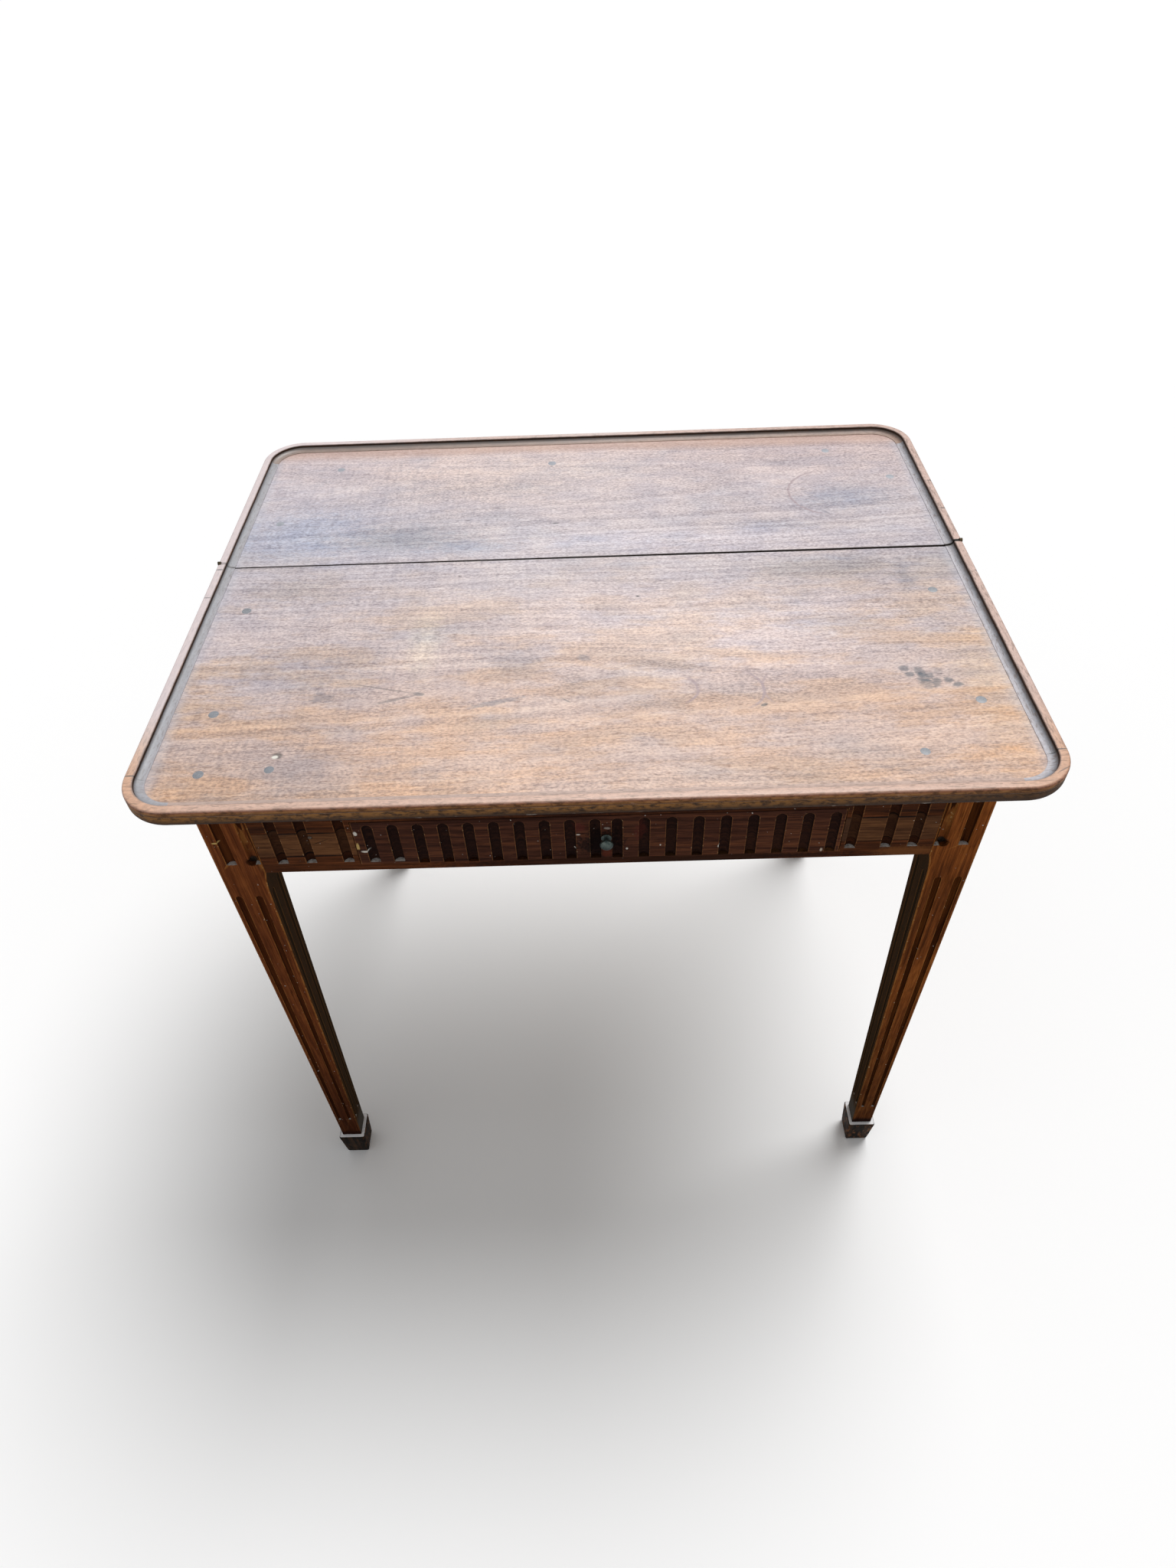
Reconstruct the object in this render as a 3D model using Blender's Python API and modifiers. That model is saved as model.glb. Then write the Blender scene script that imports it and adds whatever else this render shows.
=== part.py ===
"""Games table: a dished top in two leaves on a fluted frame with one drawer.

The front leaf is pegged to the frame. The rear leaf swings up on two side hinges and folds
over onto the front leaf, which opens the well behind the drawer. Metres, +Z up, front at -Y,
origin on the floor under the middle of the top.
"""

import math

import bmesh
import bpy
from mathutils import Matrix, Vector

# Fit between pieces that touch, and how far every cut runs past what it cuts
FIT = 0.0003
OVERRUN = 0.004

# Top
TOP_WIDTH = 0.874
TOP_DEPTH = 0.698
TOP_HEIGHT = 0.740
LEAF_THICKNESS = 0.021
FRONT_LEAF_DEPTH = 0.400
SEAM_GAP = 0.0016
CORNER_RADIUS = 0.048
RIM_WIDTH = 0.0095
RIM_WALL = 0.0028
RIM_WALL_LEAN = 0.0004
RIM_FOOT = 0.0007
COVE_WIDTH = 0.0090
DISH_DEPTH = 0.0070
EDGE_ARRIS = 0.0022
EDGE_UNDER_ROUND = 0.0070

# Frame
FRONT_OVERHANG = 0.015
SIDE_OVERHANG = 0.066
REAR_OVERHANG = 0.127
APRON_HEIGHT = 0.086
APRON_THICKNESS = 0.022
SIDE_APRON_THICKNESS = 0.020
TOP_RAIL_HEIGHT = 0.029
TOP_RAIL_OVER_DRAWER = 0.015
BOTTOM_RAIL_HEIGHT = 0.0235
BOTTOM_RAIL_UNDER_DRAWER = 0.0095

# Mortise and tenon joints of the frame, with their pegs
TENON_LENGTH = 0.024
TENON_THICKNESS = 0.008
TENON_SETBACK = 0.0085
TENON_SHOULDER = 0.0035
PANEL_TENON_LENGTH = 0.008
PEG_RADIUS = 0.0047
PEG_INSET = 0.036
PEG_SUNK = 0.0058
PEG_REACH = 0.0215
LOWER_PEG_RISE = 0.0165

# Legs
LEG_HEAD = 0.046
LEG_NECK = 0.0415
LEG_TOE = 0.0262
LEG_NECK_DROP = 0.036
LEG_CURVE_STEPS = 6
FOOT_TENON = 0.013
FOOT_TENON_LENGTH = 0.026

# Feet
FOOT_HEIGHT = 0.050
FOOT_TOP = 0.0355
FOOT_BASE = 0.0300
FOOT_ARRIS = 0.0016

# Flutes of the apron and of the leg heads
FLUTE_RADIUS = 0.0052
FLUTE_LEDGE_RISE = 0.0135
FLUTE_STAND_OFF = 0.0004
STILE_FLUTE_OUTER = 0.0163
STILE_FLUTE_INNER = 0.0402
SIDE_FLUTE_PITCH = 0.0258
REAR_FLUTE_PITCH = 0.0260
END_PANEL_FLUTE_SHARES = (0.22, 0.51, 0.893)
GOUGE_SIDES = 16
GOUGE_NOSE_RINGS = 6

# Flutes of the legs: places and radii as shares of the leg's width at that height
LEG_FLUTE_SHARES = (0.205, 0.70)
LEG_FLUTE_TOP_RADIUS_SHARE = 0.088
LEG_FLUTE_TOE_RADIUS_SHARE = 0.074
LEG_FLUTE_TOP_DROP = 0.0395
LEG_FLUTE_LEDGE_RISE = 0.0465

# Drawer
LEFT_PANEL_WIDTH = 0.0955
RIGHT_PANEL_WIDTH = 0.0895
DRAWER_GAP = 0.0008
DRAWER_PROUD = 0.0008
DRAWER_FRONT_THICKNESS = 0.020
DRAWER_REAR_SPACE = 0.0188
DRAWER_SIDE_THICKNESS = 0.010
DRAWER_SIDE_SETBACK = 0.0012
DRAWER_SIDE_DROP = 0.0015
DRAWER_BACK_THICKNESS = 0.009
DRAWER_BACK_INSET = 0.014
DRAWER_BOTTOM_THICKNESS = 0.0045
DRAWER_BOTTOM_RISE = 0.007
DRAWER_GROOVE_DEPTH = 0.004
DRAWER_FLUTE_TOP_DROP = 0.0040
KNOB_PLACE = 0.0075
KNOB_FLUTE_SPACING = 0.0207
RIGHT_FLUTE_PITCH = 0.0256
RIGHT_FLUTE_MARGIN = 0.0070
LEFT_FLUTE_PITCH = 0.0238
LEFT_FLUTE_MARGIN = 0.0120

# Dovetails between the drawer front and sides
TAIL_COUNT = 3
TAIL_LENGTH = 0.0115
TAIL_FLARE = 0.0016
TAIL_WAIST_SHARE = 0.56

# Knob
KNOB_RADIUS = 0.0064
KNOB_COLLAR_RADIUS = 0.0050
KNOB_NECK_RADIUS = 0.0026
KNOB_PROJECTION = 0.0134
KNOB_COLLAR_THICKNESS = 0.0018
KNOB_NECK_LENGTH = 0.0035
KNOB_SHANK_RADIUS = 0.0018
KNOB_RISE = 0.0398
KNOB_STEPS = 9
NUT_RADIUS = 0.0045
NUT_THICKNESS = 0.0032
NUT_SIDES = 6

# Inside the frame
DIVIDER_THICKNESS = 0.014
DIVIDER_BEFORE_SEAM = 0.008
DIVIDER_HOUSING = 0.006
RUNNER_WIDTH = 0.026
GUIDE_WIDTH = 0.012
GUIDE_HEIGHT = 0.020
KICKER_WIDTH = 0.030
WELL_FLOOR_RISE = 0.0120
WELL_FLOOR_THICKNESS = 0.008
LEDGER_WIDTH = 0.014
BLOCK_WIDTH = 0.038
BLOCK_DEPTH = 0.036
BLOCK_HEIGHT = 0.028

# Battens under the leaves; each stands a little clear of the frame
BATTEN_WIDTH = 0.024
BATTEN_THICKNESS = 0.016
BATTEN_CLEARANCE = 0.0015
BATTEN_ARRIS = 0.0020
FRONT_BATTEN_INSET = 0.040
BATTEN_SEAM_INSET = 0.014
REAR_BATTEN_INSET = 0.098
CROSS_BATTEN_INSET = 0.053
CROSS_BATTEN_WIDTH = 0.024
CROSS_BATTEN_END_INSET = 0.011

# Side hinges: a plate on each leaf's edge, with lugs side by side on a pin at rim level
HINGE_LENGTH = 0.044
HINGE_HEIGHT = 0.0060
HINGE_BELOW_FIELD = 0.0006
HINGE_PLATE = 0.0015
HINGE_SUNK = 0.0001
HINGE_LUG_RADIUS = 0.0022
HINGE_PIN_RADIUS = 0.0010
HINGE_PIN_LIFT = 0.0002
HINGE_SEAM_INSET = 0.0002
HINGE_ARC_STEPS = 14

ROUND_SIDES = 20
SMALL_ROUND_SIDES = 14
CORNER_STEPS = 8
ARRIS_STEPS = 2
UNDER_ROUND_STEPS = 4
COVE_STEPS = 4

# Levels and faces that follow from the sizes above
UNDERSIDE = TOP_HEIGHT - LEAF_THICKNESS
FIELD = TOP_HEIGHT - DISH_DEPTH
APRON_TOP = UNDERSIDE - FIT
APRON_BOTTOM = UNDERSIDE - APRON_HEIGHT
TOP_FRONT = -TOP_DEPTH / 2
SEAM = TOP_FRONT + FRONT_LEAF_DEPTH
FRAME_HALF = TOP_WIDTH / 2 - SIDE_OVERHANG
FRAME_FRONT = TOP_FRONT + FRONT_OVERHANG
FRAME_BACK = TOP_DEPTH / 2 - REAR_OVERHANG
LEG_INNER = FRAME_HALF - LEG_HEAD
FLUTE_LEDGE = APRON_BOTTOM + FLUTE_LEDGE_RISE
FRONT_FLUTE_LINE = FRAME_FRONT - FLUTE_STAND_OFF
OPENING_BOTTOM = APRON_BOTTOM + BOTTOM_RAIL_UNDER_DRAWER
OPENING_TOP = APRON_TOP - TOP_RAIL_OVER_DRAWER
OPENING_LEFT = LEFT_PANEL_WIDTH - LEG_INNER
OPENING_RIGHT = LEG_INNER - RIGHT_PANEL_WIDTH
DRAWER_CENTRE = (OPENING_LEFT + OPENING_RIGHT) / 2
DRAWER_WIDTH = OPENING_RIGHT - OPENING_LEFT
BOTTOM_RAIL_TOP = APRON_BOTTOM + BOTTOM_RAIL_HEIGHT
TOP_RAIL_BOTTOM = APRON_TOP - TOP_RAIL_HEIGHT
DIVIDER_BACK = SEAM - DIVIDER_BEFORE_SEAM
DIVIDER_FRONT = DIVIDER_BACK - DIVIDER_THICKNESS
BATTEN_PLACE = FRAME_HALF + BATTEN_CLEARANCE + BATTEN_WIDTH / 2
HINGE_PIN_HEIGHT = TOP_HEIGHT + HINGE_PIN_LIFT
DRAWER_FRONT_LOW = OPENING_BOTTOM + FIT
DRAWER_FRONT_HIGH = OPENING_TOP - FIT
DRAWER_FACE = FRAME_FRONT - DRAWER_PROUD
DRAWER_BACK_END = DIVIDER_FRONT - DRAWER_REAR_SPACE
DRAWER_SIDE_HIGH = DRAWER_FRONT_HIGH - DRAWER_SIDE_DROP
DRAWER_INNER_FACE = DRAWER_FACE + DRAWER_FRONT_THICKNESS
HINGE_PLATE_TOP = FIELD - HINGE_BELOW_FIELD
HINGE_PLATE_BOTTOM = HINGE_PLATE_TOP - HINGE_HEIGHT
SIDE_INNER = FRAME_HALF - SIDE_APRON_THICKNESS
KNOB_X = DRAWER_CENTRE + KNOB_PLACE
KNOB_HEIGHT = APRON_BOTTOM + KNOB_RISE

# An outline drawn in local XY stands up in world XZ or in world YZ
STAND_ACROSS_Y = Matrix(((1, 0, 0, 0), (0, 0, -1, 0), (0, 1, 0, 0), (0, 0, 0, 1)))
STAND_ACROSS_X = Matrix(((0, 0, 1, 0), (1, 0, 0, 0), (0, 1, 0, 0), (0, 0, 0, 1)))

FINISHES = {
    "walnut_top": ((0.300, 0.165, 0.095), 0.38, 0.0),
    "walnut_frame": ((0.150, 0.060, 0.025), 0.42, 0.0),
    "walnut_dark": ((0.060, 0.030, 0.018), 0.50, 0.0),
    "oak_inside": ((0.360, 0.240, 0.130), 0.65, 0.0),
    "oak_peg": ((0.100, 0.065, 0.045), 0.55, 0.0),
    "aged_brass": ((0.300, 0.230, 0.110), 0.45, 0.9),
    "green_bronze": ((0.200, 0.260, 0.220), 0.50, 0.8),
    "iron": ((0.120, 0.110, 0.100), 0.60, 0.8),
}


def start_scene():
    """Empty the scene and give back the table's collection and the cutters' one."""
    for found in list(bpy.data.objects):
        bpy.data.objects.remove(found)
    table = bpy.data.collections.new("games_table")
    cutters = bpy.data.collections.new("cutters")
    bpy.context.scene.collection.children.link(table)
    bpy.context.scene.collection.children.link(cutters)
    return table, cutters


TABLE, CUTTERS = start_scene()


def finish(name, key):
    """A Principled material of its own for the named piece."""
    colour, roughness, metallic = FINISHES[key]
    material = bpy.data.materials.new(name)
    material.use_nodes = True
    shader = material.node_tree.nodes["Principled BSDF"]
    shader.inputs["Base Color"].default_value = (*colour, 1.0)
    shader.inputs["Roughness"].default_value = roughness
    shader.inputs["Metallic"].default_value = metallic
    material.diffuse_color = (*colour, 1.0)
    return material


def piece(name, mesh, place, key, parent=None, smooth=False):
    """Put a mesh in the table's collection as a named piece."""
    made = bpy.data.objects.new(name, mesh)
    mesh.name = name
    mesh.materials.clear()
    mesh.materials.append(finish(name, key))
    if smooth:
        mesh.shade_smooth()
        mesh.set_sharp_from_angle(angle=math.radians(40))
    TABLE.objects.link(made)
    made.location = place
    if parent is not None:
        made.parent = parent
        made.matrix_parent_inverse = Matrix.Translation(-parent.location)
    return made


def helper(name, bm):
    """Turn a bmesh into a hidden cutter object."""
    bmesh.ops.recalc_face_normals(bm, faces=bm.faces)
    made = bpy.data.objects.new(name, finished_mesh(name, bm))
    CUTTERS.objects.link(made)
    made.hide_render = True
    made.display_type = "WIRE"
    return made


def combine(target, tool, operation):
    """Cut the tool from the target, join it on, or keep what they share."""
    tool.name = f"{target.name}_{operation.lower()}_tool"
    change = target.modifiers.new(tool.name, "BOOLEAN")
    change.operation = operation
    change.object = tool
    change.solver = "EXACT"
    return change


def empty(name, place):
    """A joint's axis point, which carries the pieces that move about it."""
    made = bpy.data.objects.new(name, None)
    TABLE.objects.link(made)
    made.location = place
    made.empty_display_size = LEG_HEAD
    return made


def add_box(bm, low, high):
    """Add a box between two opposite corners."""
    low, high = Vector(low), Vector(high)
    place = Matrix.Translation((low + high) / 2) @ Matrix.Diagonal((*(high - low), 1))
    bmesh.ops.create_cube(bm, size=1, matrix=place)


def add_rod(bm, start, end, radius, end_radius=None, sides=ROUND_SIDES):
    """Add a rod, or a cone where the end radius differs, between two points."""
    start, end = Vector(start), Vector(end)
    turn = (end - start).to_track_quat("Z", "Y").to_matrix().to_4x4()
    bmesh.ops.create_cone(
        bm,
        cap_ends=True,
        segments=sides,
        radius1=radius,
        radius2=radius if end_radius is None else end_radius,
        depth=(end - start).length,
        matrix=Matrix.Translation((start + end) / 2) @ turn,
    )


def add_gouge(bm, nose, heel, nose_radius, heel_radius):
    """Add the form that a gouge takes out: a round nose, and a flat ledge at the heel."""
    nose, heel = Vector(nose), Vector(heel)
    ball = bmesh.ops.create_uvsphere(
        bm, u_segments=GOUGE_SIDES, v_segments=GOUGE_NOSE_RINGS, radius=nose_radius
    )["verts"]
    below = [vert for vert in ball if vert.co.z < -nose_radius / GOUGE_SIDES]
    above = [vert for vert in ball if vert not in below]
    bmesh.ops.delete(bm, geom=below, context="VERTS")
    kept = set(above)
    rim = [edge for edge in bm.edges if edge.is_boundary and edge.verts[0] in kept]
    skirt = bmesh.ops.extrude_edge_only(bm, edges=rim)["geom"]
    low = [item for item in skirt if isinstance(item, bmesh.types.BMVert)]
    for vert in low:
        vert.co = vert.co * (heel_radius / nose_radius)
        vert.co.z = -(nose - heel).length
    edges = [item for item in skirt if isinstance(item, bmesh.types.BMEdge)]
    bmesh.ops.holes_fill(bm, edges=edges)
    turn = (nose - heel).to_track_quat("Z", "Y").to_matrix().to_4x4()
    bmesh.ops.transform(bm, matrix=Matrix.Translation(nose) @ turn, verts=above + low)


def add_span(bm, across, along, up):
    """Add a box from spans whose ends may come in either order."""
    low = [min(span) for span in (across, along, up)]
    high = [max(span) for span in (across, along, up)]
    add_box(bm, low, high)


def finished_mesh(name, bm):
    """Turn a bmesh into a mesh and let the bmesh go."""
    mesh = bpy.data.meshes.new(name)
    bm.to_mesh(mesh)
    bm.free()
    return mesh


def box_mesh(size):
    """A box mesh about its own middle."""
    bm = bmesh.new()
    add_box(bm, -Vector(size) / 2, Vector(size) / 2)
    return finished_mesh("board", bm)


def board(name, low, high, key, parent=None):
    """A plain board between two opposite corners, placed by its middle."""
    low, high = Vector(low), Vector(high)
    return piece(name, box_mesh(high - low), (low + high) / 2, key, parent)


def ease(made, width, segments=1):
    """Take off the arrises of a board."""
    change = made.modifiers.new("arris", "BEVEL")
    change.width = width
    change.segments = segments
    change.limit_method = "ANGLE"
    change.angle_limit = math.radians(30)
    change.harden_normals = False
    return change


def outline_mesh(points, thickness, stand, middle=(0, 0, 0)):
    """Saw a flat outline from a board: a filled 2D curve made into a closed mesh."""
    curve = bpy.data.curves.new("outline", "CURVE")
    curve.dimensions = "2D"
    curve.fill_mode = "BOTH"
    curve.extrude = thickness / 2
    spline = curve.splines.new("POLY")
    spline.points.add(len(points) - 1)
    for spot, (x, y) in zip(spline.points, points):
        spot.co = (x, y, 0, 1)
    spline.use_cyclic_u = True
    holder = bpy.data.objects.new("outline", curve)
    CUTTERS.objects.link(holder)
    holder.matrix_world = Matrix.Translation(middle) @ stand
    bpy.context.view_layer.update()
    solid = holder.evaluated_get(bpy.context.evaluated_depsgraph_get())
    mesh = bpy.data.meshes.new_from_object(solid)
    mesh.transform(holder.matrix_world)
    bm = bmesh.new()
    bm.from_mesh(mesh)
    bmesh.ops.remove_doubles(bm, verts=bm.verts, dist=FIT / 10)
    bmesh.ops.recalc_face_normals(bm, faces=bm.faces)
    bm.to_mesh(mesh)
    bm.free()
    bpy.data.objects.remove(holder)
    return mesh


def turned_mesh(profile, sides):
    """Turn a profile of (radius, height) points, top to bottom, about Z."""
    line = bpy.data.meshes.new("profile")
    points = [(radius, 0, height) for radius, height in profile]
    line.from_pydata(points, [(at, at + 1) for at in range(len(points) - 1)], [])
    holder = bpy.data.objects.new("turning", line)
    CUTTERS.objects.link(holder)
    screw = holder.modifiers.new("turn", "SCREW")
    screw.steps = sides
    screw.render_steps = sides
    screw.use_merge_vertices = True
    screw.merge_threshold = FIT / 10
    screw.use_smooth_shade = True
    bpy.context.view_layer.update()
    solid = holder.evaluated_get(bpy.context.evaluated_depsgraph_get())
    mesh = bpy.data.meshes.new_from_object(solid)
    bm = bmesh.new()
    bm.from_mesh(mesh)
    bmesh.ops.remove_doubles(bm, verts=bm.verts, dist=FIT / 10)
    bmesh.ops.recalc_face_normals(bm, faces=bm.faces)
    bm.to_mesh(mesh)
    bm.free()
    bpy.data.objects.remove(holder)
    return mesh


# Top: two leaves with moulded rims planted on them


def rounded_outline(width, depth, radius):
    """The top's plan: a rectangle with round corners."""
    points = []
    for turn in range(4):
        side_x = 1 if turn in (0, 3) else -1
        side_y = 1 if turn in (0, 1) else -1
        middle = Vector((side_x * (width / 2 - radius), side_y * (depth / 2 - radius)))
        for step in range(CORNER_STEPS + 1):
            angle = math.radians(90) * (turn + step / CORNER_STEPS)
            points.append(middle + radius * Vector((math.cos(angle), math.sin(angle))))
    return points


def round_over(bm, face, size, steps):
    """Round a face's edges over by successive insets that each raise it less."""
    before = (0, 0)
    for step in range(1, steps + 1):
        angle = math.radians(90) * step / steps
        after = (size * (1 - math.cos(angle)), size * math.sin(angle))
        bmesh.ops.inset_region(
            bm,
            faces=[face],
            thickness=after[0] - before[0],
            depth=after[1] - before[1],
            use_even_offset=True,
        )
        before = after


def leaf_board(name, keep_front, parent=None):
    """The flat board of one leaf: the whole plan, rounded under, sawn at the seam."""
    bm = bmesh.new()
    plan = rounded_outline(TOP_WIDTH, TOP_DEPTH, CORNER_RADIUS)
    verts = [bm.verts.new((x, y, FIELD)) for x, y in plan]
    field = bm.faces.new(verts)
    under = bmesh.ops.extrude_face_region(bm, geom=[field], use_keep_orig=True)["geom"]
    lowered = [item for item in under if isinstance(item, bmesh.types.BMVert)]
    face = next(item for item in under if isinstance(item, bmesh.types.BMFace))
    bmesh.ops.translate(
        bm, verts=lowered, vec=(0, 0, UNDERSIDE + EDGE_UNDER_ROUND - FIELD)
    )
    bmesh.ops.recalc_face_normals(bm, faces=bm.faces)
    round_over(bm, face, EDGE_UNDER_ROUND, UNDER_ROUND_STEPS)
    side = -1 if keep_front else 1
    cut = SEAM + side * SEAM_GAP / 2
    everything = bm.verts[:] + bm.edges[:] + bm.faces[:]
    sawn = bmesh.ops.bisect_plane(
        bm, geom=everything, plane_co=(0, cut, 0), plane_no=(0, -side, 0), clear_outer=True
    )
    edges = [item for item in sawn["geom_cut"] if isinstance(item, bmesh.types.BMEdge)]
    bmesh.ops.contextual_create(bm, geom=edges)
    bmesh.ops.recalc_face_normals(bm, faces=bm.faces)
    mesh = bpy.data.meshes.new(name)
    bm.to_mesh(mesh)
    bm.free()
    mesh.transform(Matrix.Translation((0, -SEAM, -FIELD)))
    return piece(name, mesh, (0, SEAM, FIELD), "walnut_top", parent)


def rim_profile():
    """The rim's section as (distance in from the edge, height above the rim's seat)."""
    height = DISH_DEPTH - FIT
    foot_in = RIM_WIDTH + COVE_WIDTH
    hollow_in = RIM_WIDTH + RIM_WALL_LEAN
    hollow_high = height - RIM_WALL
    points = [(0, 0)]
    for step in range(ARRIS_STEPS + 1):
        angle = math.radians(90) * step / ARRIS_STEPS
        points.append(
            (EDGE_ARRIS * (1 - math.cos(angle)), height - EDGE_ARRIS * (1 - math.sin(angle)))
        )
    points.append((RIM_WIDTH, height))
    for step in range(COVE_STEPS + 1):
        angle = math.radians(90) * step / COVE_STEPS
        points.append(
            (
                hollow_in + (foot_in - hollow_in) * (1 - math.cos(angle)),
                hollow_high - (hollow_high - RIM_FOOT) * math.sin(angle),
            )
        )
    points.append((foot_in, 0))
    return points


RIM_SEAT = FIELD + FIT


def rim_along_x(name, side_y, parent=None):
    """The long rim of one leaf, at the front or rear edge."""
    edge = side_y * TOP_DEPTH / 2
    points = [(-side_y * inward, up) for inward, up in rim_profile()]
    length = TOP_WIDTH - 2 * CORNER_RADIUS - 2 * FIT
    mesh = outline_mesh(points, length, STAND_ACROSS_X)
    return piece(name, mesh, (0, edge, RIM_SEAT), "walnut_top", parent, smooth=True)


def rim_along_y(name, side_x, start, end, parent=None):
    """A side rim of one leaf, from its seam to its corner piece."""
    edge = side_x * TOP_WIDTH / 2
    points = [(-side_x * inward, up) for inward, up in rim_profile()]
    mesh = outline_mesh(points, abs(end - start), STAND_ACROSS_Y)
    place = (edge, (start + end) / 2, RIM_SEAT)
    return piece(name, mesh, place, "walnut_top", parent, smooth=True)


def rim_corner(name, side_x, side_y, parent=None):
    """A quarter-round corner of the rim: the section carried round the corner's centre."""
    bm = bmesh.new()
    verts = [bm.verts.new((CORNER_RADIUS - inward, 0, up)) for inward, up in rim_profile()]
    face = bm.faces.new(verts)
    turn = Matrix.Rotation(math.radians(90) / CORNER_STEPS, 3, "Z")
    for step in range(CORNER_STEPS):
        grown = bmesh.ops.extrude_face_region(bm, geom=[face], use_keep_orig=True)["geom"]
        moved = [item for item in grown if isinstance(item, bmesh.types.BMVert)]
        if step > 0:
            bmesh.ops.delete(bm, geom=[face], context="FACES_ONLY")
        face = next(item for item in grown if isinstance(item, bmesh.types.BMFace))
        bmesh.ops.rotate(bm, verts=moved, matrix=turn)
    bmesh.ops.scale(bm, verts=bm.verts, vec=(side_x, side_y, 1))
    bmesh.ops.recalc_face_normals(bm, faces=bm.faces)
    mesh = bpy.data.meshes.new(name)
    bm.to_mesh(mesh)
    bm.free()
    place = (
        side_x * (TOP_WIDTH / 2 - CORNER_RADIUS),
        side_y * (TOP_DEPTH / 2 - CORNER_RADIUS),
        RIM_SEAT,
    )
    return piece(name, mesh, place, "walnut_top", parent, smooth=True)


def batten(name, place, start, end, parent=None):
    """A batten under a leaf, beside the frame."""
    low = (place - BATTEN_WIDTH / 2, start, UNDERSIDE - FIT - BATTEN_THICKNESS)
    high = (place + BATTEN_WIDTH / 2, end, UNDERSIDE - FIT)
    made = board(name, low, high, "walnut_frame", parent)
    ease(made, BATTEN_ARRIS)
    return made


# Hinges: the front leaf's lug is in the outer layer, the rear leaf's in the inner one

HINGE_INNER_LAYER = HINGE_SUNK + HINGE_PLATE + FIT
HINGE_DEPTH = HINGE_INNER_LAYER + HINGE_PLATE


def hinge_side(side, inset):
    """World X at a depth inside one edge of the top."""
    return side * (TOP_WIDTH / 2 - inset)


def lug_points(toward):
    """A lug and its neck in (y, z) about the pin; toward is -1 for the front leaf."""
    near = HINGE_SEAM_INSET
    foot = HINGE_PLATE_TOP - HINGE_SUNK - HINGE_PIN_HEIGHT
    start = math.asin(near / HINGE_LUG_RADIUS)
    sweep = math.radians(270) - start
    points = [(HINGE_LUG_RADIUS, foot), (near, foot)]
    for step in range(HINGE_ARC_STEPS + 1):
        angle = start - sweep * step / HINGE_ARC_STEPS
        points.append((HINGE_LUG_RADIUS * math.sin(angle), -HINGE_LUG_RADIUS * math.cos(angle)))
    return [(toward * along, up) for along, up in points]


def hinge_plate(name, side, toward, parent=None):
    """One plate in a leaf's edge, with its lug, bored for the pin."""
    inner = toward > 0
    reach = HINGE_DEPTH if inner else HINGE_SUNK + HINGE_PLATE
    across = (hinge_side(side, HINGE_SUNK), hinge_side(side, reach))
    along = (SEAM + toward * HINGE_SEAM_INSET, SEAM + toward * HINGE_LENGTH)
    bm = bmesh.new()
    add_span(bm, across, along, (HINGE_PLATE_BOTTOM, HINGE_PLATE_TOP))
    made = piece(name, finished_mesh(name, bm), (0, 0, 0), "aged_brass", parent)
    lug_inset = (HINGE_INNER_LAYER if inner else HINGE_SUNK) + HINGE_PLATE / 2
    middle = (hinge_side(side, lug_inset), SEAM, HINGE_PIN_HEIGHT)
    bm = bmesh.new()
    bm.from_mesh(outline_mesh(lug_points(toward), HINGE_PLATE - HINGE_SUNK, STAND_ACROSS_X,
                              middle))
    combine(made, helper("lug", bm), "UNION")
    bm = bmesh.new()
    add_rod(bm, (hinge_side(side, -OVERRUN), SEAM, HINGE_PIN_HEIGHT),
            (hinge_side(side, HINGE_DEPTH + OVERRUN), SEAM, HINGE_PIN_HEIGHT),
            HINGE_PIN_RADIUS + FIT, sides=SMALL_ROUND_SIDES)
    combine(made, helper("pin_bore", bm), "DIFFERENCE")
    return made


def hinge_recess(toward):
    """Room for the plates in both edges of a leaf."""
    plate_reach = HINGE_DEPTH if toward > 0 else HINGE_SUNK + HINGE_PLATE
    bm = bmesh.new()
    for side in (-1, 1):
        across = (hinge_side(side, -OVERRUN), hinge_side(side, plate_reach + FIT))
        along = (SEAM - toward * OVERRUN, SEAM + toward * (HINGE_LENGTH + FIT))
        add_span(bm, across, along, (HINGE_PLATE_BOTTOM - FIT, HINGE_PLATE_TOP + FIT))
    return helper("plate_recess", bm)


def lug_notch():
    """The notch at both ends of the seam that the lugs stand in."""
    bm = bmesh.new()
    reach = HINGE_LUG_RADIUS + FIT
    for side in (-1, 1):
        across = (hinge_side(side, -OVERRUN), hinge_side(side, HINGE_DEPTH + FIT))
        add_span(bm, across, (SEAM - reach, SEAM + reach),
                 (HINGE_PLATE_BOTTOM + HINGE_HEIGHT / 2, TOP_HEIGHT + OVERRUN))
    return helper("lug_notch", bm)


def hinge_pin(name, side):
    """The pin through one pair of lugs."""
    bm = bmesh.new()
    add_rod(bm, (hinge_side(side, HINGE_SUNK), SEAM, HINGE_PIN_HEIGHT),
            (hinge_side(side, HINGE_DEPTH), SEAM, HINGE_PIN_HEIGHT), HINGE_PIN_RADIUS,
            sides=SMALL_ROUND_SIDES)
    return piece(name, finished_mesh(name, bm), (0, 0, 0), "iron", smooth=True)


# Legs and feet


def leg_width(height):
    """Width of a leg at a height: square head, hollow neck, straight taper to the toe."""
    neck = APRON_BOTTOM - LEG_NECK_DROP
    if height >= APRON_BOTTOM:
        return LEG_HEAD
    if height >= neck:
        share = (height - neck) / LEG_NECK_DROP
        return LEG_NECK + (LEG_HEAD - LEG_NECK) * share**2
    share = (height - FOOT_HEIGHT) / (neck - FOOT_HEIGHT)
    return LEG_TOE + (LEG_NECK - LEG_TOE) * share


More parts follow.
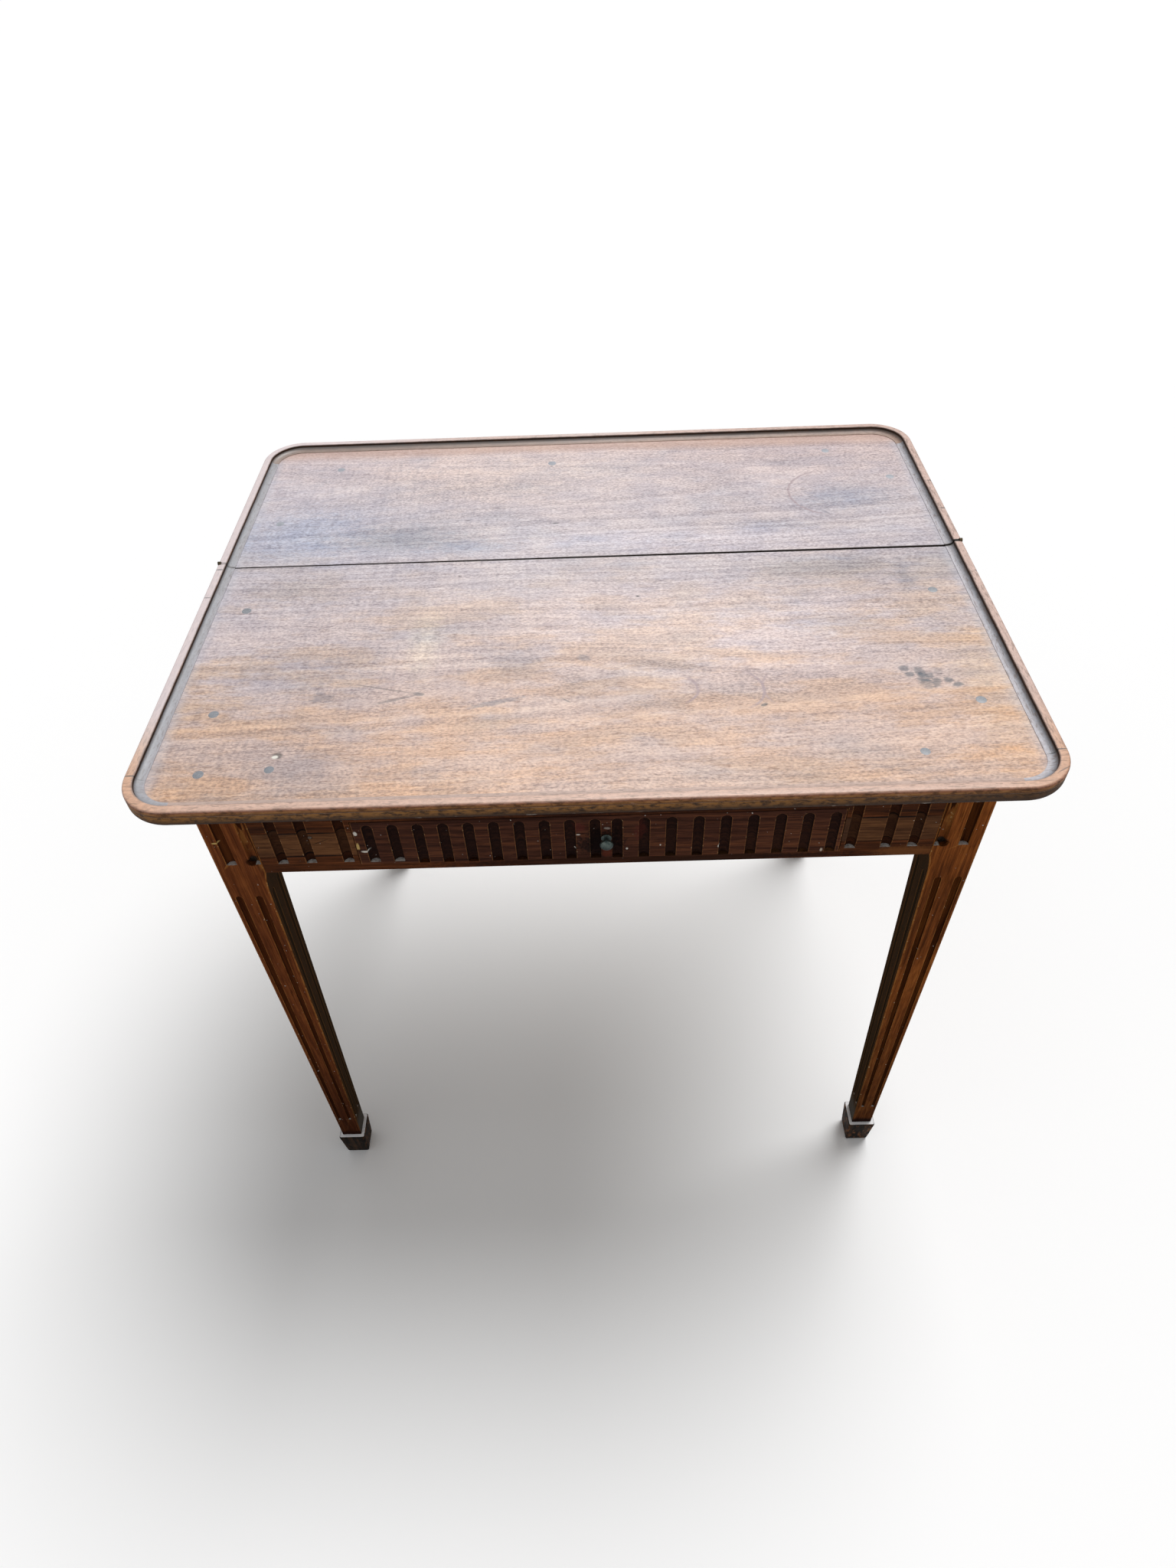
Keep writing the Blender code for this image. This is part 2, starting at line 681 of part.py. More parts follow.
def leg_outline(inward, grow):
    """A leg seen from one side, from its outer edge inward; grow runs past its ends."""
    shoulder = FOOT_HEIGHT + FIT
    points = [(-grow, APRON_TOP + grow), (-grow, shoulder - grow)]
    points += [(LEG_TOE, shoulder - grow), (LEG_TOE, shoulder)]
    for step in range(LEG_CURVE_STEPS + 1):
        height = APRON_BOTTOM - LEG_NECK_DROP * (1 - step / LEG_CURVE_STEPS)
        points.append((leg_width(height), height))
    points.append((LEG_HEAD, APRON_TOP + grow))
    if grow == 0:
        points.pop(2)
    return [(inward * across, height) for across, height in points]


def add_leg_flutes(bm, in_x, in_y):
    """Two tapered flutes on each of the four faces of a leg."""
    nose_height = APRON_BOTTOM - LEG_FLUTE_TOP_DROP
    heel_height = FOOT_HEIGHT + LEG_FLUTE_LEDGE_RISE
    nose_width, heel_width = leg_width(nose_height), leg_width(heel_height)
    nose_radius = nose_width * LEG_FLUTE_TOP_RADIUS_SHARE
    heel_radius = heel_width * LEG_FLUTE_TOE_RADIUS_SHARE
    for share in LEG_FLUTE_SHARES:
        for wall in (0, 1):
            ends = []
            for width, height in ((nose_width, nose_height), (heel_width, heel_height)):
                off = FLUTE_STAND_OFF if wall else -FLUTE_STAND_OFF
                ends.append((share * width, wall * width + off, height))
            for swap in (False, True):
                spots = []
                for along, across, height in ends:
                    u, v = (across, along) if swap else (along, across)
                    spots.append((in_x * u, in_y * v, height))
                add_gouge(bm, spots[0], spots[1], nose_radius, heel_radius)


def add_head_flutes(bm, in_x, in_y):
    """Two flutes on each outer face of a leg's head, in line with the apron's."""
    top = APRON_TOP + OVERRUN
    for along in (STILE_FLUTE_OUTER, STILE_FLUTE_INNER):
        off = -FLUTE_STAND_OFF
        for x, y in ((in_x * along, in_y * off), (in_x * off, in_y * along)):
            add_rod(bm, (x, y, FLUTE_LEDGE), (x, y, top), FLUTE_RADIUS, sides=GOUGE_SIDES)


def add_mortises(bm, in_x, in_y):
    """One tall mortise for each of the two aprons that meet a leg."""
    low = APRON_BOTTOM + TENON_SHOULDER - FIT
    high = APRON_TOP - TENON_SHOULDER + FIT
    near = LEG_HEAD - TENON_LENGTH - FIT
    far = LEG_HEAD + OVERRUN
    thin = (TENON_SETBACK - FIT, TENON_SETBACK + TENON_THICKNESS + FIT)
    for long_x in (True, False):
        across = (near, far) if long_x else thin
        along = thin if long_x else (near, far)
        add_span(bm, [in_x * u for u in across], [in_y * v for v in along], (low, high))


def add_peg(bm, corner, in_x, start, end, radius):
    """The peg that locks the front rail's tenon in a front leg, or its bore."""
    x = corner.x + in_x * PEG_INSET
    height = APRON_BOTTOM + LOWER_PEG_RISE
    add_rod(bm, (x, corner.y + start, height), (x, corner.y + end, height), radius,
            sides=SMALL_ROUND_SIDES)


def peg_bore():
    """Bores for both front pegs, through the legs and the rail's tenons."""
    bm = bmesh.new()
    for side_x in (-1, 1):
        corner, in_x, in_y = leg_corner(side_x, -1)
        add_peg(bm, corner, in_x, -OVERRUN, PEG_REACH + FIT, PEG_RADIUS + FIT)
    return helper("peg_bores", bm)


def leg_corner(side_x, side_y):
    """A leg's outer corner, and the two directions that lead inward from it."""
    y = FRAME_FRONT if side_y < 0 else FRAME_BACK
    return Vector((side_x * FRAME_HALF, y, 0)), -side_x, -side_y


def leg(name, side_x, side_y):
    """A leg sawn to its outline from two sides, then fluted, mortised and bored."""
    corner, in_x, in_y = leg_corner(side_x, side_y)
    middle_x, middle_y = in_x * LEG_HEAD / 2, in_y * LEG_HEAD / 2
    mesh = outline_mesh(leg_outline(in_x, 0), LEG_HEAD, STAND_ACROSS_Y, (0, middle_y, 0))
    made = piece(name, mesh, corner, "walnut_frame")
    bm = bmesh.new()
    bm.from_mesh(outline_mesh(
        leg_outline(in_y, OVERRUN), LEG_HEAD + OVERRUN, STAND_ACROSS_X, (middle_x, 0, 0)
    ))
    tool = helper("second_saw", bm)
    tool.location = corner
    combine(made, tool, "INTERSECT")
    bm = bmesh.new()
    near = (LEG_TOE - FOOT_TENON) / 2
    ends = (near, near + FOOT_TENON)
    add_span(bm, [in_x * end for end in ends], [in_y * end for end in ends],
             (FOOT_HEIGHT + FIT - FOOT_TENON_LENGTH, FOOT_HEIGHT + FIT + OVERRUN))
    tool = helper("foot_tenon", bm)
    tool.location = corner
    combine(made, tool, "UNION")
    bm = bmesh.new()
    add_leg_flutes(bm, in_x, in_y)
    add_head_flutes(bm, in_x, in_y)
    tool = helper("flutes", bm)
    tool.location = corner
    combine(made, tool, "DIFFERENCE")
    bm = bmesh.new()
    add_mortises(bm, in_x, in_y)
    tool = helper("mortises", bm)
    tool.location = corner
    combine(made, tool, "DIFFERENCE")
    if side_y < 0:
        combine(made, peg_bore(), "DIFFERENCE")
    return made


def foot(name, side_x, side_y):
    """A tapering foot block, mortised for the leg's tenon."""
    corner, in_x, in_y = leg_corner(side_x, side_y)
    middle = corner + Vector((in_x * LEG_TOE / 2, in_y * LEG_TOE / 2, FOOT_HEIGHT / 2))
    mesh = box_mesh((FOOT_TOP, FOOT_TOP, FOOT_HEIGHT))
    for vert in mesh.vertices:
        if vert.co.z < 0:
            vert.co.x *= FOOT_BASE / FOOT_TOP
            vert.co.y *= FOOT_BASE / FOOT_TOP
    made = piece(name, mesh, middle, "walnut_dark")
    ease(made, FOOT_ARRIS, 2)
    bm = bmesh.new()
    half = FOOT_TENON / 2 + FIT
    floor = FOOT_HEIGHT - FOOT_TENON_LENGTH - FIT
    low = Vector((-half, -half, floor - FOOT_HEIGHT / 2))
    high = Vector((half, half, FOOT_HEIGHT / 2 + OVERRUN))
    add_box(bm, middle + low, middle + high)
    combine(made, helper("socket", bm), "DIFFERENCE")
    return made


def joint_peg(name, side_x):
    """The peg in one front leg, sunk below the flute that meets it."""
    corner, in_x, in_y = leg_corner(side_x, -1)
    bm = bmesh.new()
    add_peg(bm, corner, in_x, PEG_SUNK, PEG_REACH, PEG_RADIUS)
    return piece(name, finished_mesh(name, bm), (0, 0, 0), "oak_peg", smooth=True)


# Aprons and rails


def add_apron_flutes(bm, places, line_y):
    """Open-topped flutes at the given places on a board that faces along Y."""
    top = APRON_TOP + OVERRUN
    for x in places:
        add_rod(bm, (x, line_y, FLUTE_LEDGE), (x, line_y, top), FLUTE_RADIUS,
                sides=GOUGE_SIDES)


def row_of_places(low, high, pitch):
    """Even places between two limits, half a pitch or more inside them."""
    count = max(1, int((high - low) / pitch))
    first = (low + high - (count - 1) * pitch) / 2
    return [first + pitch * at for at in range(count)]


def add_cross_tenons(bm, front_y, inward, low, high, length):
    """Tenons at both ends of a board that runs along X."""
    near = front_y + inward * TENON_SETBACK
    far = front_y + inward * (TENON_SETBACK + TENON_THICKNESS)
    for side in (-1, 1):
        ends = (side * (LEG_INNER + length), side * (LEG_INNER - OVERRUN))
        add_span(bm, ends, (near, far), (low, high))


def end_panel_places(side):
    """Flute places on the end panel of one side, from the leg toward the drawer."""
    edge = side * LEG_INNER
    opening = OPENING_LEFT if side < 0 else OPENING_RIGHT
    return [edge + (opening - edge) * share for share in END_PANEL_FLUTE_SHARES]


def front_rail(name, low, high, notch_low, notch_high, tenon_low, tenon_high):
    """A front rail, cut back over or under the drawer and tenoned into both legs."""
    back = FRAME_FRONT + APRON_THICKNESS
    made = board(name, (-LEG_INNER + FIT, FRAME_FRONT, low), (LEG_INNER - FIT, back, high),
                 "walnut_frame")
    bm = bmesh.new()
    add_cross_tenons(bm, FRAME_FRONT, 1, tenon_low, tenon_high, TENON_LENGTH)
    combine(made, helper("tenons", bm), "UNION")
    bm = bmesh.new()
    add_box(bm, (OPENING_LEFT, FRAME_FRONT - OVERRUN, notch_low),
            (OPENING_RIGHT, back + OVERRUN, notch_high))
    combine(made, helper("drawer_notch", bm), "DIFFERENCE")
    combine(made, peg_bore(), "DIFFERENCE")
    bm = bmesh.new()
    add_apron_flutes(bm, end_panel_places(-1) + end_panel_places(1), FRONT_FLUTE_LINE)
    combine(made, helper("flutes", bm), "DIFFERENCE")
    return made


def end_panel(name, side):
    """A short fluted panel between a front leg and the drawer."""
    back = FRAME_FRONT + APRON_THICKNESS
    leg_edge = side * (LEG_INNER - FIT)
    opening = OPENING_LEFT if side < 0 else OPENING_RIGHT
    low, high = BOTTOM_RAIL_TOP + FIT, TOP_RAIL_BOTTOM - FIT
    edges = sorted((leg_edge, opening))
    made = board(name, (edges[0], FRAME_FRONT, low), (edges[1], back, high), "walnut_frame")
    bm = bmesh.new()
    near = FRAME_FRONT + TENON_SETBACK
    ends = (side * (LEG_INNER - OVERRUN), side * (LEG_INNER + PANEL_TENON_LENGTH))
    add_span(bm, ends, (near, near + TENON_THICKNESS),
             (low + TENON_SHOULDER, high - TENON_SHOULDER))
    combine(made, helper("tenon", bm), "UNION")
    bm = bmesh.new()
    add_apron_flutes(bm, end_panel_places(side), FRONT_FLUTE_LINE)
    combine(made, helper("flutes", bm), "DIFFERENCE")
    return made


def side_apron(name, side):
    """A fluted side apron, tenoned into a front and a rear leg, housed for the divider."""
    outer, inner = side * FRAME_HALF, side * SIDE_INNER
    front = FRAME_FRONT + LEG_HEAD + FIT
    back = FRAME_BACK - LEG_HEAD - FIT
    edges = sorted((outer, inner))
    made = board(name, (edges[0], front, APRON_BOTTOM), (edges[1], back, APRON_TOP),
                 "walnut_frame")
    bm = bmesh.new()
    across = (outer - side * TENON_SETBACK, outer - side * (TENON_SETBACK + TENON_THICKNESS))
    low, high = APRON_BOTTOM + TENON_SHOULDER, APRON_TOP - TENON_SHOULDER
    add_span(bm, across, (front - FIT - TENON_LENGTH, front + OVERRUN), (low, high))
    add_span(bm, across, (back - OVERRUN, back + FIT + TENON_LENGTH), (low, high))
    combine(made, helper("tenons", bm), "UNION")
    bm = bmesh.new()
    line = outer + side * FLUTE_STAND_OFF
    for y in row_of_places(front, back, SIDE_FLUTE_PITCH):
        add_rod(bm, (line, y, FLUTE_LEDGE), (line, y, APRON_TOP + OVERRUN), FLUTE_RADIUS,
                sides=GOUGE_SIDES)
    combine(made, helper("flutes", bm), "DIFFERENCE")
    bm = bmesh.new()
    add_span(bm, (inner - side * OVERRUN, inner + side * (DIVIDER_HOUSING + FIT)),
             (DIVIDER_FRONT - FIT, DIVIDER_BACK + FIT),
             (APRON_BOTTOM - OVERRUN, APRON_TOP + OVERRUN))
    combine(made, helper("housing", bm), "DIFFERENCE")
    return made


def rear_apron(name):
    """The fluted rear apron, tenoned into both rear legs."""
    front = FRAME_BACK - APRON_THICKNESS
    made = board(name, (-LEG_INNER + FIT, front, APRON_BOTTOM),
                 (LEG_INNER - FIT, FRAME_BACK, APRON_TOP), "walnut_frame")
    bm = bmesh.new()
    add_cross_tenons(bm, FRAME_BACK, -1, APRON_BOTTOM + TENON_SHOULDER,
                     APRON_TOP - TENON_SHOULDER, TENON_LENGTH)
    combine(made, helper("tenons", bm), "UNION")
    bm = bmesh.new()
    add_apron_flutes(bm, row_of_places(-LEG_INNER, LEG_INNER, REAR_FLUTE_PITCH),
                     FRAME_BACK + FLUTE_STAND_OFF)
    combine(made, helper("flutes", bm), "DIFFERENCE")
    return made


# Inside the frame: divider, well, runners, guides, kickers, stops and corner blocks


def divider():
    """The board between the drawer's space and the well, housed in both side aprons."""
    reach = SIDE_INNER + DIVIDER_HOUSING
    return board("well_divider", (-reach, DIVIDER_FRONT, APRON_BOTTOM),
                 (reach, DIVIDER_BACK, APRON_TOP), "oak_inside")


def well():
    """The well's floor, notched round the rear legs, on two ledgers."""
    floor_low = APRON_BOTTOM + WELL_FLOOR_RISE
    front, back = DIVIDER_BACK + FIT, FRAME_BACK - APRON_THICKNESS - FIT
    half = SIDE_INNER - FIT
    made = board("well_floor", (-half, front, floor_low),
                 (half, back, floor_low + WELL_FLOOR_THICKNESS), "oak_inside")
    bm = bmesh.new()
    for side in (-1, 1):
        add_span(bm, (side * (LEG_INNER - FIT), side * (FRAME_HALF + OVERRUN)),
                 (FRAME_BACK - LEG_HEAD - FIT, FRAME_BACK),
                 (floor_low - OVERRUN, floor_low + WELL_FLOOR_THICKNESS + OVERRUN))
    combine(made, helper("leg_notches", bm), "DIFFERENCE")
    low, high = APRON_BOTTOM, floor_low - FIT
    reach = LEG_INNER - FIT
    board("well_ledger_front", (-half, front, low), (half, front + LEDGER_WIDTH, high),
          "oak_inside")
    board("well_ledger_rear", (-reach, back - LEDGER_WIDTH, low), (reach, back, high),
          "oak_inside")


def drawer_side_face(side):
    """World X of a drawer side's outer face."""
    reach = DRAWER_WIDTH / 2 - DRAWER_GAP - DRAWER_SIDE_SETBACK
    return DRAWER_CENTRE + side * reach


def drawer_ways():
    """Rebated runners under and beside the drawer, and kickers above it."""
    front = FRAME_FRONT + APRON_THICKNESS + FIT
    back = DIVIDER_FRONT - FIT
    for side, hand in ((-1, "left"), (1, "right")):
        face = drawer_side_face(side)
        guide = face + side * DRAWER_GAP
        inner = face - side * RUNNER_WIDTH / 2
        outer = guide + side * GUIDE_WIDTH
        rise = OPENING_BOTTOM + GUIDE_HEIGHT
        points = [(inner, APRON_BOTTOM), (outer, APRON_BOTTOM), (outer, rise), (guide, rise),
                  (guide, OPENING_BOTTOM), (inner, OPENING_BOTTOM)]
        middle = (0, (front + back) / 2, 0)
        mesh = outline_mesh(points, back - front, STAND_ACROSS_Y, middle)
        piece(f"drawer_runner_{hand}", mesh, (0, 0, 0), "oak_inside")
        edges = sorted((face - side * KICKER_WIDTH / 2, face + side * KICKER_WIDTH / 2))
        board(f"drawer_kicker_{hand}", (edges[0], front, OPENING_TOP),
              (edges[1], back, APRON_TOP), "oak_inside")


def corner_block(name, side):
    """A glue block in the corner of the top rail and a front leg."""
    front = FRAME_FRONT + APRON_THICKNESS + FIT
    near, far = side * (LEG_INNER - FIT), side * (LEG_INNER - FIT - BLOCK_WIDTH)
    edges = sorted((near, far))
    return board(name, (edges[0], front, APRON_TOP - BLOCK_HEIGHT),
                 (edges[1], front + BLOCK_DEPTH, APRON_TOP), "oak_inside")


# Drawer


def drawer_flute_places():
    """Flutes to the right and left of the knob, each side at its own pitch."""
    first = KNOB_FLUTE_SPACING / 2
    places = []
    for side, pitch, end, margin in (
        (-1, LEFT_FLUTE_PITCH, OPENING_LEFT, LEFT_FLUTE_MARGIN),
        (1, RIGHT_FLUTE_PITCH, OPENING_RIGHT, RIGHT_FLUTE_MARGIN),
    ):
        room = abs(end - KNOB_X) - first - margin
        count = int(room / pitch) + 1
        places += [KNOB_X + side * (first + pitch * at) for at in range(count)]
    return places


def tail_outline(grow):
    """Dovetails of a drawer side in (y, z): flared toward the drawer front's face."""
    height = DRAWER_SIDE_HIGH - DRAWER_FRONT_LOW
    pitch = height / TAIL_COUNT
    tails = []
    for at in range(TAIL_COUNT):
        middle = DRAWER_FRONT_LOW + pitch * (at + 1 / 2)
        waist = pitch * TAIL_WAIST_SHARE / 2 + grow
        tip = waist + TAIL_FLARE
        nose = DRAWER_INNER_FACE - TAIL_LENGTH - grow
        tails.append([(nose, middle - tip), (nose, middle + tip),
                      (DRAWER_INNER_FACE + OVERRUN, middle + waist),
                      (DRAWER_INNER_FACE + OVERRUN, middle - waist)])
    return tails


def tail_tool(name, side, grow):
    """The tails of one side as solids, to join to the side or to cut from the front."""
    face = drawer_side_face(side)
    thickness = DRAWER_SIDE_THICKNESS + 2 * grow
    middle = (face - side * DRAWER_SIDE_THICKNESS / 2, 0, 0)
    bm = bmesh.new()
    for points in tail_outline(grow):
        mesh = outline_mesh(points, thickness, STAND_ACROSS_X, middle)
        bm.from_mesh(mesh)
        bpy.data.meshes.remove(mesh)
    return helper(name, bm)


def drawer_groove(grow):
    """Space of the drawer's bottom board: grown a little, it is the groove for it."""
    reach_left = drawer_side_face(-1) + DRAWER_SIDE_THICKNESS - DRAWER_GROOVE_DEPTH
    reach_right = drawer_side_face(1) - DRAWER_SIDE_THICKNESS + DRAWER_GROOVE_DEPTH
    low = DRAWER_FRONT_LOW + DRAWER_BOTTOM_RISE
    return (
        Vector((reach_left - grow, DRAWER_INNER_FACE - DRAWER_GROOVE_DEPTH - grow, low - grow)),
        Vector((reach_right + grow, DRAWER_BACK_END + grow,
                low + DRAWER_BOTTOM_THICKNESS + grow)),
    )


def drawer_back_span(grow):
    """Space of the drawer's back, housed in both sides above the bottom board."""
    back = DRAWER_BACK_END - DRAWER_BACK_INSET
    reach_left = drawer_side_face(-1) + DRAWER_SIDE_THICKNESS - DRAWER_GROOVE_DEPTH
    reach_right = drawer_side_face(1) - DRAWER_SIDE_THICKNESS + DRAWER_GROOVE_DEPTH
    low = drawer_groove(0)[1].z + FIT
    return (
        Vector((reach_left - grow, back - DRAWER_BACK_THICKNESS - grow, low - grow)),
        Vector((reach_right + grow, back + grow, DRAWER_SIDE_HIGH + grow)),
    )


def drawer_front(parent):
    """The fluted drawer front, with sockets for the tails and a groove for the bottom."""
    half = DRAWER_WIDTH / 2 - DRAWER_GAP
    made = board("drawer_front", (DRAWER_CENTRE - half, DRAWER_FACE, DRAWER_FRONT_LOW),
                 (DRAWER_CENTRE + half, DRAWER_INNER_FACE, DRAWER_FRONT_HIGH),
                 "walnut_frame", parent)
    bm = bmesh.new()
    nose = DRAWER_FRONT_HIGH - DRAWER_FLUTE_TOP_DROP - FLUTE_RADIUS
    line = DRAWER_FACE - FLUTE_STAND_OFF
    for x in drawer_flute_places():
        add_gouge(bm, (x, line, nose), (x, line, DRAWER_FRONT_LOW - OVERRUN), FLUTE_RADIUS,
                  FLUTE_RADIUS)
    combine(made, helper("flutes", bm), "DIFFERENCE")
    for side in (-1, 1):
        combine(made, tail_tool("sockets", side, FIT), "DIFFERENCE")
    bm = bmesh.new()
    add_box(bm, *drawer_groove(FIT))
    combine(made, helper("groove", bm), "DIFFERENCE")
    bm = bmesh.new()
    add_rod(bm, (KNOB_X, DRAWER_FACE - OVERRUN, KNOB_HEIGHT),
            (KNOB_X, DRAWER_INNER_FACE + OVERRUN, KNOB_HEIGHT), KNOB_SHANK_RADIUS + FIT,
            sides=SMALL_ROUND_SIDES)
    combine(made, helper("knob_bore", bm), "DIFFERENCE")
    return made


def drawer_side(name, side, parent):
    """A drawer side with its tails, the bottom's groove and the back's housing."""
    face = drawer_side_face(side)
    edges = sorted((face, face - side * DRAWER_SIDE_THICKNESS))
    made = board(name, (edges[0], DRAWER_INNER_FACE + FIT, DRAWER_FRONT_LOW),
                 (edges[1], DRAWER_BACK_END, DRAWER_SIDE_HIGH),
                 "oak_inside", parent)
    combine(made, tail_tool("tails", side, 0), "UNION")
    bm = bmesh.new()
    add_box(bm, *drawer_groove(FIT))
    combine(made, helper("groove", bm), "DIFFERENCE")
    bm = bmesh.new()
    low, high = drawer_back_span(FIT)
    high.z += OVERRUN
    add_box(bm, low, high)
    combine(made, helper("housing", bm), "DIFFERENCE")
    return made


def knob_profile():
    """Knob from its crown to the end of its shank: (radius, distance along its axis)."""
    crown = KNOB_PROJECTION
    ball = (KNOB_PROJECTION - KNOB_COLLAR_THICKNESS - KNOB_NECK_LENGTH) / 2
    middle = crown - ball
    points = []
    for step in range(KNOB_STEPS + 1):
        angle = math.radians(90 - 155 * step / KNOB_STEPS)
        points.append((KNOB_RADIUS * math.cos(angle), middle + ball * math.sin(angle)))
    points += [
        (KNOB_NECK_RADIUS, KNOB_COLLAR_THICKNESS + KNOB_NECK_LENGTH / 2),
        (KNOB_NECK_RADIUS, KNOB_COLLAR_THICKNESS),
        (KNOB_COLLAR_RADIUS, KNOB_COLLAR_THICKNESS * 3 / 4),
        (KNOB_COLLAR_RADIUS, FIT),
        (KNOB_SHANK_RADIUS, FIT),
        (KNOB_SHANK_RADIUS, -DRAWER_FRONT_THICKNESS - NUT_THICKNESS - 2 * FIT),
        (0, -DRAWER_FRONT_THICKNESS - NUT_THICKNESS - 2 * FIT),
    ]
    points[0] = (0, crown)
    return points


def knob(parent):
    """The turned knob on its shank, and the nut inside the drawer."""
    mesh = turned_mesh(knob_profile(), ROUND_SIDES)
    made = piece("drawer_knob", mesh, (KNOB_X, DRAWER_FACE, KNOB_HEIGHT), "green_bronze",
                 parent, smooth=True)
    made.rotation_euler = (math.radians(90), 0, 0)
    start = DRAWER_INNER_FACE + FIT
    end = start + NUT_THICKNESS
    bm = bmesh.new()
    add_rod(bm, (KNOB_X, start, KNOB_HEIGHT), (KNOB_X, end, KNOB_HEIGHT), NUT_RADIUS,
            sides=NUT_SIDES)
    nut = piece("knob_nut", finished_mesh("knob_nut", bm), (0, 0, 0), "iron", parent)
    bm = bmesh.new()
    add_rod(bm, (KNOB_X, start - OVERRUN, KNOB_HEIGHT), (KNOB_X, end + OVERRUN, KNOB_HEIGHT),
            KNOB_SHANK_RADIUS + FIT, sides=SMALL_ROUND_SIDES)
    combine(nut, helper("nut_bore", bm), "DIFFERENCE")


def drawer():
    """The drawer on its own empty, whose Y axis is the way that it slides."""
    slide = empty("drawer_slide", (DRAWER_CENTRE, DRAWER_FACE, OPENING_BOTTOM))
    drawer_front(slide)
    drawer_side("drawer_side_left", -1, slide)
    drawer_side("drawer_side_right", 1, slide)
    board("drawer_back", *drawer_back_span(0), "oak_inside", slide)
    board("drawer_bottom", *drawer_groove(0), "oak_inside", slide)
    knob(slide)


# Assembly


def rims(end, side_y, parent=None):
    """One leaf's five rim pieces; the side rims are notched for the hinge lugs."""
    rim_along_x(f"{end}_rim_long", side_y, parent)
    start = SEAM + side_y * SEAM_GAP / 2
    stop = side_y * (TOP_DEPTH / 2 - CORNER_RADIUS - FIT)
    for side_x, hand in ((-1, "left"), (1, "right")):
        rim_corner(f"{end}_rim_corner_{hand}", side_x, side_y, parent)
        made = rim_along_y(f"{end}_rim_side_{hand}", side_x, start, stop, parent)
        combine(made, lug_notch(), "DIFFERENCE")


def front_top():
    """The front leaf with what is fixed to it."""
    made = leaf_board("front_leaf_board", True)
    combine(made, hinge_recess(-1), "DIFFERENCE")
    combine(made, lug_notch(), "DIFFERENCE")
    rims("front", -1)
    for side, hand in ((-1, "left"), (1, "right")):
        batten(f"front_batten_{hand}", side * BATTEN_PLACE, TOP_FRONT + FRONT_BATTEN_INSET,
               SEAM - BATTEN_SEAM_INSET)
        hinge_plate(f"hinge_front_plate_{hand}", side, -1)
        hinge_pin(f"hinge_pin_{hand}", side)


def rear_top():
    """The rear leaf with what is fixed to it, all carried by the hinge axis."""
    axis = empty("leaf_hinge_axis", (0, SEAM, HINGE_PIN_HEIGHT))
    made = leaf_board("rear_leaf_board", False, axis)
    combine(made, hinge_recess(1), "DIFFERENCE")
    combine(made, lug_notch(), "DIFFERENCE")
    rims("rear", 1, axis)
    for side, hand in ((-1, "left"), (1, "right")):
        batten(f"rear_batten_{hand}", side * BATTEN_PLACE, SEAM + BATTEN_SEAM_INSET,
               TOP_DEPTH / 2 - REAR_BATTEN_INSET, axis)
        hinge_plate(f"hinge_rear_plate_{hand}", side, 1, axis)
    reach = FRAME_HALF - CROSS_BATTEN_END_INSET
    back = TOP_DEPTH / 2 - CROSS_BATTEN_INSET
    low = (-reach, back - CROSS_BATTEN_WIDTH, UNDERSIDE - FIT - BATTEN_THICKNESS)
    high = (reach, back, UNDERSIDE - FIT)
    ease(board("rear_cross_batten", low, high, "walnut_frame", axis), BATTEN_ARRIS)


def frame():
    """Legs, feet, aprons, rails and what they carry inside."""
    for side_y, end in ((-1, "front"), (1, "rear")):
        for side_x, hand in ((-1, "left"), (1, "right")):
            leg(f"leg_{end}_{hand}", side_x, side_y)
            foot(f"foot_{end}_{hand}", side_x, side_y)
    front_rail("front_top_rail", TOP_RAIL_BOTTOM, APRON_TOP, TOP_RAIL_BOTTOM - OVERRUN,
               OPENING_TOP, TOP_RAIL_BOTTOM + TENON_SHOULDER, APRON_TOP - TENON_SHOULDER)
    front_rail("front_bottom_rail", APRON_BOTTOM, BOTTOM_RAIL_TOP, OPENING_BOTTOM,
               BOTTOM_RAIL_TOP + OVERRUN, APRON_BOTTOM + TENON_SHOULDER, BOTTOM_RAIL_TOP)
    for side, hand in ((-1, "left"), (1, "right")):
        joint_peg(f"joint_peg_{hand}", side)
        end_panel(f"end_panel_{hand}", side)
        side_apron(f"side_apron_{hand}", side)
        corner_block(f"corner_block_{hand}", side)
    rear_apron("rear_apron")
    divider()
    well()
    drawer_ways()


def main():
    """Build the whole table."""
    frame()
    front_top()
    rear_top()
    drawer()
    bpy.context.view_layer.update()


main()
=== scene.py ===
"""Looks of the games table: faded walnut top, moulded rims, fluted frame and legs.

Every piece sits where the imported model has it, in metres, with +Z up and the front at -Y.
"""

import logging
import math
from dataclasses import dataclass, field
from enum import Enum
from typing import Iterable, Mapping, Sequence, Union

import bmesh
import bpy
from mathutils import Matrix, Vector


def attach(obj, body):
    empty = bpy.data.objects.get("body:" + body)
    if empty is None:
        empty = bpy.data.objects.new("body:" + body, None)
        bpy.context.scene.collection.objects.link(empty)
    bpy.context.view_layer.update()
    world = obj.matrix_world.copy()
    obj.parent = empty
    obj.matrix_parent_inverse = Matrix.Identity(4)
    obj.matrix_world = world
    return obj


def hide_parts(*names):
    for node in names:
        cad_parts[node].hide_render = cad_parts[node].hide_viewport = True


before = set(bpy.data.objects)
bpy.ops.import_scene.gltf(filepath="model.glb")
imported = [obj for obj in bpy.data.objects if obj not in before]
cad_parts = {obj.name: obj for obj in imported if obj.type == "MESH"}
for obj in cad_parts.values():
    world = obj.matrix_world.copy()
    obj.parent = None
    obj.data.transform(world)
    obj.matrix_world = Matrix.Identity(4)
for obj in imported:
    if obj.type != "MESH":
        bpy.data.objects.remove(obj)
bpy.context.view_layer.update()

Colour = tuple[float, float, float]
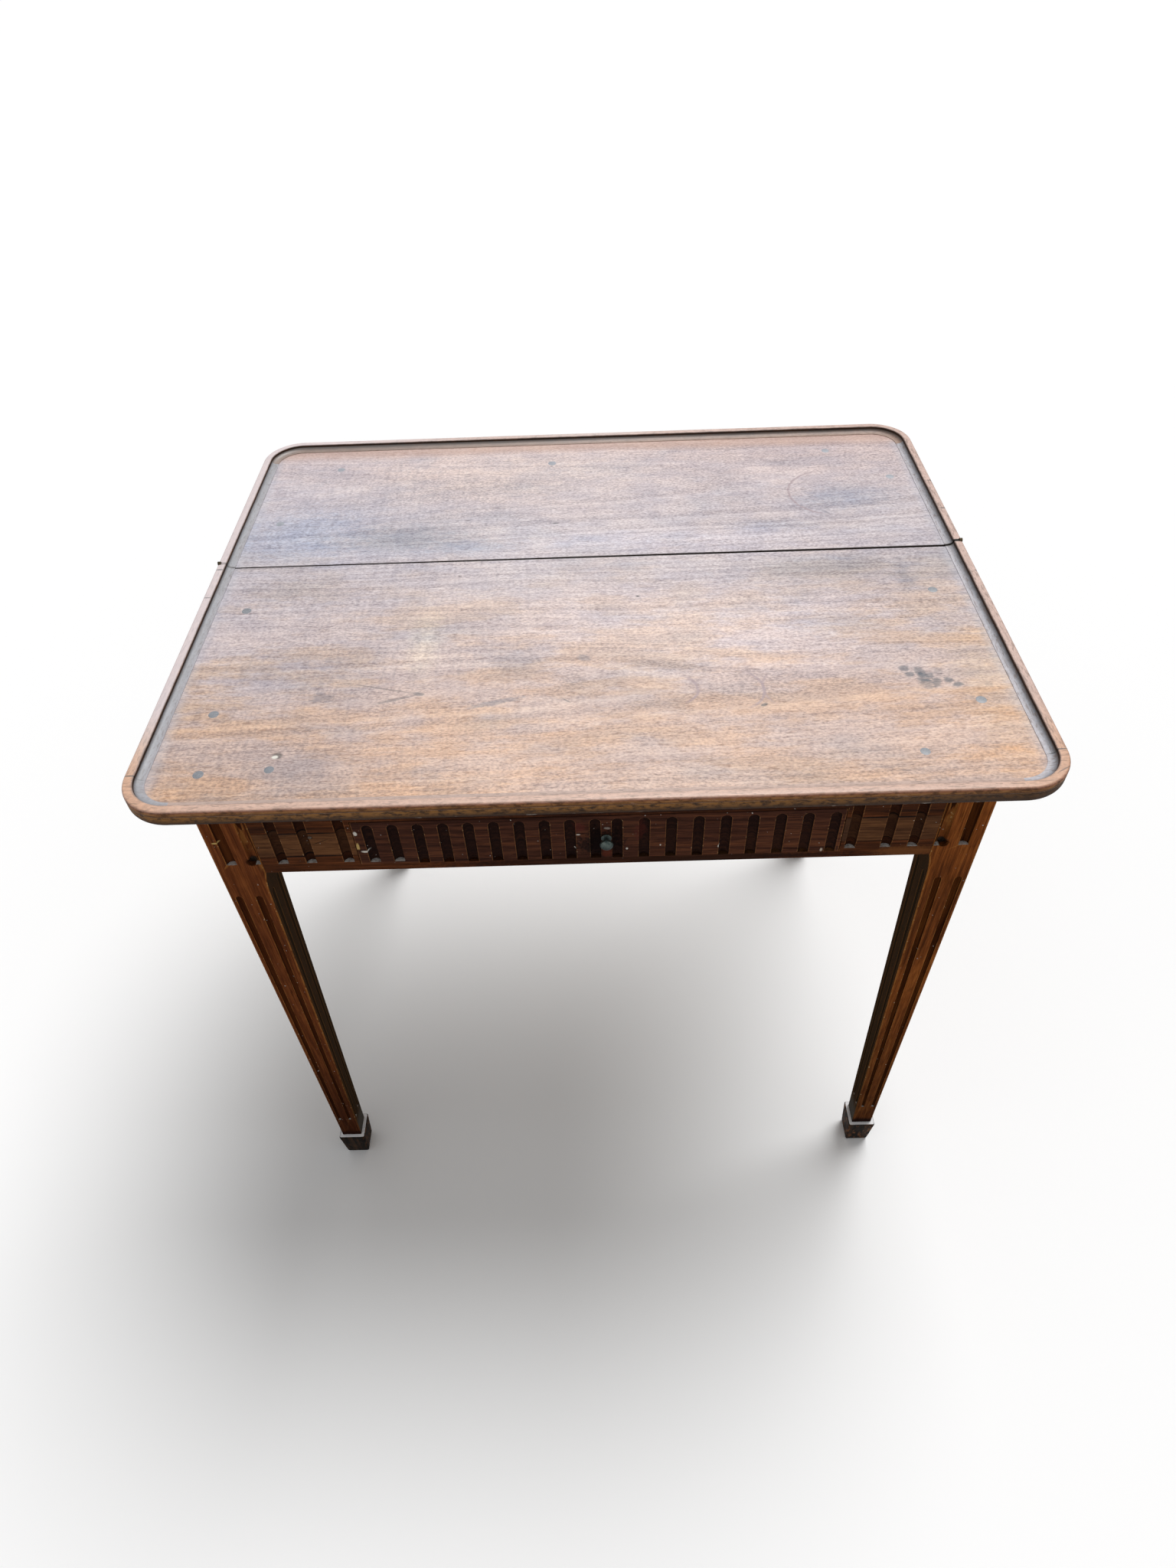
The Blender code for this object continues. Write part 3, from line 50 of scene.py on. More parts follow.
Point = tuple[float, float, float]
Span = tuple[float, float]

LOG = logging.getLogger("games_table")

# Points closer than WELD become one, edges that turn by more than SHARP degrees stay sharp, and
# what cuts a piece stands past it by OVERRUN
WELD = 0.00001
SHARP = 32.0
OVERRUN = 0.004
QUARTER = math.radians(90)


def quarter_turn(steps: int) -> list[tuple[float, float]]:
    """Cosine and sine at even steps of a quarter turn, with both of its ends."""
    angles = [QUARTER * step / steps for step in range(steps)]
    return [*((math.cos(angle), math.sin(angle)) for angle in angles), (0.0, 1.0)]


# Shader maths


class Shade:
    """A value in a material's tree; Python's operators on it add Math nodes."""

    def __init__(self, graph: "Graph", socket: bpy.types.NodeSocket) -> None:
        """Keep the tree and the socket that gives the value."""
        self.graph = graph
        self.socket = socket

    def _math(self, operation: str, *values: "Number", clamp: bool = False) -> "Shade":
        """Add one Math node.

        Args:
            operation: The node's operation.
            values: Its inputs in order.
            clamp: Whether the result is kept between 0 and 1.

        Returns:
            The node's result.
        """
        settings = {"operation": operation, "use_clamp": clamp}
        return self.graph.node("ShaderNodeMath", settings, dict(enumerate(values)))

    def __add__(self, other: "Number") -> "Shade":
        """Sum."""
        return self._math("ADD", self, other)

    __radd__ = __add__

    def __sub__(self, other: "Number") -> "Shade":
        """Difference."""
        return self._math("SUBTRACT", self, other)

    def __rsub__(self, other: "Number") -> "Shade":
        """Difference from a plain number."""
        return self._math("SUBTRACT", other, self)

    def __mul__(self, other: "Number") -> "Shade":
        """Product."""
        return self._math("MULTIPLY", self, other)

    __rmul__ = __mul__

    def __truediv__(self, other: "Number") -> "Shade":
        """Quotient."""
        return self._math("DIVIDE", self, other)

    def __pow__(self, other: "Number") -> "Shade":
        """Power."""
        return self._math("POWER", self, other)

    def __abs__(self) -> "Shade":
        """Value without its sign."""
        return self._math("ABSOLUTE", self)

    def clamped(self) -> "Shade":
        """The value kept between 0 and 1."""
        return self._math("ADD", self, 0.0, clamp=True)

    def most(self, other: "Number") -> "Shade":
        """The larger of two values."""
        return self._math("MAXIMUM", self, other)

    def step(self, low: float, high: float) -> "Shade":
        """A smooth rise from 0 at low to 1 at high, or a fall where low is above high.

        Args:
            low: Value at which the result is 0.
            high: Value at which the result is 1.

        Returns:
            The smoothed share.
        """
        return self.graph.node(
            "ShaderNodeMapRange",
            {"interpolation_type": "SMOOTHSTEP", "clamp": True},
            {"Value": self, "From Min": low, "From Max": high},
        )


Number = Union[Shade, float]


@dataclass(frozen=True)
class Noise:
    """A kind of noise: waves per metre along the axes, finer layers, and their strength."""

    scale: Point
    detail: float = 2.0
    rough: float = 0.5


class Graph:
    """The node tree of a material or of the world, in which one method adds any node."""

    def __init__(self, name: str, world: bool = False) -> None:
        """Start an empty material, or an empty world."""
        self.owner = (bpy.data.worlds if world else bpy.data.materials).new(name)
        self.owner.use_nodes = True
        self.tree = self.owner.node_tree
        self.tree.nodes.clear()

    def node(self, kind: str, settings: Mapping[str, object] = {},
             sockets: Mapping[object, object] = {}, out: Union[int, str] = 0) -> Shade:
        """Add a node.

        Args:
            kind: The node's type.
            settings: Its properties, set first; "stops" fills a colour ramp.
            sockets: Values or links of its inputs, by name or number.
            out: The output to give back.

        Returns:
            That output as a value; a node without outputs gives its first input.
        """
        made = self.tree.nodes.new(kind)
        for key, value in settings.items():
            if key == "stops":
                self._fill_ramp(made.color_ramp, value)
            else:
                setattr(made, key, value)
        for key, value in sockets.items():
            if isinstance(value, Shade):
                self.tree.links.new(value.socket, made.inputs[key])
            elif isinstance(value, tuple) and made.inputs[key].type == "RGBA":
                made.inputs[key].default_value = (*value, 1.0)
            else:
                made.inputs[key].default_value = value
        return Shade(self, made.outputs[out] if made.outputs else made.inputs[0])

    @staticmethod
    def _fill_ramp(ramp: bpy.types.ColorRamp, stops: Sequence[tuple[float, Colour]]) -> None:
        """Set a colour ramp's stops.

        Args:
            ramp: The ramp of a new node, which has two stops.
            stops: Pairs of place and colour, in order.
        """
        for place, colour in stops[1:-1]:
            ramp.elements.new(place).color = (*colour, 1.0)
        for element, (place, colour) in ((ramp.elements[0], stops[0]),
                                         (ramp.elements[-1], stops[-1])):
            element.position = place
            element.color = (*colour, 1.0)

    def place(self) -> Shade:
        """Object coordinates in metres."""
        return self.node("ShaderNodeTexCoord", out="Object")

    def parts(self, vector: Shade) -> tuple[Shade, Shade, Shade]:
        """A vector's three numbers."""
        first = self.node("ShaderNodeSeparateXYZ", {}, {0: vector})
        outputs = first.socket.node.outputs
        return tuple(Shade(self, outputs[at]) for at in range(3))

    def joined(self, *values: Number) -> Shade:
        """A vector from three numbers."""
        return self.node("ShaderNodeCombineXYZ", {}, dict(enumerate(values)))

    def stretched(self, vector: Shade, scale: Point) -> Shade:
        """A vector multiplied by another, number by number."""
        return self.node("ShaderNodeVectorMath", {"operation": "MULTIPLY"},
                         {0: vector, 1: scale})

    def noise(self, vector: Shade, kind: Noise) -> Shade:
        """Noise of some kind at a place, round 0.5."""
        return self.node("ShaderNodeTexNoise", {},
                         {"Vector": self.stretched(vector, kind.scale), "Scale": 1.0,
                          "Detail": kind.detail, "Roughness": kind.rough})

    def line_noise(self, value: Shade, detail: float, rough: float) -> Shade:
        """Noise along a single value, round 0.5."""
        return self.node("ShaderNodeTexNoise", {"noise_dimensions": "1D"},
                         {"W": value, "Scale": 1.0, "Detail": detail, "Roughness": rough})

    def ramp(self, value: Number, stops: Sequence[tuple[float, Colour]]) -> Shade:
        """A colour that changes with a value, by stops of place and colour."""
        return self.node("ShaderNodeValToRGB", {"stops": stops}, {0: value})

    def mix(self, share: Number, first: object, second: object, blend: str = "MIX") -> Shade:
        """Two colours mixed.

        Args:
            share: How much of the second one shows.
            first: A colour or a link.
            second: A colour or a link.
            blend: The way of mixing.

        Returns:
            The mixed colour.
        """
        return self.node("ShaderNodeMix", {"data_type": "RGBA", "blend_type": blend},
                         {0: share, 6: first, 7: second}, 2)

    def attribute(self, name: str) -> Shade:
        """A number that the mesh holds under a name."""
        return self.node("ShaderNodeAttribute", {"attribute_name": name}, {}, "Fac")

    def bump(self, height: Number, depth: float) -> Shade:
        """A normal for a height between 0 and 1 and its depth in metres."""
        return self.node("ShaderNodeBump", {}, {"Height": height, "Distance": depth,
                                                "Strength": 1.0})

    def surface(self, colour: object, roughness: Number, normal: Shade | None = None,
                metallic: Number = 0.0, **fixed: Number) -> bpy.types.Material:
        """Finish the material with one Principled shader.

        Args:
            colour: Base colour.
            roughness: Roughness.
            normal: Normal, where the surface has relief.
            metallic: Share of metal.
            fixed: What other sockets take, by their names with _ for a space.

        Returns:
            The material.
        """
        sockets = {"Base Color": colour, "Roughness": roughness, "Metallic": metallic}
        if normal is not None:
            sockets["Normal"] = normal
        for key, value in fixed.items():
            sockets[key.replace("_", " ")] = value
        shader = self.node("ShaderNodeBsdfPrincipled", {}, sockets)
        return self.output(shader)

    def output(self, shader: Shade, kind: str = "Material") -> bpy.types.ID:
        """Link a shader to the output of the material or the world."""
        self.node(f"ShaderNodeOutput{kind}", {}, {"Surface": shader})
        return self.owner


# Finishes


class Grain(Enum):
    """The axis that a piece's grain runs along: order of along, across and through."""

    X = (0, 1, 2)
    Y = (1, 0, 2)
    Z = (2, 0, 1)


@dataclass(frozen=True)
class Figure:
    """What a wood's pattern gives to its colour and relief."""

    colour: Shade
    relief: Shade
    pores: Shade
    cloud: Shade
    spot: Shade


@dataclass(frozen=True)
class Wood:
    """Plain polished or bare wood with rings, streaks and pores."""

    name: str
    grain: Grain = Grain.X
    dark: Colour = (0.055, 0.020, 0.009)
    mid: Colour = (0.120, 0.042, 0.015)
    light: Colour = (0.205, 0.080, 0.028)
    shift: float = 0.0
    heart: tuple[float, float] = (0.0, -0.10)
    tilt: float = 0.05
    sway: float = 0.030
    ring_width: float = 0.0060
    ring_sway: float = 0.003
    ring_share: float = 0.45
    streak_share: float = 0.50
    cloud_share: float = 0.35
    pore_share: float = 0.50
    slow_noise: Noise = Noise((1.7, 7.0, 7.0))
    ripple_noise: Noise = Noise((22.0, 70.0, 70.0))
    ring_noise: tuple[float, float] = (3.0, 0.62)
    wave_noise: Noise = Noise((6.0, 17.0, 17.0), 3.0)
    streak_noise: Noise = Noise((5.0, 150.0, 150.0), 6.0, 0.66)
    fine_noise: Noise = Noise((26.0, 800.0, 800.0))
    cloud_noise: Noise = Noise((2.4, 5.0, 5.0), 3.0)
    pore_noise: Noise = Noise((42.0, 1150.0, 1150.0), 1.0)
    pore_span: Span = (0.58, 0.70)
    tone_places: tuple[float, float, float] = (0.22, 0.50, 0.78)
    fine_share: float = 0.15
    waver: float = 0.0
    roughness: float = 0.42
    rough_spread: float = 0.16
    specular: float = 0.05
    coat: float = 0.0
    coat_ior: float = 1.5
    relief_depth: float = 0.00025

    def figure(self, graph: Graph) -> Figure:
        """Build the wood's pattern.

        Args:
            graph: The material's tree.

        Returns:
            Its colour, relief, pores, broad clouds and place along the grain.
        """
        axes = graph.parts(graph.place())
        along, across, through = (axes[at] for at in self.grain.value)
        spot = graph.joined(along + self.shift, across + self.shift / 3, through)
        slow = graph.noise(spot, self.slow_noise) - 0.5
        side = across - self.heart[0] + slow * self.sway
        depth = through - self.heart[1] + (along + self.shift) * self.tilt + slow * self.sway
        radius = (side * side + depth * depth) ** 0.5
        ripple = graph.noise(spot, self.ripple_noise) - 0.5
        rings = graph.line_noise((radius + ripple * self.ring_sway) / self.ring_width,
                                 *self.ring_noise)
        wave = (graph.noise(spot, self.wave_noise) - 0.5) * self.waver
        lines = graph.joined(along + self.shift, across + self.shift / 3 + wave, through + wave)
        streaks = graph.noise(lines, self.streak_noise)
        fine = graph.noise(lines, self.fine_noise)
        cloud = graph.noise(spot, self.cloud_noise)
        pores = graph.noise(lines, self.pore_noise).step(*self.pore_span)
        tone = (0.5 + (rings - 0.5) * self.ring_share * 2 + (streaks - 0.5) * self.streak_share * 2
                + (cloud - 0.5) * self.cloud_share * 2 + (fine - 0.5) * self.fine_share * 2)
        tones = zip(self.tone_places, (self.dark, self.mid, self.light))
        colour = graph.ramp(tone, tuple(tones))
        colour = graph.mix(pores * self.pore_share, colour, self.dark)
        relief = 0.6 + (streaks - 0.5) * 0.5 + (fine - 0.5) * 0.4 - pores * 0.35
        return Figure(colour, relief, pores, cloud, spot)

    def tint(self, graph: Graph, figure: Figure) -> tuple[Shade, Shade, Number]:
        """Change the plain pattern for this finish.

        Args:
            graph: The material's tree; not used here.
            figure: The plain pattern.

        Returns:
            Colour, relief, and what is added to the roughness.
        """
        return figure.colour, figure.relief, 0.0

    def sheen(self, graph: Graph, figure: Figure) -> Number:
        """Weight of the wax over the wood."""
        return self.coat

    def material(self) -> bpy.types.Material:
        """Build the material."""
        graph = Graph(self.name)
        figure = self.figure(graph)
        colour, relief, duller = self.tint(graph, figure)
        rough = (self.roughness + (figure.cloud - 0.5) * self.rough_spread
                 + figure.pores * 0.08 + duller)
        return graph.surface(colour, rough.clamped(), graph.bump(relief, self.relief_depth),
                             Specular_IOR_Level=self.specular,
                             Coat_Weight=self.sheen(graph, figure),
                             Coat_Roughness=0.50, Coat_IOR=self.coat_ior)


@dataclass(frozen=True)
class Mark:
    """A stain, chip or speck: middle, reach along and across it, colour and turn in degrees."""

    across: float
    up: float
    reach_across: float
    reach_up: float
    colour: Colour
    strength: float = 0.8
    ragged: float = 0.5
    turn: float = 0.0
    blend: str = "MIX"


def soft(across: float, up: float, reach_across: float, reach_up: float, colour: Colour,
         ragged: float = 1.0) -> Mark:
    """A broad cloud, which multiplies the colour under it."""
    return Mark(across, up, reach_across, reach_up, colour, 1.0, ragged, blend="MULTIPLY")


@dataclass(frozen=True)
class Ring:
    """Part of a round line: middle, radius, where it fades along X, and how strong it is."""

    across: float
    up: float
    radius: float
    fades: Span
    strength: float = 0.35
    width: float = 0.0016


def marked(graph: Graph, colour: Shade, across: Shade, up: Shade, marks: Sequence[Mark],
           wobble: Shade) -> tuple[Shade, Number]:
    """Lay marks over a colour.

    Args:
        graph: The material's tree.
        colour: The colour under them.
        across: Place across the surface.
        up: Place up the surface.
        marks: The marks, the last on top.
        wobble: Noise round 0 that makes their edges ragged.

    Returns:
        The colour with its marks, and how far they cover it.
    """
    cover: Number = 0.0
    for mark in marks:
        right, over = across - mark.across, up - mark.up
        cos, sin = math.cos(math.radians(mark.turn)), math.sin(math.radians(mark.turn))
        side = (right * cos + over * sin) / mark.reach_across
        rise = (over * cos - right * sin) / mark.reach_up
        far = (side * side + rise * rise) ** 0.5 + wobble * mark.ragged * 2
        inner, outer = (0.0, 1.4) if mark.blend == "MULTIPLY" else (0.45, 1.0)
        share = far.step(outer, inner) * mark.strength
        colour = graph.mix(share, colour, mark.colour, mark.blend)
        if mark.blend == "MIX":
            cover = share.most(cover)
    return colour, cover


@dataclass(frozen=True)
class FlutedWalnut(Wood):
    """Walnut of the frame: painted shade in its flutes and on its inner faces, worn at its arrises
    with a painted highlight, dusty on its ledges.
    """

    # Colour of the painted shade in the flutes, also used toward the toe
    flute: Colour = (0.022, 0.009, 0.007)
    flute_shade_share: float = 0.92
    ledge: Colour = (0.640, 0.620, 0.590)
    # Lighter arris colour: wear and a painted highlight along the edges
    worn: Colour = (0.340, 0.150, 0.055)
    arris_wear_and_highlight_share: float = 0.55
    # Colour of the painted shade on the legs' inner faces
    inner: Colour = (0.034, 0.023, 0.014)
    dusty: Colour = (0.110, 0.105, 0.095)
    speck: Colour = (0.450, 0.280, 0.130)
    specks: float = 0.7
    foot_dark: Span = (-2.0, -3.0)
    blotch_noise: Noise = Noise((60.0, 210.0, 210.0), 4.0, 0.65)
    speck_noise: Noise = Noise((330.0, 330.0, 330.0), 1.0)
    ragged_noise: Noise = Noise((240.0, 240.0, 240.0), 3.0, 0.7)
    dust_noise: Noise = Noise((330.0, 330.0, 330.0))
    streak_noise: Noise = Noise((15.0, 400.0, 400.0), 6.0, 0.66)
    inside_span: Span = (0.10, 0.55)
    arris_from: Span = (-0.95, -0.25)
    arris_to: Span = (0.16, 0.04)
    groove_from: Span = (0.07, 0.20)
    groove_to: Span = (0.62, 0.34)
    groove_share: float = 0.75
    wear_span: Span = (0.34, 0.56)
    blotch_span: Span = (0.52, 0.74)
    blotch_share: float = 0.50
    toe_span: Span = (0.066, 0.052)
    ledge_speck_span: Span = (0.775, 0.80)
    arris_speck_span: Span = (0.66, 0.72)
    dusty_span: Span = (0.100, 0.070)
    dust_span: Span = (0.30, 0.62)
    open_span: Span = (0.30, 0.0)
    gloss_span: Span = (0.2, 1.0)
    ring_share: float = 0.22
    streak_share: float = 0.50
    cloud_share: float = 0.30
    specular: float = 0.0
    coat: float = 0.10
    marks: tuple[Mark, ...] = ()

    def tint(self, graph: Graph, figure: Figure) -> tuple[Shade, Shade, Number]:
        """Paint shade into the flutes and onto the inner faces, and add worn arrises with a
        painted highlight, pale specks and dusty ledges.

        Args:
            graph: The material's tree.
            figure: The plain pattern.

        Returns:
            Colour, relief, and what is added to the roughness.
        """
        place = graph.place()
        x, _, z = graph.parts(place)
        hollow = graph.attribute("hollow")
        inside = hollow.step(*self.inside_span)
        blotch = graph.noise(figure.spot, self.blotch_noise)
        arris = hollow.step(*self.arris_from) * hollow.step(*self.arris_to)
        # Painted shade: each flute darkens toward the flute colour, most deeply inside
        colour = graph.mix(inside * self.flute_shade_share, figure.colour,
                           graph.mix(0.30, self.flute, figure.colour))
        groove = hollow.step(*self.groove_from) * hollow.step(*self.groove_to)
        colour = graph.mix(groove * self.groove_share, colour, self.flute)
        # Arrises lighter as wear and as a painted highlight
        colour = graph.mix(arris * blotch.step(*self.wear_span) * self.arris_wear_and_highlight_share, colour,
                           self.worn)
        colour = graph.mix(blotch.step(*self.blotch_span) * self.blotch_share, colour, self.dark)
        toe = z.step(*self.foot_dark) * (0.45 + blotch * 0.4) + z.step(*self.toe_span) * 0.5
        colour = graph.mix(toe.clamped(), colour, self.flute)
        speck = graph.noise(place, self.speck_noise)
        colour = graph.mix(speck.step(*self.ledge_speck_span) * self.specks, colour, self.ledge)
        colour = graph.mix(speck.step(*self.arris_speck_span) * arris * self.specks, colour,
                           self.speck)
        # Painted shade: the inner faces, which the top shades, darken toward this colour
        inner = graph.attribute("inner")
        colour = graph.mix(inner * (0.72 + blotch * 0.4), colour, self.inner)
        colour = graph.mix(inner * arris * 0.22, colour, self.worn)
        colour = graph.mix(inner * z.step(*self.dusty_span) * 0.5, colour, self.dusty)
        if self.marks:
            wobble = graph.noise(place, self.ragged_noise) - 0.5
            colour, _ = marked(graph, colour, x, z, self.marks, wobble)
        dust = graph.attribute("ledge")
        patchy = graph.noise(place, self.dust_noise).step(*self.dust_span)
        colour = graph.mix(dust * (0.45 + patchy * 0.5), colour, self.ledge)
        return colour, figure.relief - blotch * 0.3, inside * 0.20 + dust * 0.25

    def sheen(self, graph: Graph, figure: Figure) -> Number:
        """Thin polish, gone from the flutes and the inner faces."""
        open_face = graph.attribute("hollow").step(*self.open_span)
        outer = 1 - graph.attribute("inner")
        return open_face * outer * figure.relief.step(*self.gloss_span) * self.coat


@dataclass(frozen=True)
class TopWalnut(Wood):
    """Faded walnut of the top: bluish toward the back and on the left as painted sky reflection,
    golden toward the front, with marks.
    """

    # Tints along Y: golden toward the front, bluish toward the back as painted sky reflection
    zones: tuple[tuple[float, Colour], ...] = (
        (-0.34, (1.00, 0.88, 0.63)), (-0.20, (0.91, 0.89, 0.76)), (-0.06, (0.94, 1.00, 0.93)),
        (0.06, (0.84, 0.99, 1.02)), (0.15, (0.90, 1.03, 1.03)), (0.31, (0.98, 1.03, 0.97)))
    shaded: Colour = (0.90, 0.93, 0.98)
    slate: Colour = (0.66, 0.75, 0.86)
    warm: Colour = (1.02, 0.87, 0.66)
    # Colour of the painted sky reflection at the ends of the field
    bluish: Colour = (0.520, 0.535, 0.590)
    patch: Colour = (0.84, 0.86, 0.92)
    ripple: Colour = (0.86, 0.86, 0.88)
    back_edge: Colour = (0.520, 0.300, 0.205)
    # The board's edge: painted shade toward its underside, lighter near the field
    edge: Colour = (0.024, 0.011, 0.006)
    edge_light: Colour = (0.250, 0.112, 0.028)
    seam: Colour = (0.020, 0.012, 0.009)
    bare: Colour = (0.270, 0.165, 0.095)
    right_wax: float = 0.50
    broad_noise: Noise = Noise((4.0, 10.0, 1.0), 4.0, 0.6)
    smoke_noise: Noise = Noise((8.0, 18.0, 1.0), 4.0, 0.60)
    gold_noise: Noise = Noise((8.0, 26.0, 1.0), 5.0, 0.62)
    patch_noise: Noise = Noise((20.0, 52.0, 1.0), 3.0, 0.55)
    shimmer_noise: Noise = Noise((170.0, 26.0, 1.0), 3.0, 0.6)
    ragged_noise: Noise = Noise((90.0, 200.0, 1.0), 5.0, 0.7)
    mottle_noise: Noise = Noise((120.0, 120.0, 240.0), 5.0, 0.7)
    chip_noise: Noise = Noise((70.0, 70.0, 500.0))
    shaded_span: Span = (-0.10, -0.36)
    smoke_span: Span = (0.46, 0.76)
    smoke_share: float = 0.55
    sunny_span: Span = (0.20, -0.20)
    sunny_ends: Span = (0.22, 0.40)
    gold_span: Span = (0.44, 0.60)
    edge_reflection_span: Span = (0.406, 0.4190)
    edge_reflection_share: float = 0.35
    patch_span: Span = (0.36, 0.66)
    patch_share: float = 0.9
    shimmer_span: Span = (0.48, 0.66)
    shimmer_side: Span = (0.05, -0.25)
    back_span: Span = (0.300, 0.322)
    back_share: float = 0.55
    seam_span: Span = (0.0032, 0.0014)
    seam_side: Span = (-0.35, 0.20)
    skin: Span = (0.00002, 0.00010)
    mottle_span: Span = (0.36, 0.58)
    edge_lit: Span = (0.0100, 0.0020)
    dark_end: Span = (0.10, 0.42)
    dark_end_share: float = 0.70
    chip_span: Span = (0.66, 0.70)
    lip: Span = (0.0085, 0.0105)
    lip_front: Span = (-0.320, -0.340)
    bare_span: Span = (0.0006, 0.0002)
    seam_edge: Span = (0.0060, 0.0040)
    wax_side: Span = (-0.15, 0.40)
    wax_grain: Span = (0.15, 1.05)
    marks: tuple[Mark, ...] = ()
    rings: tuple[Ring, ...] = ()

    def tint(self, graph: Graph, figure: Figure) -> tuple[Shade, Shade, Number]:
        """Tint the top in zones and clouds, with painted sky reflection toward the back, on the
        left and at the ends of the field, and add its marks.

        Args:
            graph: The material's tree.
            figure: The plain pattern.

        Returns:
            Colour, relief, and what is added to the roughness.
        """
        place = graph.place()
        x, y, z = graph.parts(place)
        broad = graph.noise(place, self.broad_noise) - 0.5
        first, last = self.zones[0][0], self.zones[-1][0]
        stops = [((at - first) / (last - first), colour) for at, colour in self.zones]
        # Painted sky reflection: the tint turns bluish toward the back
        zone = graph.ramp((y + broad * 0.22 - first) / (last - first), stops)
        colour = graph.mix(1.0, figure.colour, zone, "MULTIPLY")
        # Painted sky reflection: the left side turns darker and bluer
        shaded = (x + broad * 0.3).step(*self.shaded_span)
        colour = graph.mix(shaded, colour, self.shaded, "MULTIPLY")
        smoky = graph.noise(place, self.smoke_noise)
        colour = graph.mix(smoky.step(*self.smoke_span) * self.smoke_share, colour, self.slate,
                           "MULTIPLY")
        golden = graph.noise(place, self.gold_noise)
        sunny = y.step(*self.sunny_span) * (0.75 + abs(x).step(*self.sunny_ends) * 0.25)
        colour = graph.mix(golden.step(*self.gold_span) * sunny, colour, self.warm, "MULTIPLY")
        # Painted reflection: a bluish band at the field's ends, next to the coves
        edge_reflection = abs(x + broad * 0.012).step(*self.edge_reflection_span)
        colour = graph.mix(edge_reflection * self.edge_reflection_share, colour, self.bluish)
        patchy = graph.noise(place, self.patch_noise)
        colour = graph.mix(patchy.step(*self.patch_span) * self.patch_share, colour, self.patch,
                           "MULTIPLY")
        shimmer = graph.noise(place, self.shimmer_noise)
        sided = 0.35 + x.step(*self.shimmer_side) * 0.65
        colour = graph.mix(shimmer.step(*self.shimmer_span) * sided, colour, self.ripple,
                           "MULTIPLY")
        back = (y + broad * 0.02).step(*self.back_span)
        colour = graph.mix(back * self.back_share, colour, self.back_edge)
        wobble = graph.noise(place, self.ragged_noise) - 0.5
        colour, cover = marked(graph, colour, x, y, self.marks, wobble)
        for ring in self.rings:
            side, front = x - ring.across, y - ring.up
            far = (side * side + front * front) ** 0.5 + wobble * ring.width * 2
            line = abs(far - ring.radius).step(ring.width, ring.width / 4)
            colour = graph.mix(line * x.step(*ring.fades) * ring.strength, colour, self.dark)
        seam = abs(y - TABLE.seam - x * 0.001).step(*self.seam_span)
        colour = graph.mix(seam * (0.30 + x.step(*self.seam_side) * 0.62), colour, self.seam)
        under = (TABLE.field - z).step(*self.skin)
        mottle = graph.noise(place, self.mottle_noise).step(*self.mottle_span)
        # Painted shade on the board's edge: dark toward the underside, lighter near the field,
        # darker toward the right end
        edge = graph.mix((TABLE.field - z).step(*self.edge_lit) * mottle,
                         self.edge, self.edge_light)
        edge = graph.mix(x.step(*self.dark_end) * self.dark_end_share, edge, self.edge)
        chips = graph.noise(place, self.chip_noise).step(*self.chip_span)
        lip = (TABLE.field - z).step(*self.lip) * y.step(*self.lip_front)
        edge = graph.mix(chips * lip * 0.8, edge, CHALK)
        below = (z - TABLE.underside).step(*self.bare_span)
        edge = graph.mix(below, edge, graph.mix(1.0, figure.colour, self.bare, "MULTIPLY"))
        edge = graph.mix(abs(y - TABLE.seam).step(*self.seam_edge), edge, self.seam)
        colour = graph.mix(under * 0.96, colour, edge)
        return colour, figure.relief, cover * 0.10 + under * 0.15

    def sheen(self, graph: Graph, figure: Figure) -> Number:
        """Wax on the field, thinner to the right and in the pores, and none under the edge."""
        x, _, z = graph.parts(graph.place())
        thin = 1 - x.step(*self.wax_side) * (1 - self.right_wax)
        grainy = (0.45 + figure.relief.step(*self.wax_grain) * 0.9).clamped()
        face = (TABLE.field - z).step(*reversed(self.skin))
        return face * thin * grainy * self.coat


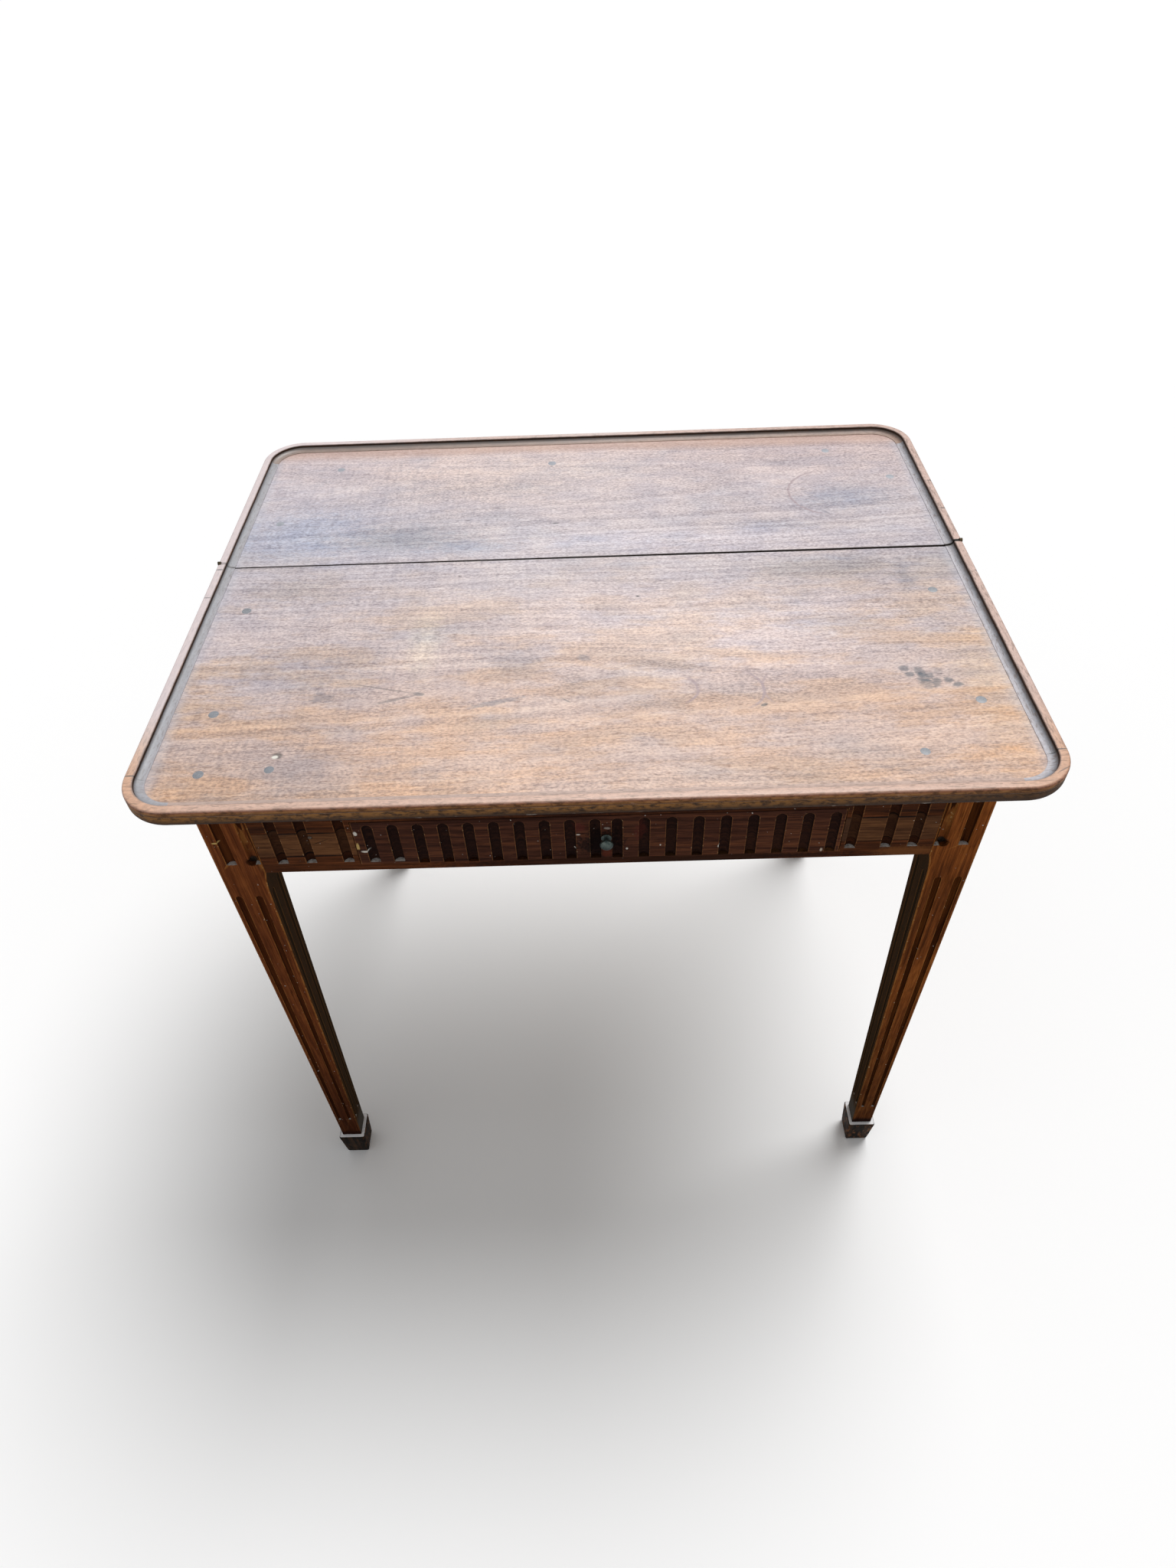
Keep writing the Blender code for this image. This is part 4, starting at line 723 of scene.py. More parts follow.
@dataclass(frozen=True)
class RimWalnut(Wood):
    """Walnut of the rim, coloured by the bands of its moulding, with painted shade on its wall,
    painted sky reflection in its cove and painted highlights on its top and along the cove's foot.
    """

    outer: Colour = (0.330, 0.150, 0.045)
    outer_low: Colour = (0.085, 0.034, 0.013)
    arris: Colour = (0.330, 0.125, 0.060)
    # Pale rim top: wear and a painted highlight
    flat: Colour = (0.640, 0.440, 0.370)
    # Painted shade on the rim's inner wall and at its foot
    wall: Colour = (0.014, 0.009, 0.007)
    hollow: Colour = (0.110, 0.116, 0.135)
    # Painted sky reflection in the cove and a painted highlight along its foot
    cove: Colour = (0.340, 0.345, 0.385)
    line: Colour = (0.520, 0.500, 0.540)
    # Colour of the painted sky reflection on the rim's top
    bluish: Colour = (0.700, 0.640, 0.680)
    golden: Colour = (1.04, 0.84, 0.60)
    seam: Colour = (0.020, 0.012, 0.009)
    last_band: float = 5.0
    wear_noise: Noise = Noise((38.0, 38.0, 38.0), 5.0, 0.7)
    grime_noise: Noise = Noise((90.0, 90.0, 200.0), 5.0, 0.72)
    grain_span: Span = (0.74, 0.34)
    outside_span: Span = (1.9, 1.0)
    grime_span: Span = (0.48, 0.62)
    rub_span: Span = (0.42, 0.30)
    top_from: Span = (1.2, 1.8)
    top_to: Span = (3.0, 2.8)
    front_span: Span = (-0.20, -0.32)
    bluish_side: Span = (-0.05, -0.43)
    golden_ends: Span = (0.35, 0.42)
    cove_shade_span: Span = (3.9, 4.2)
    hollow_side: Span = (0.20, -0.35)
    notch_span: Span = (0.0036, 0.0018)
    notch_side: Span = (-0.2, 0.2)
    dull_span: Span = (0.5, 0.7)
    wall_from: Span = (2.9, 3.1)
    wall_to: Span = (4.2, 3.9)
    wax_side: Span = (-0.05, 0.42)
    wax_from: Span = (0.9, 1.8)
    marks: tuple[Mark, ...] = ()

    def stops(self) -> list[tuple[float, Colour]]:
        """Colours of the bands, from the foot of the outer face to the foot of the cove."""
        # The wall, cove and top bands carry painted shade, reflection and highlight
        bands = ((0.00, self.outer_low), (0.50, self.outer), (1.20, self.arris),
                 (1.80, self.flat), (2.75, self.flat), (3.10, self.wall), (4.05, self.wall),
                 (4.25, self.hollow), (4.60, self.cove), (4.85, self.line), (5.00, self.line))
        return [(place / self.last_band, colour) for place, colour in bands]

    def tint(self, graph: Graph, figure: Figure) -> tuple[Shade, Shade, Number]:
        """Lay the moulding's band colours, with their painted shade, reflection and highlight,
        over the grain, and add wear, cracks and nicks.

        Args:
            graph: The material's tree.
            figure: The plain pattern.

        Returns:
            Colour, relief, and what is added to the roughness.
        """
        band = graph.attribute("band")
        place = graph.place()
        x, y, _ = graph.parts(place)
        worn = graph.noise(place, self.wear_noise) - 0.5
        colour = graph.ramp((band + worn * 0.6) / self.last_band, self.stops())
        colour = graph.mix(figure.relief.step(*self.grain_span) * 0.55, colour, self.outer_low)
        grimy = graph.noise(place, self.grime_noise)
        outside = band.step(*self.outside_span)
        colour = graph.mix(grimy.step(*self.grime_span) * (outside * 0.75 + 0.14), colour,
                           self.outer_low)
        colour = graph.mix(grimy.step(*self.rub_span) * outside * 0.20, colour, self.flat)
        top = band.step(*self.top_from) * band.step(*self.top_to)
        front = y.step(*self.front_span)
        # Painted sky reflection: the rim's top turns bluish toward the left
        colour = graph.mix(x.step(*self.bluish_side) * top * (1 - front) * 0.6, colour,
                           self.bluish)
        colour = graph.mix(front * top * (0.45 + abs(x).step(*self.golden_ends) * 0.55), colour,
                           self.golden, "MULTIPLY")
        if self.marks:
            colour, _ = marked(graph, colour, x, y, self.marks, worn)
        # Painted shade: the cove under the wall is darker on the left side
        left = band.step(*self.cove_shade_span) * x.step(*self.hollow_side)
        colour = graph.mix(left * 0.42, colour, self.hollow)
        notch = abs(y - TABLE.seam).step(*self.notch_span)
        sided = 0.35 + x.step(*self.notch_side) * 0.6
        colour = graph.mix(notch * sided, colour, self.seam)
        return colour, figure.relief - grimy * 0.6, grimy.step(*self.dull_span) * 0.1

    def sheen(self, graph: Graph, figure: Figure) -> Number:
        """Wax on the moulding and none on its outer face or its wall."""
        band = graph.attribute("band")
        x, _, _ = graph.parts(graph.place())
        dull = band.step(*self.wall_from) * band.step(*self.wall_to)
        thin = 1 - x.step(*self.wax_side) * 0.5
        return band.step(*self.wax_from) * (1 - dull) * thin * self.coat


@dataclass(frozen=True)
class FootWalnut(Wood):
    """Dark dusty walnut of the feet, with a pale top ledge of dust and painted sheen, and a
    scuffed side.
    """

    # Pale top ledge: dust and a painted sheen
    pale: Colour = (0.860, 0.850, 0.860)
    scuffed: Colour = (0.210, 0.090, 0.040)
    scuff_noise: Noise = Noise((170.0, 170.0, 90.0), 4.0, 0.65)
    dirt_noise: Noise = Noise((220.0, 220.0, 220.0))
    scuff_span: Span = (0.50, 0.66)
    scuff_side: Span = (-0.345, -0.336)
    dirt_span: Span = (0.60, 0.70)

    def tint(self, graph: Graph, figure: Figure) -> tuple[Shade, Shade, Number]:
        """Whiten the top ledge, as dust and a painted sheen, and scuff the sides.

        Args:
            graph: The material's tree.
            figure: The plain pattern.

        Returns:
            Colour, relief, and what is added to the roughness.
        """
        ledge, place = graph.attribute("ledge"), graph.place()
        scuff = graph.noise(place, self.scuff_noise)
        x, _, _ = graph.parts(place)
        colour = graph.mix(scuff.step(*self.scuff_span) * (0.15 + x.step(*self.scuff_side) * 0.7),
                           figure.colour, self.scuffed)
        dirt = graph.noise(place, self.dirt_noise).step(*self.dirt_span)
        colour = graph.mix(ledge * (1 - dirt * 0.3), colour, self.pale)
        return colour, figure.relief - dirt * 0.2, ledge * 0.3


@dataclass(frozen=True)
class EndGrain:
    """End grain of pegs and plugs: rings and dark rays."""

    name: str
    dark: Colour
    light: Colour
    roughness: float = 0.55
    coat: float = 0.0
    ray_noise: Noise = Noise((900.0, 900.0, 900.0), 3.0, 0.6)
    cloud_noise: Noise = Noise((190.0, 190.0, 190.0))
    tone_places: Span = (0.25, 0.80)
    relief_depth: float = 0.0002
    specular: float = 0.12
    coat_roughness: float = 0.50
    coat_ior: float = 1.9

    def material(self) -> bpy.types.Material:
        """Build the material."""
        graph = Graph(self.name)
        place = graph.place()
        speck = graph.noise(place, self.ray_noise)
        cloud = graph.noise(place, self.cloud_noise)
        tone = 0.5 + (speck - 0.5) * 1.2 + (cloud - 0.5) * 0.9
        colour = graph.ramp(tone, tuple(zip(self.tone_places, (self.dark, self.light))))
        return graph.surface(colour, self.roughness + (cloud - 0.5) * 0.2,
                             graph.bump(speck, self.relief_depth),
                             Specular_IOR_Level=self.specular, Coat_Weight=self.coat,
                             Coat_Roughness=self.coat_roughness, Coat_IOR=self.coat_ior)


class Patina(Enum):
    """Aged metals: clean metal, tarnish, dirt, and how much the tarnish covers."""

    BRASS = ((0.42, 0.30, 0.13), (0.13, 0.095, 0.045), (0.030, 0.024, 0.016), 0.55)
    BRONZE = ((0.090, 0.110, 0.100), (0.040, 0.062, 0.058), (0.010, 0.014, 0.014), 0.58)
    IRON = ((0.16, 0.15, 0.14), (0.085, 0.050, 0.030), (0.020, 0.016, 0.013), 0.60)


@dataclass(frozen=True)
class OldMetal:
    """Metal under patchy tarnish."""

    name: str
    kind: Patina
    roughness: float = 0.40
    dark_below: Span = (-1.0, -2.0)
    patch_noise: Noise = Noise((240.0, 240.0, 240.0), 4.0, 0.65)
    grit_noise: Noise = Noise((1400.0, 1400.0, 1400.0))
    tarnish_fade: float = 0.22
    dirt_span: Span = (0.58, 0.72)
    relief_depth: float = 0.00012

    def material(self) -> bpy.types.Material:
        """Build the material."""
        clean, tarnish, dirt, cover = self.kind.value
        graph = Graph(self.name)
        place = graph.place()
        patch = graph.noise(place, self.patch_noise)
        grit = graph.noise(place, self.grit_noise)
        dull = patch.step(cover - self.tarnish_fade, cover)
        colour = graph.mix(dull, clean, tarnish)
        colour = graph.mix(grit.step(*self.dirt_span) * 0.6, colour, dirt)
        _, _, height = graph.parts(place)
        # Darker below a given height
        colour = graph.mix(height.step(*self.dark_below) * 0.8, colour, dirt)
        return graph.surface(colour, self.roughness + dull * 0.28 + (grit - 0.5) * 0.2,
                             graph.bump(grit - dull * 0.4, self.relief_depth), 0.92 - dull * 0.45)


# Mesh helpers


def smooth(mesh: bpy.types.Mesh, angle: float) -> None:
    """Shade a mesh smooth, with the edges above an angle left sharp."""
    mesh.shade_smooth()
    mesh.set_sharp_from_angle(angle=math.radians(angle))


def added(name: str, data: bpy.types.ID) -> bpy.types.Object:
    """An object of some data, linked to the scene at the origin."""
    made = bpy.data.objects.new(name, data)
    bpy.context.scene.collection.objects.link(made)
    return made


def new_mesh(name: str, bm: bmesh.types.BMesh) -> bpy.types.Mesh:
    """Turn a bmesh into a mesh and free it."""
    mesh = bpy.data.meshes.new(name)
    bm.to_mesh(mesh)
    bm.free()
    return mesh


def evaluated(made: bpy.types.Object) -> bpy.types.Mesh:
    """The plain mesh that an object's modifiers give."""
    bpy.context.view_layer.update()
    return bpy.data.meshes.new_from_object(
        made.evaluated_get(bpy.context.evaluated_depsgraph_get()))


def finished(name: str, bm: bmesh.types.BMesh, angle: float = SHARP) -> bpy.types.Object:
    """Close a bmesh into an object, smooth up to an angle.

    Args:
        name: The object's name.
        bm: The shape, in place.
        angle: Degrees above which an edge stays sharp.

    Returns:
        The object, at the origin.
    """
    bmesh.ops.remove_doubles(bm, verts=bm.verts, dist=WELD)
    bmesh.ops.dissolve_degenerate(bm, edges=bm.edges, dist=WELD)
    bmesh.ops.recalc_face_normals(bm, faces=bm.faces)
    return shown(name, new_mesh(name, bm), angle)


def shown(name: str, mesh: bpy.types.Mesh, angle: float = SHARP) -> bpy.types.Object:
    """Put a mesh in the scene as a smooth object at the origin.

    Args:
        name: The object's name.
        mesh: Its mesh, in place.
        angle: Degrees above which an edge stays sharp.

    Returns:
        The object.
    """
    mesh.name = name
    smooth(mesh, angle)
    return added(name, mesh)


def dress(made: bpy.types.Object, material: bpy.types.Material, slot: str, body: str,
          *nodes: str) -> bpy.types.Object:
    """Give a piece its finish, its body and the CAD nodes that it stands for.

    Args:
        made: The piece.
        material: Its finish.
        slot: Not used.
        body: The body that it rides on.
        nodes: CAD nodes that it replaces.

    Returns:
        The piece.
    """
    made.data.materials.clear()
    made.data.materials.append(material)
    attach(made, body)
    if nodes:
        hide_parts(*nodes)
    LOG.info("%s: %d faces, on %s", made.name, len(made.data.polygons), body)
    return made


def cut(made: bpy.types.Object, boxes: Iterable[tuple[Point, Point]] = (),
        bores: Iterable[tuple[Point, float, float]] = (), angle: float = SHARP,
        bore_sides: int = 24) -> None:
    """Cut boxes and front bores out of a piece.

    Args:
        made: The piece, whose mesh changes.
        boxes: Opposite corners of each box.
        bores: Middle at the front face, radius and depth of each bore, which runs along Y.
        angle: Degrees above which an edge stays sharp.
        bore_sides: How many sides a bore has.
    """
    bm = bmesh.new()
    for low, high in boxes:
        low, high = Vector(low), Vector(high)
        size = [abs(number) for number in high - low]
        place = Matrix.Translation((low + high) / 2) @ Matrix.Diagonal((*size, 1))
        bmesh.ops.create_cube(bm, size=1, matrix=place)
    for middle, radius, depth in bores:
        place = Matrix.Translation(middle) @ Matrix.Rotation(QUARTER, 4, "X")
        bmesh.ops.create_cone(bm, cap_ends=True, segments=bore_sides, radius1=radius,
                              radius2=radius, depth=2 * depth, matrix=place)
    cutter = added("cutter", new_mesh("cutter", bm))
    change = made.modifiers.new("cut", "BOOLEAN")
    change.operation, change.object, change.solver = "DIFFERENCE", cutter, "EXACT"
    change.use_self = True
    result = evaluated(made)
    made.modifiers.clear()
    made.data = result
    smooth(result, angle)
    bpy.data.objects.remove(cutter)


def number_attribute(mesh: bpy.types.Mesh, name: str, domain: str,
                     values: Sequence[float]) -> None:
    """Store one number for each point or face of a mesh.

    Args:
        mesh: The mesh.
        name: The attribute's name.
        domain: POINT or FACE.
        values: The numbers.
    """
    mesh.attributes.new(name, "FLOAT", domain).data.foreach_set("value", values)


# Lofted pieces: a rectangular section with flutes, carried from level to level


class Face(Enum):
    """A face of the section: way along it, and way into the wood."""

    FRONT = ((1, 0), (0, 1))
    RIGHT = ((0, 1), (-1, 0))
    BACK = ((-1, 0), (0, -1))
    LEFT = ((0, -1), (1, 0))


Cuts = Mapping[Face, Sequence[tuple[float, float]]]

# How finely flutes and corners are rounded, how far an arris is worn, what marks the flat wood,
# and how level a ledge is at least
FLUTE_STEPS = 8
EASE_STEPS = 2
ARRIS = 0.0008
FLAT = -1.0
LEVEL_ENOUGH = 0.7


@dataclass(frozen=True)
class Level:
    """One level of a lofted piece: height, corners, and the flutes' places and radii."""

    height: float
    low: tuple[float, float]
    high: tuple[float, float]
    cuts: Cuts = field(default_factory=dict)
    ease: float = 0.0

    def ring(self) -> list[tuple[Vector, float]]:
        """Points round the section: -1 on the flat, 0 at an arris, up to 1 in a flute."""
        points: list[tuple[Vector, float]] = []
        starts = {Face.FRONT: self.low, Face.RIGHT: (self.high[0], self.low[1]),
                  Face.BACK: self.high, Face.LEFT: (self.low[0], self.high[1])}
        before = Face.LEFT
        for face in Face:
            way, inward = (Vector(pair) for pair in face.value)
            corner = Vector(starts[face])
            points += self._corner(corner, Vector(before.value[0]), way)
            axis = 0 if way.x else 1
            sign = way[axis]
            done = self.ease
            for place, radius in sorted(self.cuts.get(face, ()), key=lambda cut: sign * cut[0]):
                middle = corner.copy()
                middle[axis] = place
                along = sign * (place - corner[axis])
                points += self._flat(corner, way, done, along - radius)
                done = along + radius
                for step in range(FLUTE_STEPS + 1):
                    angle = math.pi * (1 - step / FLUTE_STEPS)
                    spot = middle + way * radius * math.cos(angle)
                    spot = spot + inward * radius * math.sin(angle)
                    points.append((spot, math.sin(angle) if radius else FLAT))
            length = abs(self.high[axis] - self.low[axis])
            points += self._flat(corner, way, done, length - self.ease)
            before = face
        return points

    @staticmethod
    def _flat(corner: Vector, way: Vector, start: float, end: float) -> list[tuple[Vector, float]]:
        """Two points that part the flat between two arrises from the arrises' own wear.

        Args:
            corner: Where the face starts.
            way: Way along it.
            start: Distance of the first arris along the face.
            end: Distance of the second one.

        Returns:
            The two points, on the arrises themselves where the flat is too narrow.
        """
        room = end - start > 3 * ARRIS
        return [(corner + way * (start + ARRIS * room), FLAT * room),
                (corner + way * (end - ARRIS * room), FLAT * room)]

    def _corner(self, corner: Vector, came: Vector, goes: Vector) -> list[tuple[Vector, float]]:
        """Points round one eased corner.

        Args:
            corner: The sharp corner.
            came: Way along the face before it.
            goes: Way along the face after it.

        Returns:
            The points, at an arris where the corner is eased.
        """
        middle = corner - came * self.ease + goes * self.ease
        return [(middle + self.ease * (came * sin - goes * cos), 0.0 if self.ease else FLAT)
                for cos, sin in quarter_turn(EASE_STEPS)]

    def shrunk(self, height: float, by: float) -> "Level":
        """The same section at another height, smaller all round."""
        low = (self.low[0] + by, self.low[1] + by)
        high = (self.high[0] - by, self.high[1] - by)
        return Level(height, low, high, self.cuts, self.ease)

    def at(self, height: float, cuts: Cuts | None = None) -> "Level":
        """The same section at another height, with other flutes where they are given."""
        return Level(height, self.low, self.high, self.cuts if cuts is None else cuts, self.ease)


def scaled_cuts(cuts: Cuts, share: float) -> Cuts:
    """The same flutes with their radii times a share."""
    return {face: [(place, radius * share) for place, radius in row]
            for face, row in cuts.items()}


def nose(level: Level, steps: int) -> list[Level]:
    """Levels of the round end of a level's flutes, which stand above it.

    Args:
        level: The level at which the flutes have their whole radius.
        steps: How many levels the round end has.

    Returns:
        The levels, upward.
    """
    radius = max(radius for row in level.cuts.values() for _, radius in row)
    levels = []
    for share, rise in quarter_turn(steps)[1:]:
        levels.append(level.at(level.height + radius * rise, scaled_cuts(level.cuts, share)))
    return levels


def add_loft(bm: bmesh.types.BMesh, levels: Sequence[Level], caps: tuple[bool, bool]) -> None:
    """Add a lofted skin through levels.

    Args:
        bm: The bmesh that takes it.
        levels: The levels, upward.
        caps: Whether the bottom and the top are closed.
    """
    hollow = bm.verts.layers.float.get("hollow") or bm.verts.layers.float.new("hollow")
    rings = []
    for level in levels:
        ring = []
        for spot, share in level.ring():
            vert = bm.verts.new((spot.x, spot.y, level.height))
            vert[hollow] = share
            ring.append(vert)
        rings.append(ring)
    for below, above in zip(rings, rings[1:]):
        for at in range(len(below)):
            after = (at + 1) % len(below)
            bm.faces.new((below[at], below[after], above[after], above[at]))
    for closed, ring in zip(caps, (rings[0], rings[-1])):
        if closed:
            bm.faces.new(ring)


def mark_ledges(made: bpy.types.Object, heights: Sequence[float], reach: float = 0.0004) -> None:
    """Store which faces are flat ledges at one of some heights.

    Args:
        made: The piece.
        heights: The ledges' heights.
        reach: How far a face's middle may be from its ledge's height.
    """
    values = []
    for flat in made.data.polygons:
        near = any(abs(flat.center.z - height) < reach for height in heights)
        values.append(1.0 if near and flat.normal.z > LEVEL_ENOUGH else 0.0)
    number_attribute(made.data, "ledge", "FACE", values)


# Geometry trees


class Tree:
    """A Geometry Nodes tree with named inputs, run on a mesh of points or edges."""

    def __init__(self, name: str) -> None:
        """Start a tree with a geometry input and output."""
        self.group = bpy.data.node_groups.new(name, "GeometryNodeTree")
        self.names: dict[str, str] = {}
        for way in ("INPUT", "OUTPUT"):
            self.group.interface.new_socket("Geometry", in_out=way,
                                            socket_type="NodeSocketGeometry")
        self.start = self.group.nodes.new("NodeGroupInput")
        self.end = self.group.nodes.new("NodeGroupOutput")

    def input(self, name: str, kind: str) -> bpy.types.NodeSocket:
        """Add a named input and give back its socket.

        Args:
            name: The input's name.
            kind: Float, Int, Vector, Object or Material.

        Returns:
            The socket inside the tree.
        """
        made = self.group.interface.new_socket(name, in_out="INPUT",
                                               socket_type=f"NodeSocket{kind}")
        self.names[name] = made.identifier
        return next(out for out in self.start.outputs if out.identifier == made.identifier)

    def node(self, kind: str, settings: Mapping[str, object] = {},
             sockets: Mapping[object, object] = {}) -> bpy.types.Node:
        """Add a node.

        Args:
            kind: The node's type.
            settings: Its properties.
            sockets: Values or links of its inputs.

        Returns:
            The node.
        """
        made = self.group.nodes.new(kind)
        for key, value in settings.items():
            setattr(made, key, value)
        for key, value in sockets.items():
            if isinstance(value, bpy.types.NodeSocket):
                self.group.links.new(value, made.inputs[key])
            else:
                made.inputs[key].default_value = value
        return made

    def close(self, geometry: bpy.types.NodeSocket, material: bpy.types.NodeSocket) -> None:
        """End the tree: instances made real, then the finish."""
        real = self.node("GeometryNodeRealizeInstances", {}, {0: geometry})
        last = self.node("GeometryNodeSetMaterial", {},
                         {"Geometry": real.outputs[0], "Material": material})
        self.group.links.new(last.outputs[0], self.end.inputs[0])

    def run(self, name: str, base: bpy.types.Mesh, **values: object) -> bpy.types.Mesh:
        """Run the tree on a mesh.

        Args:
            name: Name of the new mesh.
            base: Points or edges to work on.
            values: The named inputs, with _ for a space.

        Returns:
            The plain mesh that comes out.
        """
        holder = added(name, base)
        change = holder.modifiers.new(name, "NODES")
        change.node_group = self.group
        for key, value in values.items():
            change[self.names[key.replace("_", " ")]] = value
        mesh = evaluated(holder)
        bpy.data.objects.remove(holder)
        return mesh


def line_mesh(points: Sequence[Point], closed: bool = False) -> bpy.types.Mesh:
    """A mesh of points joined by edges."""
    edges = [(at, at + 1) for at in range(len(points) - 1)]
    if closed:
        edges.append((len(points) - 1, 0))
    mesh = bpy.data.meshes.new("line")
    mesh.from_pydata([tuple(point) for point in points], edges, [])
    return mesh


class Sweep(Tree):
    """Carries a moulding's section along a path."""

    def __init__(self) -> None:
        """Build the tree."""
        super().__init__("moulding_sweep")
        section = self.input("Section", "Object")
        material = self.input("Finish", "Material")
        path = self.node("GeometryNodeMeshToCurve", {}, {0: self.start.outputs[0]})
        upright = self.node("GeometryNodeSetCurveNormal", {"mode": "Z_UP"},
                            {0: path.outputs[0]})
        shape = self.node("GeometryNodeObjectInfo", {}, {"Object": section})
        outline = self.node("GeometryNodeMeshToCurve", {}, {0: shape.outputs["Geometry"]})
        swept = self.node("GeometryNodeCurveToMesh", {},
                          {"Curve": upright.outputs[0], "Profile Curve": outline.outputs[0],
                           "Fill Caps": True})
        self.close(swept.outputs[0], material)


class Studs(Tree):
    """Sets round plugs, pegs or screw heads on points."""

    SIDES = 22
    CROWN_SHARE = 0.84
    SLOT_WIDTH_SHARE = 0.28
    SLOT_LENGTH_SHARE = 3.0
    SLOT_SUNK_SHARE = 0.72

    def __init__(self, name: str, slotted: bool) -> None:
        """Build the tree.

        Args:
            name: The tree's name.
            slotted: Whether the heads have a slot.
        """
        super().__init__(name)
        radius, depth = self.input("Radius", "Float"), self.input("Depth", "Float")
        crown, facing = self.input("Crown", "Float"), self.input("Facing", "Vector")
        least = self.input("Least Size", "Float")
        seed, material = self.input("Seed", "Int"), self.input("Finish", "Material")
        post = self.node("GeometryNodeMeshCylinder", {},
                         {"Vertices": self.SIDES, "Radius": radius, "Depth": depth})
        head = self.node("GeometryNodeExtrudeMesh", {},
                         {"Mesh": post.outputs["Mesh"], "Selection": post.outputs["Top"],
                          "Offset Scale": crown, "Individual": False})
        eased = self.node("GeometryNodeScaleElements", {},
                          {"Geometry": head.outputs["Mesh"], "Selection": head.outputs["Top"],
                           "Scale": self.CROWN_SHARE})
        shape = eased.outputs[0]
        if slotted:
            thin = self.node("ShaderNodeMath", {"operation": "MULTIPLY"},
                             {0: radius, 1: self.SLOT_WIDTH_SHARE})
            long = self.node("ShaderNodeMath", {"operation": "MULTIPLY"},
                             {0: radius, 1: self.SLOT_LENGTH_SHARE})
            size = self.node("ShaderNodeCombineXYZ", {},
                             {0: long.outputs[0], 1: thin.outputs[0], 2: radius})
            blade = self.node("GeometryNodeMeshCube", {}, {"Size": size.outputs[0]})
            half = self.node("ShaderNodeMath", {"operation": "MULTIPLY_ADD"},
                             {0: depth, 1: 0.5, 2: radius})
            less = self.node("ShaderNodeMath", {"operation": "MULTIPLY_ADD"},
                             {0: radius, 1: -self.SLOT_SUNK_SHARE, 2: half.outputs[0]})
            spot = self.node("ShaderNodeCombineXYZ", {}, {2: less.outputs[0]})
            raised = self.node("GeometryNodeTransform", {},
                               {"Geometry": blade.outputs["Mesh"], "Translation": spot.outputs[0]})
            slot = self.node("GeometryNodeMeshBoolean", {"operation": "DIFFERENCE"},
                             {0: shape, 1: raised.outputs[0]})
            shape = slot.outputs[0]
        turn = self.node("FunctionNodeRandomValue", {"data_type": "FLOAT"},
                         {2: 0.0, 3: math.tau, "Seed": seed})
        spin = self.node("FunctionNodeAxisAngleToRotation", {},
                         {"Axis": (0, 0, 1), "Angle": turn.outputs[1]})
        aim = self.node("FunctionNodeAlignRotationToVector", {"axis": "Z"}, {"Vector": facing})
        both = self.node("FunctionNodeRotateRotation", {"rotation_space": "LOCAL"},
                         {0: aim.outputs[0], 1: spin.outputs[0]})
        grow = self.node("FunctionNodeRandomValue", {"data_type": "FLOAT"},
                         {2: least, 3: 1.0, "Seed": seed})
        sizes = self.node("ShaderNodeCombineXYZ", {},
                          {0: grow.outputs[1], 1: grow.outputs[1], 2: 1.0})
        set_in = self.node("GeometryNodeInstanceOnPoints", {},
                           {"Points": self.start.outputs[0], "Instance": shape,
                            "Rotation": both.outputs[0], "Scale": sizes.outputs[0]})
        self.close(set_in.outputs[0], material)


# Sizes that the sub-assemblies share


@dataclass(frozen=True)
class Setting:
    """Where the table's main faces lie, in metres."""

    half_width: float = 0.437
    half_depth: float = 0.349
    height: float = 0.740
    field: float = 0.733
    underside: float = 0.719
    seam: float = 0.051
    corner_radius: float = 0.048
    fit: float = 0.0003
    frame_half: float = 0.371
    frame_front: float = -0.334
    frame_back: float = 0.222
    leg_head: float = 0.046
    apron_top: float = 0.7187
    apron_bottom: float = 0.633
    ledge: float = 0.6465
    opening_left: float = -0.2295
    opening_right: float = 0.2355
    flute_radius: float = 0.0052
    board: float = 0.022
    panel_shares: tuple[float, float, float] = (0.22, 0.51, 0.893)

    @property
    def leg_inner(self) -> float:
        """World X of the legs' inner faces."""
        return self.frame_half - self.leg_head

    def end_panel_places(self, side: int) -> list[float]:
        """World X of the flutes between one front leg and the drawer."""
        edge = side * self.leg_inner
        opening = self.opening_left if side < 0 else self.opening_right
        return [edge + (opening - edge) * share for share in self.panel_shares]


TABLE = Setting()
HANDS = {-1: "left", 1: "right"}
ENDS = {-1: "front", 1: "rear"}


# Top


